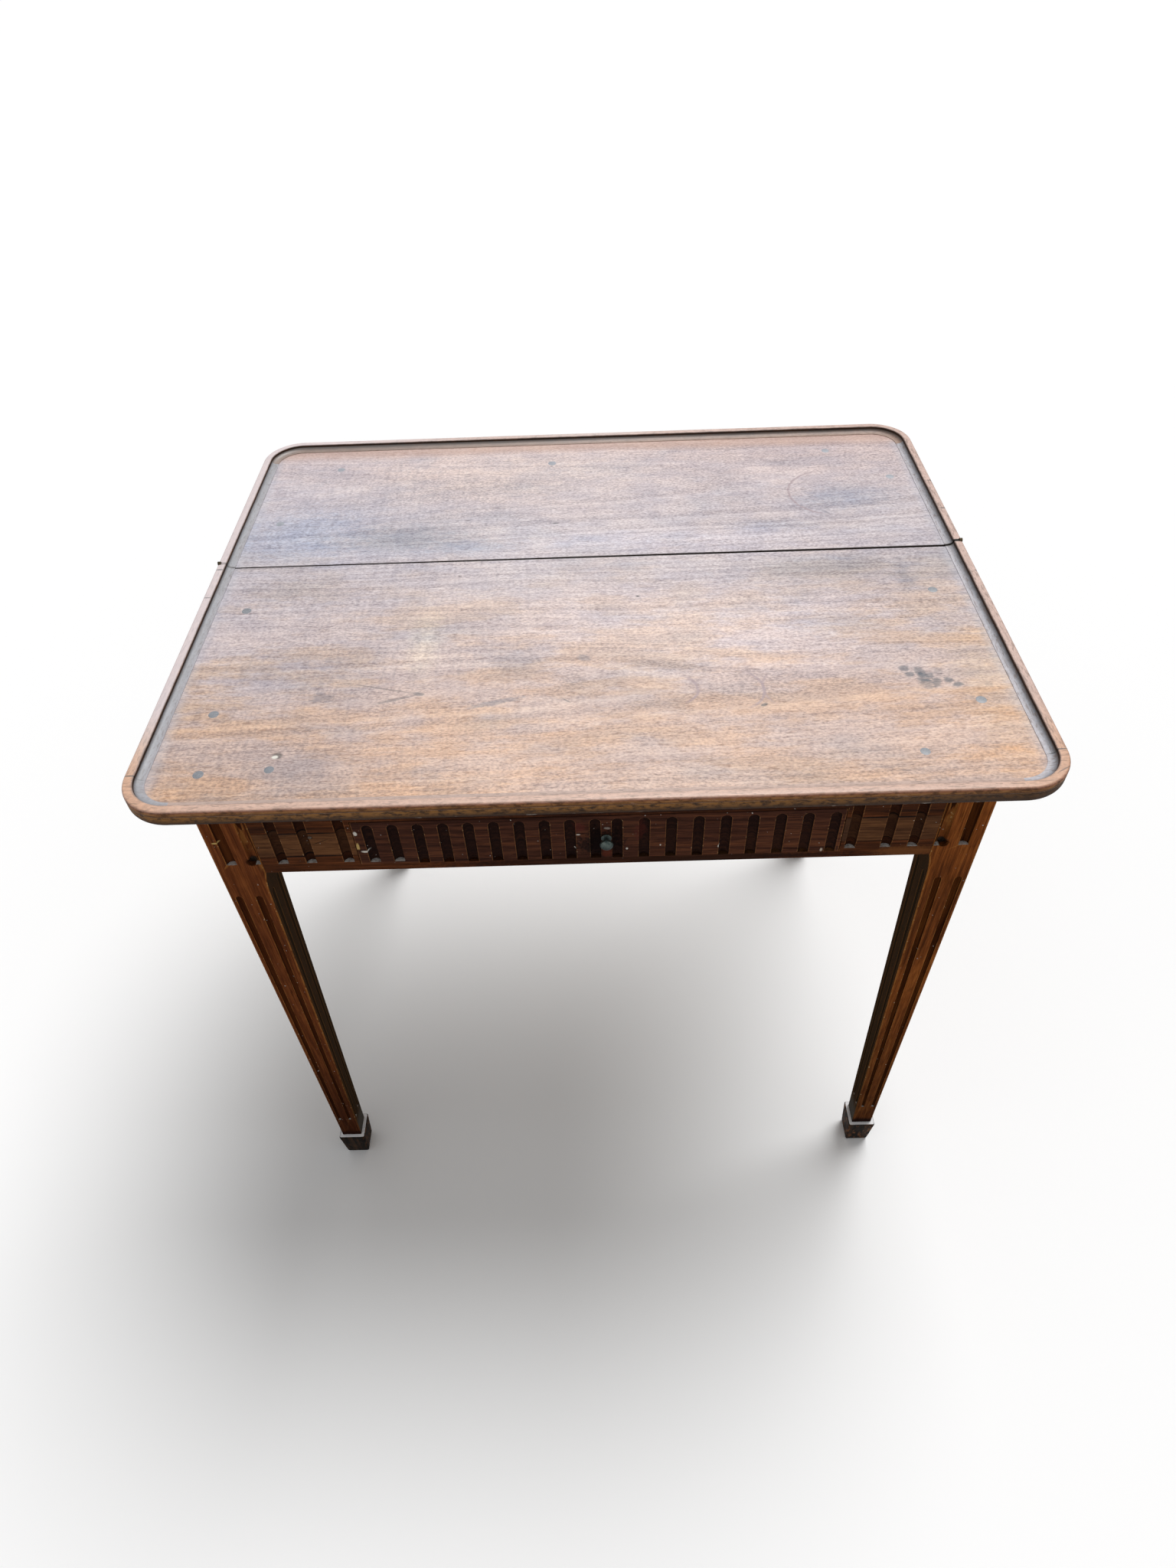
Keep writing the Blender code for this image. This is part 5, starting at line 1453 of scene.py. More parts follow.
@dataclass
class Leaf:
    """One leaf of the top: its board, its five rim pieces and its plugs."""

    side_y: int
    body: str
    plugs: tuple[tuple[float, float], ...]
    seam_left: float = 0.00045
    seam_right: float = 0.0013
    under_round: float = 0.0070
    arris: float = 0.0006
    round_steps: int = 8
    corner_steps: int = 18
    rim_width: float = 0.0095
    rim_wall: float = 0.0028
    wall_lean: float = 0.0004
    rim_foot: float = 0.0003
    cove_width: float = 0.0090
    edge_arris: float = 0.0024
    edge_steps: int = 5
    cove_steps: int = 10
    flat_in: float = 0.0030
    lip_in: float = 0.0006
    lip_drop: float = 0.0001
    lip_round: float = 0.0007
    rim_sharp: float = 40.0
    plate_length: float = 0.044
    plate_bottom: float = 0.7264
    plate_top: float = 0.7324
    plate_past: float = 0.006
    plate_layers: tuple[float, float] = (0.0019, 0.0037)
    lug_reach: float = 0.0025
    lug_bottom: float = 0.7294
    plug_radius: float = 0.0056
    plug_depth: float = 0.004
    plug_crown: float = 0.00018
    plug_sunk: float = 0.00005
    screws_along: tuple[float, ...] = (0.009, 0.022, 0.035)
    screw_radius: float = 0.0019
    screw_depth: float = 0.0016
    screw_crown: float = 0.0002
    screw_sunk: float = 0.0011

    @property
    def plate_depth(self) -> float:
        """How deep this leaf's hinge plate is let in: the rear one lies under the front one."""
        return self.plate_layers[0] if self.side_y < 0 else self.plate_layers[1]

    @property
    def end(self) -> str:
        """The word for this leaf in its pieces' names."""
        return ENDS[self.side_y]

    def seam_at(self, side_x: int) -> float:
        """World Y of the seam edge at one end."""
        gap = self.seam_left if side_x < 0 else self.seam_right
        return TABLE.seam + self.side_y * gap

    def corner(self, side_x: int, inset: float, height: float) -> list[Point]:
        """A rounded corner of the top.

        Args:
            side_x: -1 for the left one, 1 for the right one.
            inset: How far inside the round edge it lies.
            height: Its height.

        Returns:
            Points from the end of the table to its long edge.
        """
        radius = TABLE.corner_radius
        middle_x, middle_y = TABLE.half_width - radius, TABLE.half_depth - radius
        return [(side_x * (middle_x + (radius - inset) * cos),
                 self.side_y * (middle_y + (radius - inset) * sin), height)
                for cos, sin in quarter_turn(self.corner_steps)]

    def outline(self, inset: float, back: float) -> list[Point]:
        """The leaf's plan.

        Args:
            inset: How far inside the round edge it lies.
            back: How far it lies from the seam edge.

        Returns:
            Points from one end of the seam round to the other.
        """
        start, end = ((side_x * (TABLE.half_width - inset),
                       self.seam_at(side_x) + self.side_y * back, 0.0) for side_x in HANDS)
        return [start, *self.corner(-1, inset, 0.0), *reversed(self.corner(1, inset, 0.0)), end]

    def board(self, material: bpy.types.Material) -> None:
        """Build the board: round under its edge, eased at the seam, let in for the hinges.

        Args:
            material: Its finish.
        """
        top, low = TABLE.field, TABLE.underside
        levels = [(top, 0.0, self.arris), (top - self.arris, 0.0, 0.0)]
        for step, (cos, sin) in enumerate(quarter_turn(self.round_steps)):
            levels.append((low + self.under_round * (1 - sin), self.under_round * (1 - cos),
                           self.arris if step == self.round_steps else 0.0))
        bm = bmesh.new()
        rings = [[bm.verts.new((x, y, height)) for x, y, _ in self.outline(inset, back)]
                 for height, inset, back in levels]
        for above, below in zip(rings, rings[1:]):
            for at in range(len(above)):
                after = (at + 1) % len(above)
                bm.faces.new((above[at], above[after], below[after], below[at]))
        bm.faces.new(rings[0])
        bm.faces.new(rings[-1])
        made = finished(f"{self.end}_leaf", bm)
        cut(made, self.hinge_boxes())
        dress(made, material, "top_walnut", self.body, f"{self.end}_leaf_board")

    def hinge_boxes(self) -> list[tuple[Point, Point]]:
        """Room for the hinge plates and their lugs at both ends of the seam."""
        boxes = []
        near = TABLE.seam - self.side_y * self.plate_past
        far = TABLE.seam + self.side_y * (self.plate_length + TABLE.fit)
        for side in HANDS:
            outside = side * (TABLE.half_width + OVERRUN)
            deep = side * (TABLE.half_width - self.plate_depth)
            boxes.append(((outside, near, self.plate_bottom - TABLE.fit),
                          (deep, far, self.plate_top + TABLE.fit)))
            boxes.append(self.lug_box(side))
        return boxes

    def lug_box(self, side: int) -> tuple[Point, Point]:
        """Room for the hinge lugs at one end of the seam."""
        return ((side * (TABLE.half_width + OVERRUN), TABLE.seam - self.lug_reach,
                 self.lug_bottom),
                (side * (TABLE.half_width - self.plate_layers[1]), TABLE.seam + self.lug_reach,
                 TABLE.height + OVERRUN))

    def section(self) -> list[Point]:
        """The rim's section: distance in from the edge, height above its seat, and band.

        The bands run from 0 at the outer face over the arris, the top, the wall and the cove
        to 5 at the foot.
        """
        high = TABLE.height - TABLE.field - TABLE.fit
        wall_foot = high - self.rim_wall
        foot_in = self.rim_width + self.cove_width
        hollow_in = self.rim_width + self.wall_lean
        points = [(0.0, 0.0, 0.0)]
        for step, (cos, sin) in enumerate(quarter_turn(self.edge_steps)):
            points.append((self.edge_arris * (1 - cos), high - self.edge_arris * (1 - sin),
                           1 + step / self.edge_steps))
        points += [(self.rim_width - self.flat_in, high, 2.6),
                   (self.rim_width - self.lip_in, high - self.lip_drop, 2.9),
                   (self.rim_width, high - self.lip_round, 3.0)]
        for step, (cos, sin) in enumerate(quarter_turn(self.cove_steps)):
            points.append((hollow_in + (foot_in - hollow_in) * (1 - cos),
                           wall_foot - (wall_foot - self.rim_foot) * sin,
                           4 + step / self.cove_steps))
        points.append((foot_in, -TABLE.fit, 5.0))
        points.append((hollow_in, -TABLE.fit / 2, 5.0))
        return points

    def rim_paths(self) -> dict[str, list[Point]]:
        """Paths of the five rim pieces along the top's edge, each from left to right."""
        half_x, half_y = TABLE.half_width, TABLE.half_depth
        radius, gap, seat = TABLE.corner_radius, TABLE.fit / 2, TABLE.field + TABLE.fit
        reach_x, reach_y = half_x - radius, half_y - radius
        paths = {"long": [(-reach_x + gap, self.side_y * half_y, seat),
                          (reach_x - gap, self.side_y * half_y, seat)]}
        for side, hand in HANDS.items():
            paths[f"side_{hand}"] = [(side * half_x, self.seam_at(side), seat),
                                     (side * half_x, self.side_y * (reach_y - gap), seat)]
            paths[f"corner_{hand}"] = self.corner(side, 0.0, seat)
        return paths

    @staticmethod
    def inward(x: float, y: float) -> float:
        """Distance in from the top's rounded edge."""
        radius = TABLE.corner_radius
        over_x = abs(x) - (TABLE.half_width - radius)
        over_y = abs(y) - (TABLE.half_depth - radius)
        if over_x > 0 and over_y > 0:
            return radius - math.hypot(over_x, over_y)
        return radius - max(over_x, over_y)

    def rims(self, sweep: Sweep, materials: Mapping[str, bpy.types.Material]) -> None:
        """Sweep the rim's section along its five pieces.

        Args:
            sweep: The tree that carries a section along a path.
            materials: Finishes of the long, side and corner pieces.
        """
        section = self.section()
        for key, path in self.rim_paths().items():
            outward = self.side_y * (1 if path[0][0] < path[-1][0] else -1)
            if key.startswith("side"):
                outward = 1 if (path[0][0] > 0) == (path[0][1] > path[-1][1]) else -1
            if key.startswith("corner"):
                outward = 1 if (path[0][0] > 0) == (self.side_y < 0) else -1
            shape = line_mesh([(outward * across, -up, 0.0) for across, up, _ in section], True)
            holder = added("section", shape)
            finish = materials[key.split("_")[0]]
            mesh = sweep.run(f"{self.end}_moulding_{key}", line_mesh(path),
                             Section=holder, Finish=finish)
            bpy.data.objects.remove(holder)
            bm = bmesh.new()
            bm.from_mesh(mesh)
            made = finished(f"{self.end}_moulding_{key}", bm, self.rim_sharp)
            if key.startswith("side"):
                cut(made, [self.lug_box(1 if key.endswith("right") else -1)],
                    angle=self.rim_sharp)
            self.mark_bands(made.data, section)
            dress(made, finish, "top_walnut", self.body, f"{self.end}_rim_{key}")

    def mark_bands(self, mesh: bpy.types.Mesh, section: list[Point]) -> None:
        """Store which band of the moulding each point lies in."""
        seat = TABLE.field + TABLE.fit
        values = []
        for vert in mesh.vertices:
            spot = (self.inward(vert.co.x, vert.co.y), vert.co.z - seat)
            values.append(min(section, key=lambda point: math.dist(spot, point[:2]))[2])
        number_attribute(mesh, "band", "POINT", values)

    def set_plugs(self, studs: Studs, material: bpy.types.Material) -> None:
        """Set the round plugs in the field."""
        height = TABLE.field - self.plug_depth / 2 - self.plug_sunk
        mesh = studs.run("plugs", line_mesh([(x, y, height) for x, y in self.plugs]),
                         Radius=self.plug_radius, Depth=self.plug_depth, Crown=self.plug_crown,
                         Facing=(0.0, 0.0, 1.0), Least_Size=0.86, Seed=4 + self.side_y,
                         Finish=material)
        dress(shown(f"{self.end}_leaf_plugs", mesh), material, "peg_oak", self.body)

    def set_screws(self, studs: Studs, material: bpy.types.Material) -> None:
        """Screw the hinge plates to the leaf's edges."""
        for side, hand in HANDS.items():
            x = side * (TABLE.half_width - self.screw_sunk)
            middle = (self.plate_bottom + self.plate_top) / 2
            points = [(x, TABLE.seam + self.side_y * along, middle)
                      for along in self.screws_along]
            mesh = studs.run("screws", line_mesh(points), Radius=self.screw_radius,
                             Depth=self.screw_depth, Crown=self.screw_crown,
                             Facing=(float(side), 0.0, 0.0), Least_Size=0.97,
                             Seed=11 + side, Finish=material)
            dress(shown(f"{self.end}_hinge_screws_{hand}", mesh), material, "iron", self.body)


# Frame


@dataclass
class Leg:
    """A fluted leg: square head, hollow neck, straight taper to the toe."""

    side_x: int
    side_y: int
    neck: float = 0.0415
    toe: float = 0.0262
    neck_drop: float = 0.036
    shoulder: float = 0.0503
    head_flutes: tuple[float, float] = (0.0163, 0.0402)
    shares: tuple[float, float] = (0.205, 0.700)
    nose_height: float = 0.5935
    heel_height: float = 0.0965
    nose_share: float = 0.088
    heel_share: float = 0.074
    ease: float = 0.0009
    taper_steps: int = 12
    nose_steps: int = 6
    neck_steps: int = 8
    peg: tuple[float, float] = (0.335, 0.6495)
    bore_radius: float = 0.0047
    bore_depth: float = 0.0058
    inner_depth: float = 0.0042

    @property
    def name(self) -> str:
        """Name of the leg's CAD node."""
        return f"leg_{ENDS[self.side_y]}_{HANDS[self.side_x]}"

    @property
    def corner(self) -> tuple[float, float]:
        """The leg's outer corner in plan."""
        y = TABLE.frame_front if self.side_y < 0 else TABLE.frame_back
        return self.side_x * TABLE.frame_half, y

    def width(self, height: float) -> float:
        """The leg's width at a height."""
        neck = TABLE.apron_bottom - self.neck_drop
        if height >= TABLE.apron_bottom:
            return TABLE.leg_head
        if height >= neck:
            share = (height - neck) / self.neck_drop
            return self.neck + (TABLE.leg_head - self.neck) * share**2
        share = (height - self.shoulder) / (neck - self.shoulder)
        return self.toe + (self.neck - self.toe) * share

    def level(self, height: float, head: bool, radius: float) -> Level:
        """The leg's section at a height.

        Args:
            height: The height.
            head: Whether the flutes are those of the head, on its outer faces only.
            radius: The flutes' radius.

        Returns:
            The level.
        """
        wide = self.width(height)
        x, y = self.corner
        span_x = sorted((x, x - self.side_x * wide))
        span_y = sorted((y, y - self.side_y * wide))
        along = self.head_flutes if head else [share * wide for share in self.shares]
        outer = (Face.FRONT if self.side_y < 0 else Face.BACK,
                 Face.LEFT if self.side_x < 0 else Face.RIGHT)
        cuts = {}
        for face in Face:
            cross = face in (Face.FRONT, Face.BACK)
            start, inward = (x, -self.side_x) if cross else (y, -self.side_y)
            deep = radius if not head or face in outer else 0.0
            cuts[face] = [(start + inward * far, deep) for far in along]
        return Level(height, (span_x[0], span_y[0]), (span_x[1], span_y[1]), cuts, self.ease)

    def levels(self) -> list[Level]:
        """All levels, upward."""
        nose_radius = self.width(self.nose_height) * self.nose_share
        heel_radius = self.width(self.heel_height) * self.heel_share
        rows = [self.level(self.shoulder, False, 0.0), self.level(self.heel_height, False, 0.0)]
        for step in range(self.taper_steps + 1):
            share = step / self.taper_steps
            height = self.heel_height + (self.nose_height - self.heel_height) * share
            rows.append(self.level(height, False,
                                   heel_radius + (nose_radius - heel_radius) * share))
        for share, rise in quarter_turn(self.nose_steps)[1:]:
            rows.append(self.level(self.nose_height + nose_radius * rise, False,
                                   nose_radius * share))
        neck = TABLE.apron_bottom - self.neck_drop
        for step in range(1, self.neck_steps + 1):
            rows.append(self.level(neck + self.neck_drop * step / self.neck_steps,
                                   step == self.neck_steps, 0.0))
        rows += [self.level(TABLE.ledge, True, 0.0),
                 self.level(TABLE.ledge, True, TABLE.flute_radius),
                 self.level(TABLE.apron_top, True, TABLE.flute_radius)]
        return rows

    def faces_in(self, spot: Vector) -> bool:
        """Whether a spot lies on the inner face or in its flutes."""
        x, y = self.corner
        wide = self.width(spot.z)
        deep, across = (x - spot.x) * self.side_x, (y - spot.y) * self.side_y
        return deep > wide - self.inner_depth and self.ease < across < wide - self.ease

    def build(self, material: bpy.types.Material) -> None:
        """Build and dress the leg.

        Args:
            material: Its finish.
        """
        bm = bmesh.new()
        add_loft(bm, self.levels(), (True, True))
        made = finished(f"fluted_{self.name}", bm)
        if self.side_y < 0:
            x, height = self.peg
            cut(made, bores=[((self.side_x * x, TABLE.frame_front, height), self.bore_radius,
                              self.bore_depth)])
            wear = made.data.attributes["hollow"].data
            for vert in made.data.vertices:
                off = math.hypot(vert.co.x - self.side_x * x, vert.co.z - height)
                if off < self.bore_radius + WELD and vert.co.y < 0:
                    wear[vert.index].value = FLAT
        mark_ledges(made, (TABLE.ledge, self.heel_height))
        # Faces on the leg's inner side, which the finish paints in shade
        inner = [float(self.faces_in(flat.center)) for flat in made.data.polygons]
        number_attribute(made.data, "inner", "FACE", inner)
        dress(made, material, "frame_walnut", "frame", self.name)


@dataclass
class Foot:
    """A tapering foot block under one leg."""

    leg: Leg
    height: float = 0.050
    top: float = 0.0355
    base: float = 0.0300
    arris: float = 0.0016
    steps: int = 3
    wear: float = 0.0030
    middle_heights: tuple[float, float] = (0.015, 0.032)
    sharp: float = 50.0

    def build(self, material: bpy.types.Material) -> None:
        """Build and dress the foot.

        Args:
            material: Its finish.
        """
        x, y = self.leg.corner
        middle = (x - self.leg.side_x * self.leg.toe / 2, y - self.leg.side_y * self.leg.toe / 2)

        def level(height: float, width: float) -> Level:
            """The foot's section at a height."""
            half = width / 2
            return Level(height, (middle[0] - half, middle[1] - half),
                         (middle[0] + half, middle[1] + half), {}, self.arris)

        def width(height: float) -> float:
            """The foot's width at a height."""
            return self.base + (self.top - self.base) * height / self.height

        rows = [level(self.wear * (1 - cos), self.base - 2 * self.wear * (1 - sin))
                for cos, sin in quarter_turn(self.steps)]
        rows += [level(height, width(height)) for height in self.middle_heights]
        rows += [level(self.height - self.arris * (1 - sin), self.top - 2 * self.arris * (1 - cos))
                 for cos, sin in quarter_turn(self.steps)]
        bm = bmesh.new()
        add_loft(bm, rows, (True, True))
        name = f"foot_{ENDS[self.leg.side_y]}_{HANDS[self.leg.side_x]}"
        made = finished(f"block_{name}", bm, self.sharp)
        mark_ledges(made, (self.height,))
        dress(made, material, "foot_walnut", "frame", name)


@dataclass
class Apron:
    """The fluted boards between the legs."""

    arris: float = 0.0007
    rail_drop: float = 0.6897
    panel_top: float = 0.6894
    panel_low: float = 0.6568
    bottom_rail_top: float = 0.6565
    opening_low: float = 0.6425
    opening_high: float = 0.7037
    side_thickness: float = 0.020
    side_pitch: float = 0.0258
    rear_pitch: float = 0.0260

    @staticmethod
    def row(low: float, high: float, pitch: float) -> list[float]:
        """Even places between two limits, half a pitch or more inside them."""
        count = int((high - low) / pitch)
        first = (low + high - (count - 1) * pitch) / 2
        return [first + pitch * at for at in range(count)]

    def open_flutes(self, places: Sequence[float]) -> list[tuple[float, float]]:
        """Flutes of the apron's radius at some places."""
        return [(place, TABLE.flute_radius) for place in places]

    def plain(self, low: tuple[float, float], high: tuple[float, float], face: Face,
              places: Sequence[float]) -> list[Level]:
        """Levels of a whole apron, whose flutes end in ledges above its lower edge.

        Args:
            low: Lowest corner in plan.
            high: Highest corner in plan.
            face: The face with flutes.
            places: Their places.

        Returns:
            The levels, upward.
        """
        cuts = {face: self.open_flutes(places)}
        blank = Level(TABLE.apron_bottom + self.arris, low, high, scaled_cuts(cuts, 0.0))
        return [blank.shrunk(TABLE.apron_bottom, self.arris), blank, blank.at(TABLE.ledge),
                blank.at(TABLE.ledge, cuts), blank.at(TABLE.apron_top, cuts)]

    def sides_and_back(self, side: bpy.types.Material, back: bpy.types.Material) -> None:
        """Build the side aprons and the rear apron.

        Args:
            side: The side aprons' finish.
            back: The rear apron's finish.
        """
        front = TABLE.frame_front + TABLE.leg_head + TABLE.fit
        rear = TABLE.frame_back - TABLE.leg_head - TABLE.fit
        for side_x, hand in HANDS.items():
            span = sorted((side_x * TABLE.frame_half,
                           side_x * (TABLE.frame_half - self.side_thickness)))
            face = Face.LEFT if side_x < 0 else Face.RIGHT
            levels = self.plain((span[0], front), (span[1], rear), face,
                                self.row(front, rear, self.side_pitch))
            self.finish(f"side_apron_{hand}", [(levels, (True, True))], side)
        reach = TABLE.leg_inner - TABLE.fit
        levels = self.plain((-reach, TABLE.frame_back - TABLE.board), (reach, TABLE.frame_back),
                            Face.BACK, self.row(-TABLE.leg_inner, TABLE.leg_inner,
                                                self.rear_pitch))
        self.finish("rear_apron", [(levels, (True, True))], back)

    def finish(self, node: str, lofts: Sequence[tuple[Sequence[Level], tuple[bool, bool]]],
               material: bpy.types.Material, sheets: Sequence[Sequence[Point]] = (),
               body: str = "frame") -> None:
        """Make one board from its lofts and dress it.

        Args:
            node: The CAD node that it replaces.
            lofts: Levels and caps of each loft.
            material: Its finish.
            sheets: Flat faces that close the skin between lofts.
            body: The body that it rides on.
        """
        bm = bmesh.new()
        for levels, caps in lofts:
            add_loft(bm, levels, caps)
        for sheet in sheets:
            bm.faces.new([bm.verts.new(point) for point in sheet])
        made = finished(f"fluted_{node}", bm)
        mark_ledges(made, (TABLE.ledge,))
        dress(made, material, "frame_walnut", body, node)

    def front_level(self, height: float, low_x: float, high_x: float,
                    places: Sequence[float]) -> Level:
        """A front board's section between two places along X."""
        return Level(height, (low_x, TABLE.frame_front),
                     (high_x, TABLE.frame_front + TABLE.board),
                     {Face.FRONT: self.open_flutes(places)})

    def front(self, rail: bpy.types.Material, panel: bpy.types.Material) -> None:
        """Build the two front rails and the two end panels.

        Args:
            rail: The rails' finish.
            panel: The panels' finish.
        """
        reach = TABLE.leg_inner - TABLE.fit
        left, right = TABLE.opening_left, TABLE.opening_right
        left_places, right_places = TABLE.end_panel_places(-1), TABLE.end_panel_places(1)
        both = left_places + right_places
        lofts = []
        for low_x, high_x, places in ((-reach, left, left_places), (right, reach, right_places)):
            start = self.front_level(self.rail_drop, low_x, high_x, places)
            lofts.append(([start, start.at(self.opening_high)], (True, False)))
        whole = self.front_level(self.opening_high, -reach, reach, both)
        lofts.append(([whole, whole.at(TABLE.apron_top)], (False, True)))
        self.finish("front_top_rail", lofts, rail,
                    sheets=[self.notch_sheet(self.opening_high)])
        lofts = []
        blank = scaled_cuts({Face.FRONT: self.open_flutes(both)}, 0.0)
        whole = self.front_level(TABLE.apron_bottom + self.arris, -reach, reach, both).at(
            TABLE.apron_bottom + self.arris, blank)
        lofts.append(([whole.shrunk(TABLE.apron_bottom, self.arris), whole,
                       whole.at(self.opening_low)], (True, False)))
        for low_x, high_x, places in ((-reach, left, left_places), (right, reach, right_places)):
            start = self.front_level(self.opening_low, low_x, high_x, places)
            plain = start.at(self.opening_low, scaled_cuts(start.cuts, 0.0))
            lofts.append(([plain, plain.at(TABLE.ledge), start.at(TABLE.ledge),
                           start.at(self.bottom_rail_top)], (False, True)))
        self.finish("front_bottom_rail", lofts, rail,
                    sheets=[self.notch_sheet(self.opening_low)])
        for side, hand in HANDS.items():
            edge = side * reach
            span = sorted((edge, left if side < 0 else right))
            level = self.front_level(self.panel_low, span[0], span[1],
                                     TABLE.end_panel_places(side))
            self.finish(f"end_panel_{hand}", [([level, level.at(self.panel_top)], (True, True))],
                        panel)

    @staticmethod
    def notch_sheet(height: float) -> list[Point]:
        """The rail's face over or under the drawer."""
        front, back = TABLE.frame_front, TABLE.frame_front + TABLE.board
        left, right = TABLE.opening_left, TABLE.opening_right
        return [(left, front, height), (right, front, height), (right, back, height),
                (left, back, height)]


@dataclass
class Drawer:
    """The fluted drawer front and its knob."""

    face: float = -0.3348
    inner_face: float = -0.3148
    low: float = 0.6428
    high: float = 0.7034
    left: float = -0.2287
    right: float = 0.2347
    arris: float = 0.0006
    flute_drop: float = 0.0040
    knob_x: float = 0.0105
    knob_height: float = 0.6728
    spacing: float = 0.0207
    right_pitch: float = 0.0256
    right_count: int = 9
    left_pitch: float = 0.0238
    left_count: int = 10
    stopped_flutes: int = 2
    nose_steps: int = 7
    knob_radius: float = 0.0064
    knob_reach: float = 0.0134
    knob_back: float = 0.0053
    ball_steps: int = 18
    ball_turn: float = 155.0
    neck: float = 0.0026
    neck_ends: tuple[float, float] = (0.0036, 0.0024)
    collar: float = 0.0050
    collar_share: float = 0.80
    collar_ends: tuple[float, float, float] = (0.0018, 0.0013, 0.0003)
    shank: float = 0.0018
    shank_end: float = -0.0237
    turning_steps: int = 40
    knob_sharp: float = 48.0

    def places(self) -> list[float]:
        """World X of the drawer's flutes."""
        first = self.spacing / 2
        right = [self.knob_x + first + self.right_pitch * at for at in range(self.right_count)]
        left = [self.knob_x - first - self.left_pitch * at for at in range(self.left_count)]
        return left + right

    def front(self, apron: Apron, material: bpy.types.Material) -> None:
        """Build the drawer front, most of whose flutes run out at its lower edge.

        Args:
            apron: What builds fluted boards.
            material: Its finish.
        """
        cuts = {Face.FRONT: [(place, TABLE.flute_radius) for place in self.places()]}
        stopped = sorted(self.places())[self.stopped_flutes - 1]
        low_cuts = {Face.FRONT: [(place, TABLE.flute_radius if place > stopped else 0.0)
                                 for place in self.places()]}
        start = Level(self.low + self.arris, (self.left, self.face),
                      (self.right, self.inner_face), low_cuts, self.arris)
        shoulder = start.at(self.high - self.flute_drop - TABLE.flute_radius, cuts)
        closed = shoulder.at(self.high - self.arris, scaled_cuts(cuts, 0.0))
        levels = [start.shrunk(self.low, self.arris), start, start.at(TABLE.ledge),
                  start.at(TABLE.ledge, cuts), shoulder, *nose(shoulder, self.nose_steps), closed,
                  closed.shrunk(self.high, self.arris)]
        apron.finish("drawer_front", [(levels, (True, True))], material, body="drawer")

    def knob_profile(self) -> list[tuple[float, float]]:
        """The knob from its crown to the end of its shank: radius and distance out."""
        ball = (self.knob_reach - self.knob_back) / 2
        middle = self.knob_reach - ball
        points = [(0.0, self.knob_reach)]
        for step in range(1, self.ball_steps + 1):
            angle = math.radians(90 - self.ball_turn * step / self.ball_steps)
            points.append((self.knob_radius * math.cos(angle), middle + ball * math.sin(angle)))
        top, edge, seat = self.collar_ends
        points += [(self.neck, out) for out in self.neck_ends]
        points += [(self.collar * self.collar_share, top), (self.collar, edge),
                   (self.collar, seat), (self.shank, seat), (self.shank, self.shank_end),
                   (0.0, self.shank_end)]
        return points

    def knob(self, material: bpy.types.Material) -> None:
        """Turn the knob."""
        bm = bmesh.new()
        turn = Matrix.Translation((self.knob_x, self.face, self.knob_height))
        turn = turn @ Matrix.Rotation(QUARTER, 4, "X")
        verts = [bm.verts.new((radius, 0.0, out)) for radius, out in self.knob_profile()]
        edges = [bm.edges.new(pair) for pair in zip(verts, verts[1:])]
        bmesh.ops.spin(bm, geom=verts + edges, axis=(0, 0, 1), cent=(0, 0, 0),
                       angle=math.tau, steps=self.turning_steps, use_merge=True)
        bmesh.ops.transform(bm, matrix=turn, verts=bm.verts)
        made = finished("turned_knob", bm, self.knob_sharp)
        dress(made, material, "knob_bronze", "drawer", "drawer_knob")


@dataclass
class FramePegs:
    """Pegs of the side and rear tenons, and the small nail in the left end panel."""

    radius: float = 0.0044
    depth: float = 0.005
    proud: float = 0.0003
    inset: float = 0.029
    heights: tuple[float, float] = (0.6560, 0.6985)
    nail: tuple[float, float] = (-0.270, 0.684)
    nail_sunk: float = 0.0012
    nail_radius: float = 0.0017
    nail_depth: float = 0.003
    nail_crown: float = 0.0002

    def pegs(self, name: str, studs: Studs, points: Sequence[Point], facing: Point, seed: int,
             wood: bpy.types.Material) -> None:
        """Set some pegs.

        Args:
            name: The name of the piece that they make.
            studs: The tree that sets them.
            points: Their middles.
            facing: The way they face.
            seed: Seed of their sizes and turns.
            wood: Their finish.
        """
        mesh = studs.run("pegs", line_mesh(points), Radius=self.radius, Depth=self.depth,
                         Crown=self.proud, Facing=facing, Least_Size=0.9, Seed=seed, Finish=wood)
        dress(shown(name, mesh), wood, "peg_oak", "frame")

    def build(self, studs: Studs, screws: Studs, wood: bpy.types.Material,
              iron: bpy.types.Material) -> None:
        """Set the pegs and the nail.

        Args:
            studs: The tree that sets plain studs.
            screws: The tree that sets slotted ones.
            wood: The pegs' finish.
            iron: The nail's finish.
        """
        for side, hand in HANDS.items():
            x = side * (TABLE.frame_half - self.depth / 2 + self.proud)
            points = [(x, y, height)
                      for y in (TABLE.frame_front + self.inset, TABLE.frame_back - self.inset)
                      for height in self.heights]
            self.pegs(f"side_pegs_{hand}", studs, points, (float(side), 0.0, 0.0), 21 + side, wood)
        y = TABLE.frame_back - self.depth / 2 + self.proud
        points = [(side * (TABLE.frame_half - self.inset), y, height)
                  for side in HANDS for height in self.heights]
        self.pegs("rear_pegs", studs, points, (0.0, 1.0, 0.0), 27, wood)
        x, z = self.nail
        place = (x, TABLE.frame_front + self.nail_sunk, z)
        mesh = screws.run("nail", line_mesh([place]), Radius=self.nail_radius,
                          Depth=self.nail_depth, Crown=self.nail_crown,
                          Facing=(0.0, -1.0, 0.0), Least_Size=1.0, Seed=3, Finish=iron)
        dress(shown("end_panel_nail", mesh), iron, "iron", "frame")


# Carried-over CAD nodes


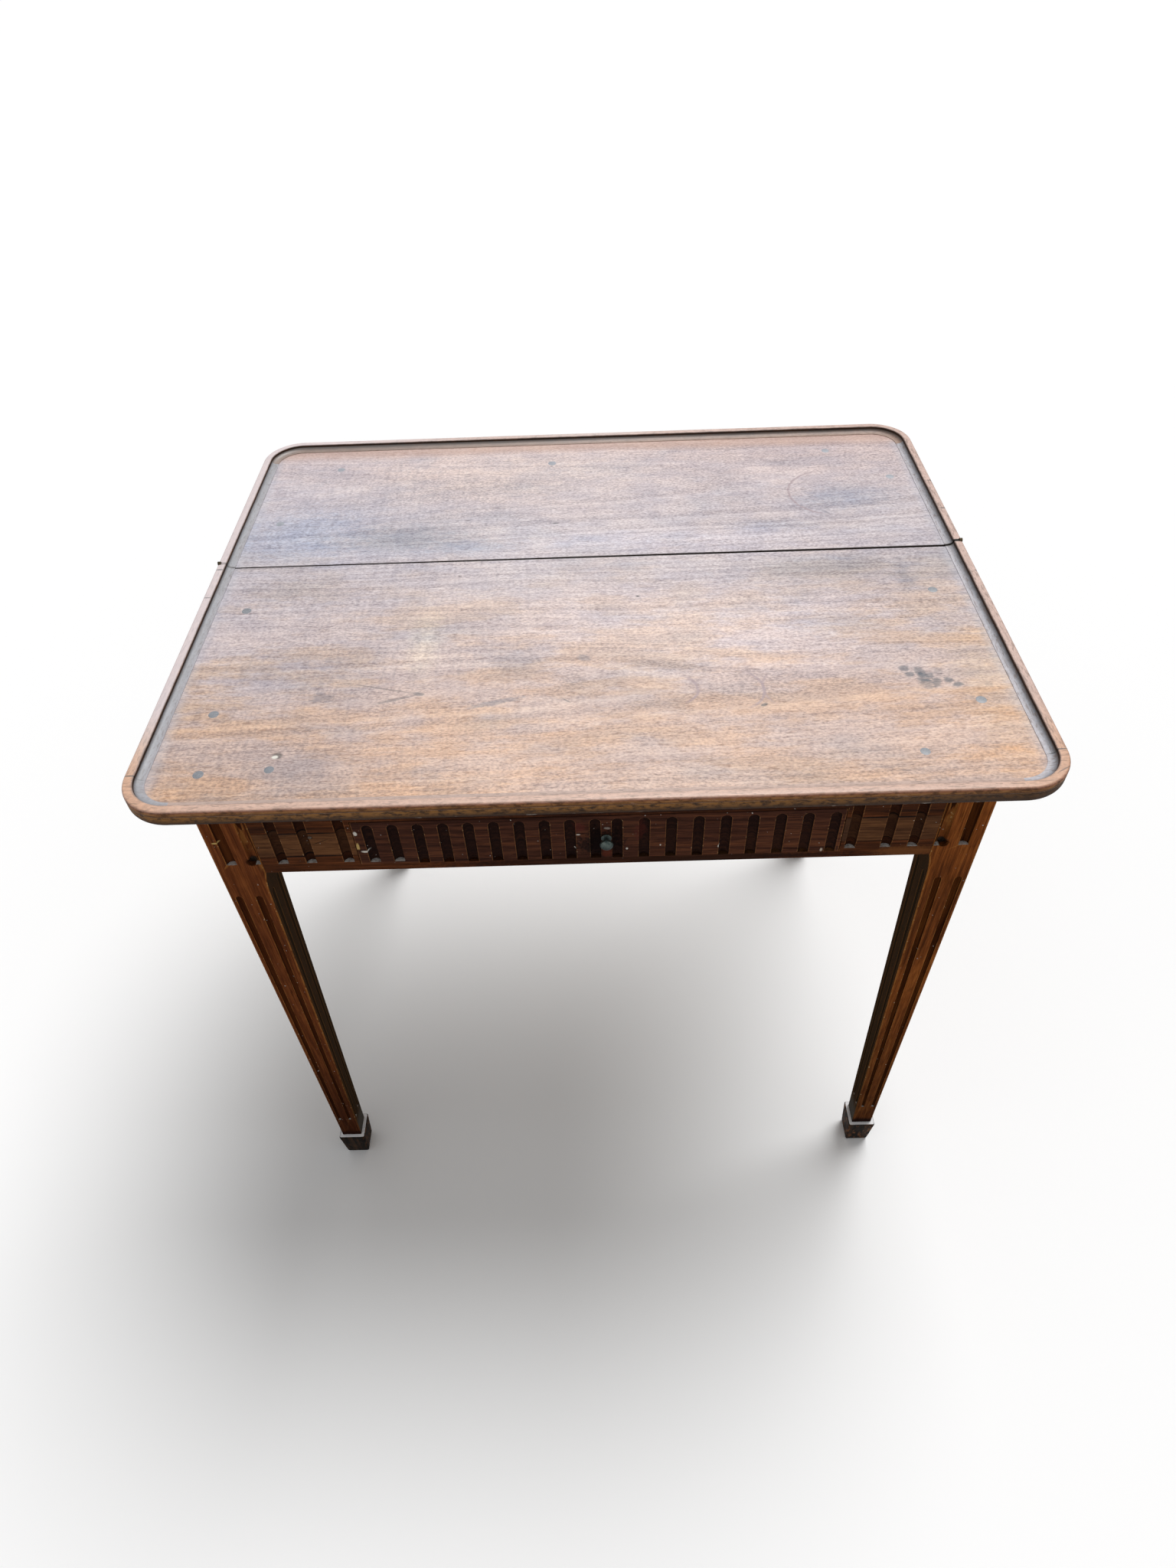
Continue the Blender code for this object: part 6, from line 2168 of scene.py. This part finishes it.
class Kept(Enum):
    """CAD nodes that stay, by finish and grain."""

    OAK_X = ("well_floor", "well_divider", "well_ledger_front", "well_ledger_rear",
             "corner_block_left", "corner_block_right", "drawer_back", "drawer_bottom")
    OAK_Y = ("drawer_runner_left", "drawer_runner_right", "drawer_kicker_left",
             "drawer_kicker_right", "drawer_side_left", "drawer_side_right")
    WALNUT_X = ("rear_cross_batten",)
    WALNUT_Y = ("front_batten_left", "front_batten_right", "rear_batten_left",
                "rear_batten_right")
    PEG = ("joint_peg_left", "joint_peg_right")
    BRASS = ("hinge_front_plate_left", "hinge_front_plate_right", "hinge_rear_plate_left",
             "hinge_rear_plate_right")
    IRON = ("hinge_pin_left", "hinge_pin_right", "knob_nut")


def repaint(kind: Kept, material: bpy.types.Material) -> None:
    """Give CAD nodes a procedural finish.

    Args:
        kind: The nodes.
        material: Their finish.
    """
    for name in kind.value:
        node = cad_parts[name]
        for at in range(len(node.material_slots)):
            node.material_slots[at].material = material
        LOG.info("%s keeps its CAD shape", name)


# Studio


@dataclass
class Studio:
    """Floor, light and camera."""

    camera_place: Point = (0.00634, -0.94684, 1.37797)
    yaw: float = -1.045
    pitch: float = 45.89
    roll: float = -2.412
    lens: float = 22.54
    sensor: float = 36.0
    floor_reach: float = 40.0
    sun_azimuth: float = 35.5
    sun_height: float = 62.0
    sun_spread: float = 33.7
    sun_strength: float = 2.2
    sky: Colour = (0.41, 0.41, 0.41)
    backdrop: Colour = (1.0, 1.0, 1.0)
    floor_lit: Colour = (0.72, 0.72, 0.72)
    floor_seen: Colour = (0.98, 0.98, 0.98)

    def floor(self) -> None:
        """Lay a white floor that keeps the table's shadow."""
        bm = bmesh.new()
        bmesh.ops.create_grid(bm, x_segments=8, y_segments=8, size=self.floor_reach)
        made = added("floor", new_mesh("floor", bm))
        graph = Graph("pale_floor")
        seen = graph.node("ShaderNodeLightPath", out="Is Camera Ray")
        shade = graph.mix(seen, self.floor_lit, self.floor_seen)
        shader = graph.node("ShaderNodeBsdfDiffuse", {}, {"Color": shade})
        made.data.materials.append(graph.output(shader))

    def light(self) -> None:
        """Light the table from a pale sky and one wide lamp behind it."""
        graph = Graph("studio", world=True)
        bpy.context.scene.world = graph.owner
        camera, glossy, through = (graph.node("ShaderNodeLightPath", out=f"Is {kind} Ray")
                                   for kind in ("Camera", "Glossy", "Transmission"))
        seen = (camera + (glossy + through)).clamped()
        glow = graph.node("ShaderNodeBackground", {},
                          {"Color": graph.mix(seen, self.sky, self.backdrop)})
        graph.output(glow, "World")
        lamp = bpy.data.lights.new("wide_lamp", "SUN")
        lamp.energy = self.sun_strength
        lamp.angle = math.radians(self.sun_spread)
        holder = added("wide_lamp", lamp)
        holder.rotation_euler = (math.radians(90 - self.sun_height), 0.0,
                                 math.radians(180 - self.sun_azimuth))

    def camera(self) -> None:
        """Set the camera at the photograph's place."""
        yaw, pitch, roll = (math.radians(angle) for angle in (self.yaw, self.pitch, self.roll))
        ahead = Vector((math.sin(yaw) * math.cos(pitch), math.cos(yaw) * math.cos(pitch),
                        -math.sin(pitch)))
        level = Vector((math.cos(yaw), -math.sin(yaw), 0.0))
        up = level.cross(ahead)
        right = level * math.cos(roll) + up * math.sin(roll)
        top = up * math.cos(roll) - level * math.sin(roll)
        data = bpy.data.cameras.new("camera")
        data.lens, data.sensor_width = self.lens, self.sensor
        made = added("camera", data)
        turn = Matrix((right, top, -ahead)).transposed().to_4x4()
        made.matrix_world = Matrix.Translation(self.camera_place) @ turn
        bpy.context.scene.camera = made

    def build(self) -> None:
        """Set up the studio."""
        self.floor()
        self.light()
        self.camera()
        bpy.context.scene.view_settings.view_transform = "Standard"


# The table's own finishes

INK = (0.028, 0.048, 0.070)
# Near black for dark joints, cracks and stains, and for painted shade in recesses
DARK_MARK_AND_SHADE = (0.008, 0.006, 0.006)
CHALK = (0.620, 0.580, 0.520)
GILT = (0.520, 0.360, 0.130)

FIELD_MARKS = (
    soft(0.130, -0.095, 0.190, 0.090, (1.22, 1.26, 1.30), 0.9),
    soft(0.080, 0.075, 0.230, 0.036, (1.16, 1.16, 1.18), 0.9),
    soft(-0.120, 0.250, 0.200, 0.070, (1.16, 1.14, 1.06), 0.9),
    soft(-0.177, -0.105, 0.019, 0.062, (1.20, 1.23, 1.10), 0.9),
    soft(-0.225, 0.103, 0.090, 0.034, (0.60, 0.66, 0.72)),
    soft(-0.140, 0.080, 0.060, 0.017, (0.74, 0.80, 0.87)),
    soft(-0.350, 0.125, 0.080, 0.060, (0.80, 0.92, 1.06), 0.9),
    soft(0.325, 0.166, 0.072, 0.032, (0.70, 0.77, 0.86)),
    soft(0.226, 0.108, 0.054, 0.017, (0.80, 0.86, 0.94)),
    soft(0.300, 0.012, 0.160, 0.036, (0.78, 0.81, 0.83)),
    soft(0.357, -0.012, 0.014, 0.032, (0.70, 0.74, 0.82)),
    soft(0.262, -0.091, 0.056, 0.026, (0.80, 0.85, 0.91)),
    soft(-0.323, -0.145, 0.070, 0.044, (0.76, 0.80, 0.88)),
    soft(-0.246, -0.140, 0.040, 0.042, (0.82, 0.85, 0.90)),
    soft(-0.080, -0.142, 0.044, 0.032, (0.78, 0.82, 0.88)),
    soft(-0.278, -0.289, 0.062, 0.022, (0.76, 0.80, 0.88)),
    soft(0.397, -0.200, 0.036, 0.120, (1.06, 1.00, 0.84), 0.9),
    Mark(-0.274, -0.190, 0.016, 0.009, (0.130, 0.120, 0.150), 0.52, 1.0),
    Mark(-0.213, -0.178, 0.040, 0.0016, (0.090, 0.070, 0.065), 0.55, 0.7, -15.0),
    Mark(-0.199, -0.196, 0.027, 0.0028, (0.110, 0.090, 0.090), 0.60, 0.7, 17.0),
    Mark(-0.175, -0.188, 0.008, 0.0040, (0.080, 0.070, 0.075), 0.75, 0.6),
    Mark(-0.098, -0.205, 0.036, 0.0050, (0.170, 0.170, 0.200), 0.50, 0.9, 14.0),
    Mark(-0.025, -0.205, 0.0075, 0.0016, (0.070, 0.060, 0.060), 0.65, 0.5, -38.0),
    Mark(-0.007, -0.138, 0.009, 0.0070, (0.150, 0.130, 0.150), 0.55, 0.8),
    Mark(-0.149, 0.141, 0.005, 0.0014, (0.080, 0.060, 0.060), 0.70, 0.4),
    Mark(-0.040, 0.128, 0.006, 0.0020, (0.050, 0.045, 0.055), 0.80, 0.4),
    Mark(-0.149, 0.019, 0.003, 0.0014, (0.070, 0.050, 0.050), 0.70, 0.4),
    Mark(0.054, -0.031, 0.0026, 0.0022, (0.030, 0.026, 0.028), 0.90, 0.4),
    Mark(0.170, -0.220, 0.005, 0.0026, (0.060, 0.060, 0.060), 0.80, 0.5, 25.0),
    Mark(0.294, 0.134, 0.009, 0.0016, (0.100, 0.100, 0.130), 0.50, 0.5, -45.0),
    Mark(-0.301, -0.272, 0.0075, 0.0055, (0.050, 0.030, 0.020), 0.85, 0.6),
    Mark(-0.303, -0.274, 0.0040, 0.0028, (0.780, 0.740, 0.660), 0.95, 0.4),
    Mark(0.3186, -0.1706, 0.0064, 0.0054, INK, 0.62, 0.8),
    Mark(0.3222, -0.1808, 0.0062, 0.0052, INK, 0.66, 0.8),
    Mark(0.3332, -0.1770, 0.0068, 0.0120, INK, 0.60, 0.8, 14.0),
    Mark(0.3408, -0.1826, 0.0074, 0.0062, INK, 0.62, 0.8),
    Mark(0.3345, -0.1865, 0.0092, 0.0090, INK, 0.50, 0.8),
    Mark(0.3360, -0.1950, 0.0110, 0.0096, INK, 0.50, 0.8),
    Mark(0.3455, -0.1945, 0.0064, 0.0094, INK, 0.62, 0.8, -24.0),
    Mark(0.3330, -0.1800, 0.0034, 0.0028, INK, 0.70, 0.6),
    Mark(0.3370, -0.1905, 0.0070, 0.0020, INK, 0.70, 0.6, -10.0),
    Mark(0.3516, -0.1766, 0.0060, 0.0084, INK, 0.25, 0.8),
    Mark(0.3588, -0.1910, 0.0058, 0.0062, INK, 0.66, 0.8),
    Mark(0.3660, -0.1978, 0.0074, 0.0056, INK, 0.70, 0.8, 14.0),
    Mark(0.3960, -0.1994, 0.0060, 0.0050, INK, 0.25, 0.8),
)

FIELD_RINGS = (
    Ring(0.3095, 0.181, 0.054, (0.310, 0.276), 0.70, 0.0022),
    Ring(0.0850, -0.193, 0.022, (0.088, 0.104), 0.75, 0.0024),
    Ring(0.1420, -0.196, 0.031, (0.150, 0.168), 0.75, 0.0022),
    Ring(0.2060, -0.195, 0.034, (0.185, 0.172), 0.60, 0.0022),
)

RIM_MARKS = (
    Mark(-0.430, -0.301, 0.012, 0.0012, DARK_MARK_AND_SHADE, 0.80, 0.3),
    Mark(0.430, -0.301, 0.012, 0.0012, DARK_MARK_AND_SHADE, 0.80, 0.3),
    Mark(0.4243, -0.327, 0.010, 0.0010, DARK_MARK_AND_SHADE, 0.60, 0.3, 30.0),
    Mark(-0.432, 0.038, 0.006, 0.0016, DARK_MARK_AND_SHADE, 0.80, 0.3),
    Mark(-0.432, -0.018, 0.006, 0.0014, DARK_MARK_AND_SHADE, 0.70, 0.3),
    Mark(0.438, 0.190, 0.010, 0.0018, DARK_MARK_AND_SHADE, 0.80, 0.3),
    Mark(0.435, 0.123, 0.008, 0.0018, DARK_MARK_AND_SHADE, 0.80, 0.3),
    Mark(0.438, -0.012, 0.006, 0.0050, DARK_MARK_AND_SHADE, 0.60, 0.5),
    Mark(0.000, 0.344, 0.120, 0.0040, (0.700, 0.660, 0.650), 0.30, 0.5),
)

RAIL_MARKS = (
    # Painted shadow of the top along the top of the front rail
    Mark(0.000, 0.7120, 0.420, 0.0100, (0.020, 0.009, 0.008), 0.80, 0.4),
    Mark(-0.277, 0.6900, 0.050, 0.0009, DARK_MARK_AND_SHADE, 0.85, 0.3),
    Mark(0.280, 0.6900, 0.048, 0.0009, DARK_MARK_AND_SHADE, 0.85, 0.3),
    Mark(-0.277, 0.6562, 0.050, 0.0009, DARK_MARK_AND_SHADE, 0.85, 0.3),
    Mark(0.280, 0.6562, 0.048, 0.0007, DARK_MARK_AND_SHADE, 0.70, 0.3),
    Mark(0.040, 0.6390, 0.260, 0.0110, (0.014, 0.007, 0.006), 0.72, 0.5),
    Mark(0.300, 0.6400, 0.040, 0.0090, (0.190, 0.070, 0.022), 0.60, 0.5),
)

LEG_MARKS = (
    # Painted shade: a dark notch at the top of each front leg
    Mark(-0.3355, 0.7150, 0.0060, 0.0100, DARK_MARK_AND_SHADE, 0.90),
    Mark(0.3355, 0.7150, 0.0060, 0.0100, DARK_MARK_AND_SHADE, 0.90),
    Mark(-0.3615, 0.6790, 0.0045, 0.0016, GILT, 0.90),
    # Painted shade inside the peg bores
    Mark(-0.3345, 0.6500, 0.0075, 0.0070, DARK_MARK_AND_SHADE, 0.80),
    Mark(0.3345, 0.6500, 0.0075, 0.0070, DARK_MARK_AND_SHADE, 0.80),
)

DRAWER_MARKS = (
    Mark(0.0050, 0.6640, 0.0260, 0.0230, DARK_MARK_AND_SHADE, 0.78, 1.2),
    Mark(0.0110, 0.6510, 0.0065, 0.0080, (0.110, 0.026, 0.014), 0.70, 0.7),
    Mark(-0.0150, 0.6880, 0.0080, 0.0090, (0.090, 0.020, 0.016), 0.60, 0.9),
    Mark(0.0420, 0.6800, 0.0080, 0.0160, (0.085, 0.020, 0.015), 0.60, 0.9),
    Mark(0.0115, 0.6860, 0.0036, 0.0022, (0.300, 0.260, 0.230), 0.70),
    Mark(-0.2262, 0.6880, 0.0022, 0.0036, CHALK, 0.95),
    Mark(-0.2268, 0.6700, 0.0020, 0.0060, GILT, 0.90),
    Mark(-0.2210, 0.6620, 0.0050, 0.0018, CHALK, 0.95),
    Mark(0.1180, 0.6560, 0.0012, 0.0024, CHALK, 0.90),
    Mark(-0.0160, 0.6780, 0.0026, 0.0012, CHALK, 0.80),
    Mark(0.0300, 0.6560, 0.0014, 0.0018, CHALK, 0.80),
    Mark(-0.0200, 0.6560, 0.0014, 0.0014, CHALK, 0.80),
    Mark(0.0620, 0.6600, 0.0010, 0.0016, CHALK, 0.80),
    Mark(0.2175, 0.6460, 0.0018, 0.0032, (0.480, 0.400, 0.320), 0.90),
)

PANEL_MARKS = (
    Mark(-0.277, 0.6891, 0.050, 0.0009, DARK_MARK_AND_SHADE, 0.85, 0.3),
    Mark(0.280, 0.6891, 0.048, 0.0009, DARK_MARK_AND_SHADE, 0.85, 0.3),
    Mark(-0.277, 0.6571, 0.050, 0.0009, DARK_MARK_AND_SHADE, 0.85, 0.3),
    Mark(-0.262, 0.6770, 0.012, 0.0006, DARK_MARK_AND_SHADE, 0.80, 0.3, 24.0),
    Mark(-0.292, 0.6680, 0.010, 0.0005, DARK_MARK_AND_SHADE, 0.70, 0.3, -18.0),
    Mark(-0.2700, 0.6840, 0.0034, 0.0030, DARK_MARK_AND_SHADE, 0.80),
    Mark(0.2800, 0.7000, 0.0700, 0.0130, (0.035, 0.018, 0.012), 0.75, 0.3),
    Mark(0.2380, 0.6700, 0.0060, 0.0400, (0.040, 0.020, 0.014), 0.60, 0.3),
    Mark(-0.3050, 0.6980, 0.0260, 0.0160, (0.040, 0.022, 0.014), 0.55, 0.4),
)

TOP_FINISH = {
    "roughness": 0.52, "specular": 0.12, "coat": 1.0, "coat_ior": 1.98,
    "relief_depth": 0.00010, "pore_share": 0.38, "ring_share": 0.24, "streak_share": 0.18,
    "cloud_share": 0.18, "fine_share": 0.48,
    "streak_noise": Noise((26.0, 330.0, 330.0), 6.0, 0.66),
    "fine_noise": Noise((290.0, 560.0, 560.0)),
    "pore_noise": Noise((100.0, 560.0, 560.0), 1.0),
}
FIELD = {
    **TOP_FINISH, "dark": (0.330, 0.235, 0.250), "mid": (0.650, 0.480, 0.487),
    "light": (0.870, 0.675, 0.665), "tilt": 0.03, "waver": 0.018,
}
RIM = {
    **TOP_FINISH, "dark": (0.120, 0.070, 0.050), "mid": (0.455, 0.300, 0.240),
    "light": (0.690, 0.490, 0.390), "marks": RIM_MARKS,
}
# The cove colours differ by side as painted light: bluish painted sky reflection on the side rims,
# plain tan without painted shade at the front, and a darker painted shade at the rear
FRONT_RIM = {
    **RIM, "hollow": (0.330, 0.230, 0.190), "cove": (0.520, 0.360, 0.300),
    "line": (0.540, 0.370, 0.300),
}
REAR_RIM = {
    **RIM, "hollow": (0.060, 0.040, 0.030), "cove": (0.240, 0.140, 0.098),
    "line": (0.380, 0.250, 0.190),
}
LEG = {"heart": (0.3, 0.3), "worn": (0.400, 0.165, 0.040), "marks": LEG_MARKS}
FRAME = {"heart": (0.0, 0.5)}
OAK = {
    "dark": (0.200, 0.125, 0.065), "mid": (0.380, 0.260, 0.150),
    "light": (0.500, 0.370, 0.230), "roughness": 0.68, "specular": 0.2,
}

FRONT_PLUGS = ((-0.385, -0.036), (0.382, -0.036), (-0.378, -0.210), (0.382, -0.222),
               (-0.371, -0.295), (-0.305, -0.291), (0.310, -0.292))
REAR_PLUGS = ((-0.330, 0.280), (-0.046, 0.279), (0.321, 0.289), (0.391, 0.215),
              (-0.385, 0.147))


def dress_top(plugs: Studs, screws: Studs, iron: bpy.types.Material) -> None:
    """Build both leaves with their rims, plugs and screws.

    Args:
        plugs: The tree that sets plugs.
        screws: The tree that sets screws.
        iron: The screws' finish.
    """
    sweep = Sweep()
    plug_woods = {
        -1: EndGrain("front_plug_end_grain", (0.085, 0.095, 0.115), (0.200, 0.215, 0.240),
                     coat=1.0).material(),
        1: EndGrain("rear_plug_end_grain", (0.200, 0.215, 0.250), (0.320, 0.335, 0.380),
                    coat=1.0).material(),
    }
    side_rims = {
        key: RimWalnut(f"rim_walnut_{key}", grain, **RIM).material()
        for key, grain in (("side", Grain.Y), ("corner", Grain.X))
    }
    rear_corner = RimWalnut("rim_walnut_rear_corner", Grain.X, **REAR_RIM).material()
    long_rims = {
        -1: RimWalnut("rim_walnut_front", Grain.X, **FRONT_RIM),
        1: RimWalnut("rim_walnut_rear", Grain.X, **REAR_RIM),
    }
    leaves = (Leaf(-1, "frame", FRONT_PLUGS), Leaf(1, "rear_leaf", REAR_PLUGS))
    for leaf in leaves:
        shift, heart = (0.0, (-0.185, 0.655)) if leaf.side_y < 0 else (3.1, (0.230, 0.650))
        on_leaf = [leaf.side_y * (mark.up - TABLE.seam) > -mark.reach_up for mark in FIELD_MARKS]
        marks = tuple(mark for mark, here in zip(FIELD_MARKS, on_leaf) if here)
        rings = tuple(ring for ring in FIELD_RINGS if (ring.up > TABLE.seam) == (leaf.side_y > 0))
        field_wood = TopWalnut(f"{leaf.end}_leaf_walnut", Grain.X, shift=shift, heart=heart,
                               marks=marks, rings=rings, **FIELD)
        leaf.board(field_wood.material())
        finishes = {"long": long_rims[leaf.side_y].material(), **side_rims}
        if leaf.side_y > 0:
            finishes["corner"] = rear_corner
        leaf.rims(sweep, finishes)
        leaf.set_plugs(plugs, plug_woods[leaf.side_y])
        leaf.set_screws(screws, iron)


def dress_legs() -> None:
    """Build the legs and their feet."""
    leg_woods = {
        -1: FlutedWalnut("left_leg_walnut", Grain.Z, dark=(0.052, 0.015, 0.006),
                         mid=(0.125, 0.034, 0.010), light=(0.230, 0.070, 0.018),
                         flute=(0.024, 0.0075, 0.0045), flute_shade_share=0.72,
                         foot_dark=(0.420, 0.055), **LEG).material(),
        1: FlutedWalnut("right_leg_walnut", Grain.Z, dark=(0.070, 0.020, 0.006),
                        mid=(0.205, 0.058, 0.012), light=(0.390, 0.132, 0.027),
                        flute=(0.013, 0.0042, 0.0028), flute_shade_share=0.93,
                        foot_dark=(0.500, 0.055), shift=1.3, **LEG).material(),
    }
    foot_wood = FootWalnut("foot_walnut", Grain.Z, dark=(0.006, 0.005, 0.004),
                           mid=(0.014, 0.010, 0.008), light=(0.045, 0.024, 0.014),
                           roughness=0.55).material()
    for side_y in ENDS:
        for side_x in HANDS:
            post = Leg(side_x, side_y)
            post.build(leg_woods[side_x])
            Foot(post).build(foot_wood)


def dress_apron() -> None:
    """Build the fluted aprons, rails and panels, and the drawer front with its knob."""
    rail_wood = FlutedWalnut("rail_walnut", Grain.X, dark=(0.028, 0.011, 0.007),
                             mid=(0.085, 0.026, 0.009), light=(0.200, 0.060, 0.021),
                             marks=RAIL_MARKS, **FRAME).material()
    panel_wood = FlutedWalnut("panel_walnut", Grain.X, dark=(0.036, 0.015, 0.009),
                              mid=(0.088, 0.036, 0.016), light=(0.165, 0.070, 0.028),
                              cloud_share=0.5, arris_wear_and_highlight_share=0.4, shift=1.7,
                              marks=PANEL_MARKS, **FRAME).material()
    drawer_wood = FlutedWalnut("drawer_walnut", Grain.X, dark=(0.022, 0.009, 0.007),
                               mid=(0.064, 0.023, 0.014), light=(0.145, 0.050, 0.022),
                               cloud_share=0.55, arris_wear_and_highlight_share=0.38, shift=4.3,
                               flute=(0.009, 0.008, 0.009), pore_share=0.6,
                               marks=DRAWER_MARKS, **FRAME).material()
    side_wood = FlutedWalnut("side_walnut", Grain.Y, dark=(0.048, 0.017, 0.008),
                             mid=(0.120, 0.038, 0.012), light=(0.230, 0.072, 0.024),
                             shift=2.2, **FRAME).material()
    apron = Apron()
    apron.front(rail_wood, panel_wood)
    apron.sides_and_back(side_wood, rail_wood)
    drawer = Drawer()
    drawer.front(apron, drawer_wood)
    drawer.knob(OldMetal("green_bronze", Patina.BRONZE, 0.34, (0.675, 0.669)).material())


def main() -> None:
    """Build the table's looks piece by piece."""
    logging.basicConfig(level=logging.INFO, format="%(name)s %(message)s")
    plugs = Studs("round_plugs", False)
    screws = Studs("slotted_screws", True)
    peg_wood = EndGrain("peg_end_grain", (0.010, 0.007, 0.006), (0.060, 0.038, 0.026)).material()
    iron = OldMetal("dark_iron", Patina.IRON).material()
    dress_top(plugs, screws, iron)
    dress_legs()
    dress_apron()
    FramePegs().build(plugs, screws, peg_wood, iron)
    repaint(Kept.OAK_X, Wood("oak_across", Grain.X, **OAK).material())
    repaint(Kept.OAK_Y, Wood("oak_along", Grain.Y, **OAK).material())
    repaint(Kept.WALNUT_X, Wood("batten_walnut_across", Grain.X).material())
    repaint(Kept.WALNUT_Y, Wood("batten_walnut_along", Grain.Y).material())
    repaint(Kept.PEG, peg_wood)
    repaint(Kept.BRASS, OldMetal("aged_brass", Patina.BRASS, 0.40, (0.7375, 0.7390)).material())
    repaint(Kept.IRON, iron)
    Studio().build()


if __name__ == "__main__":
    main()
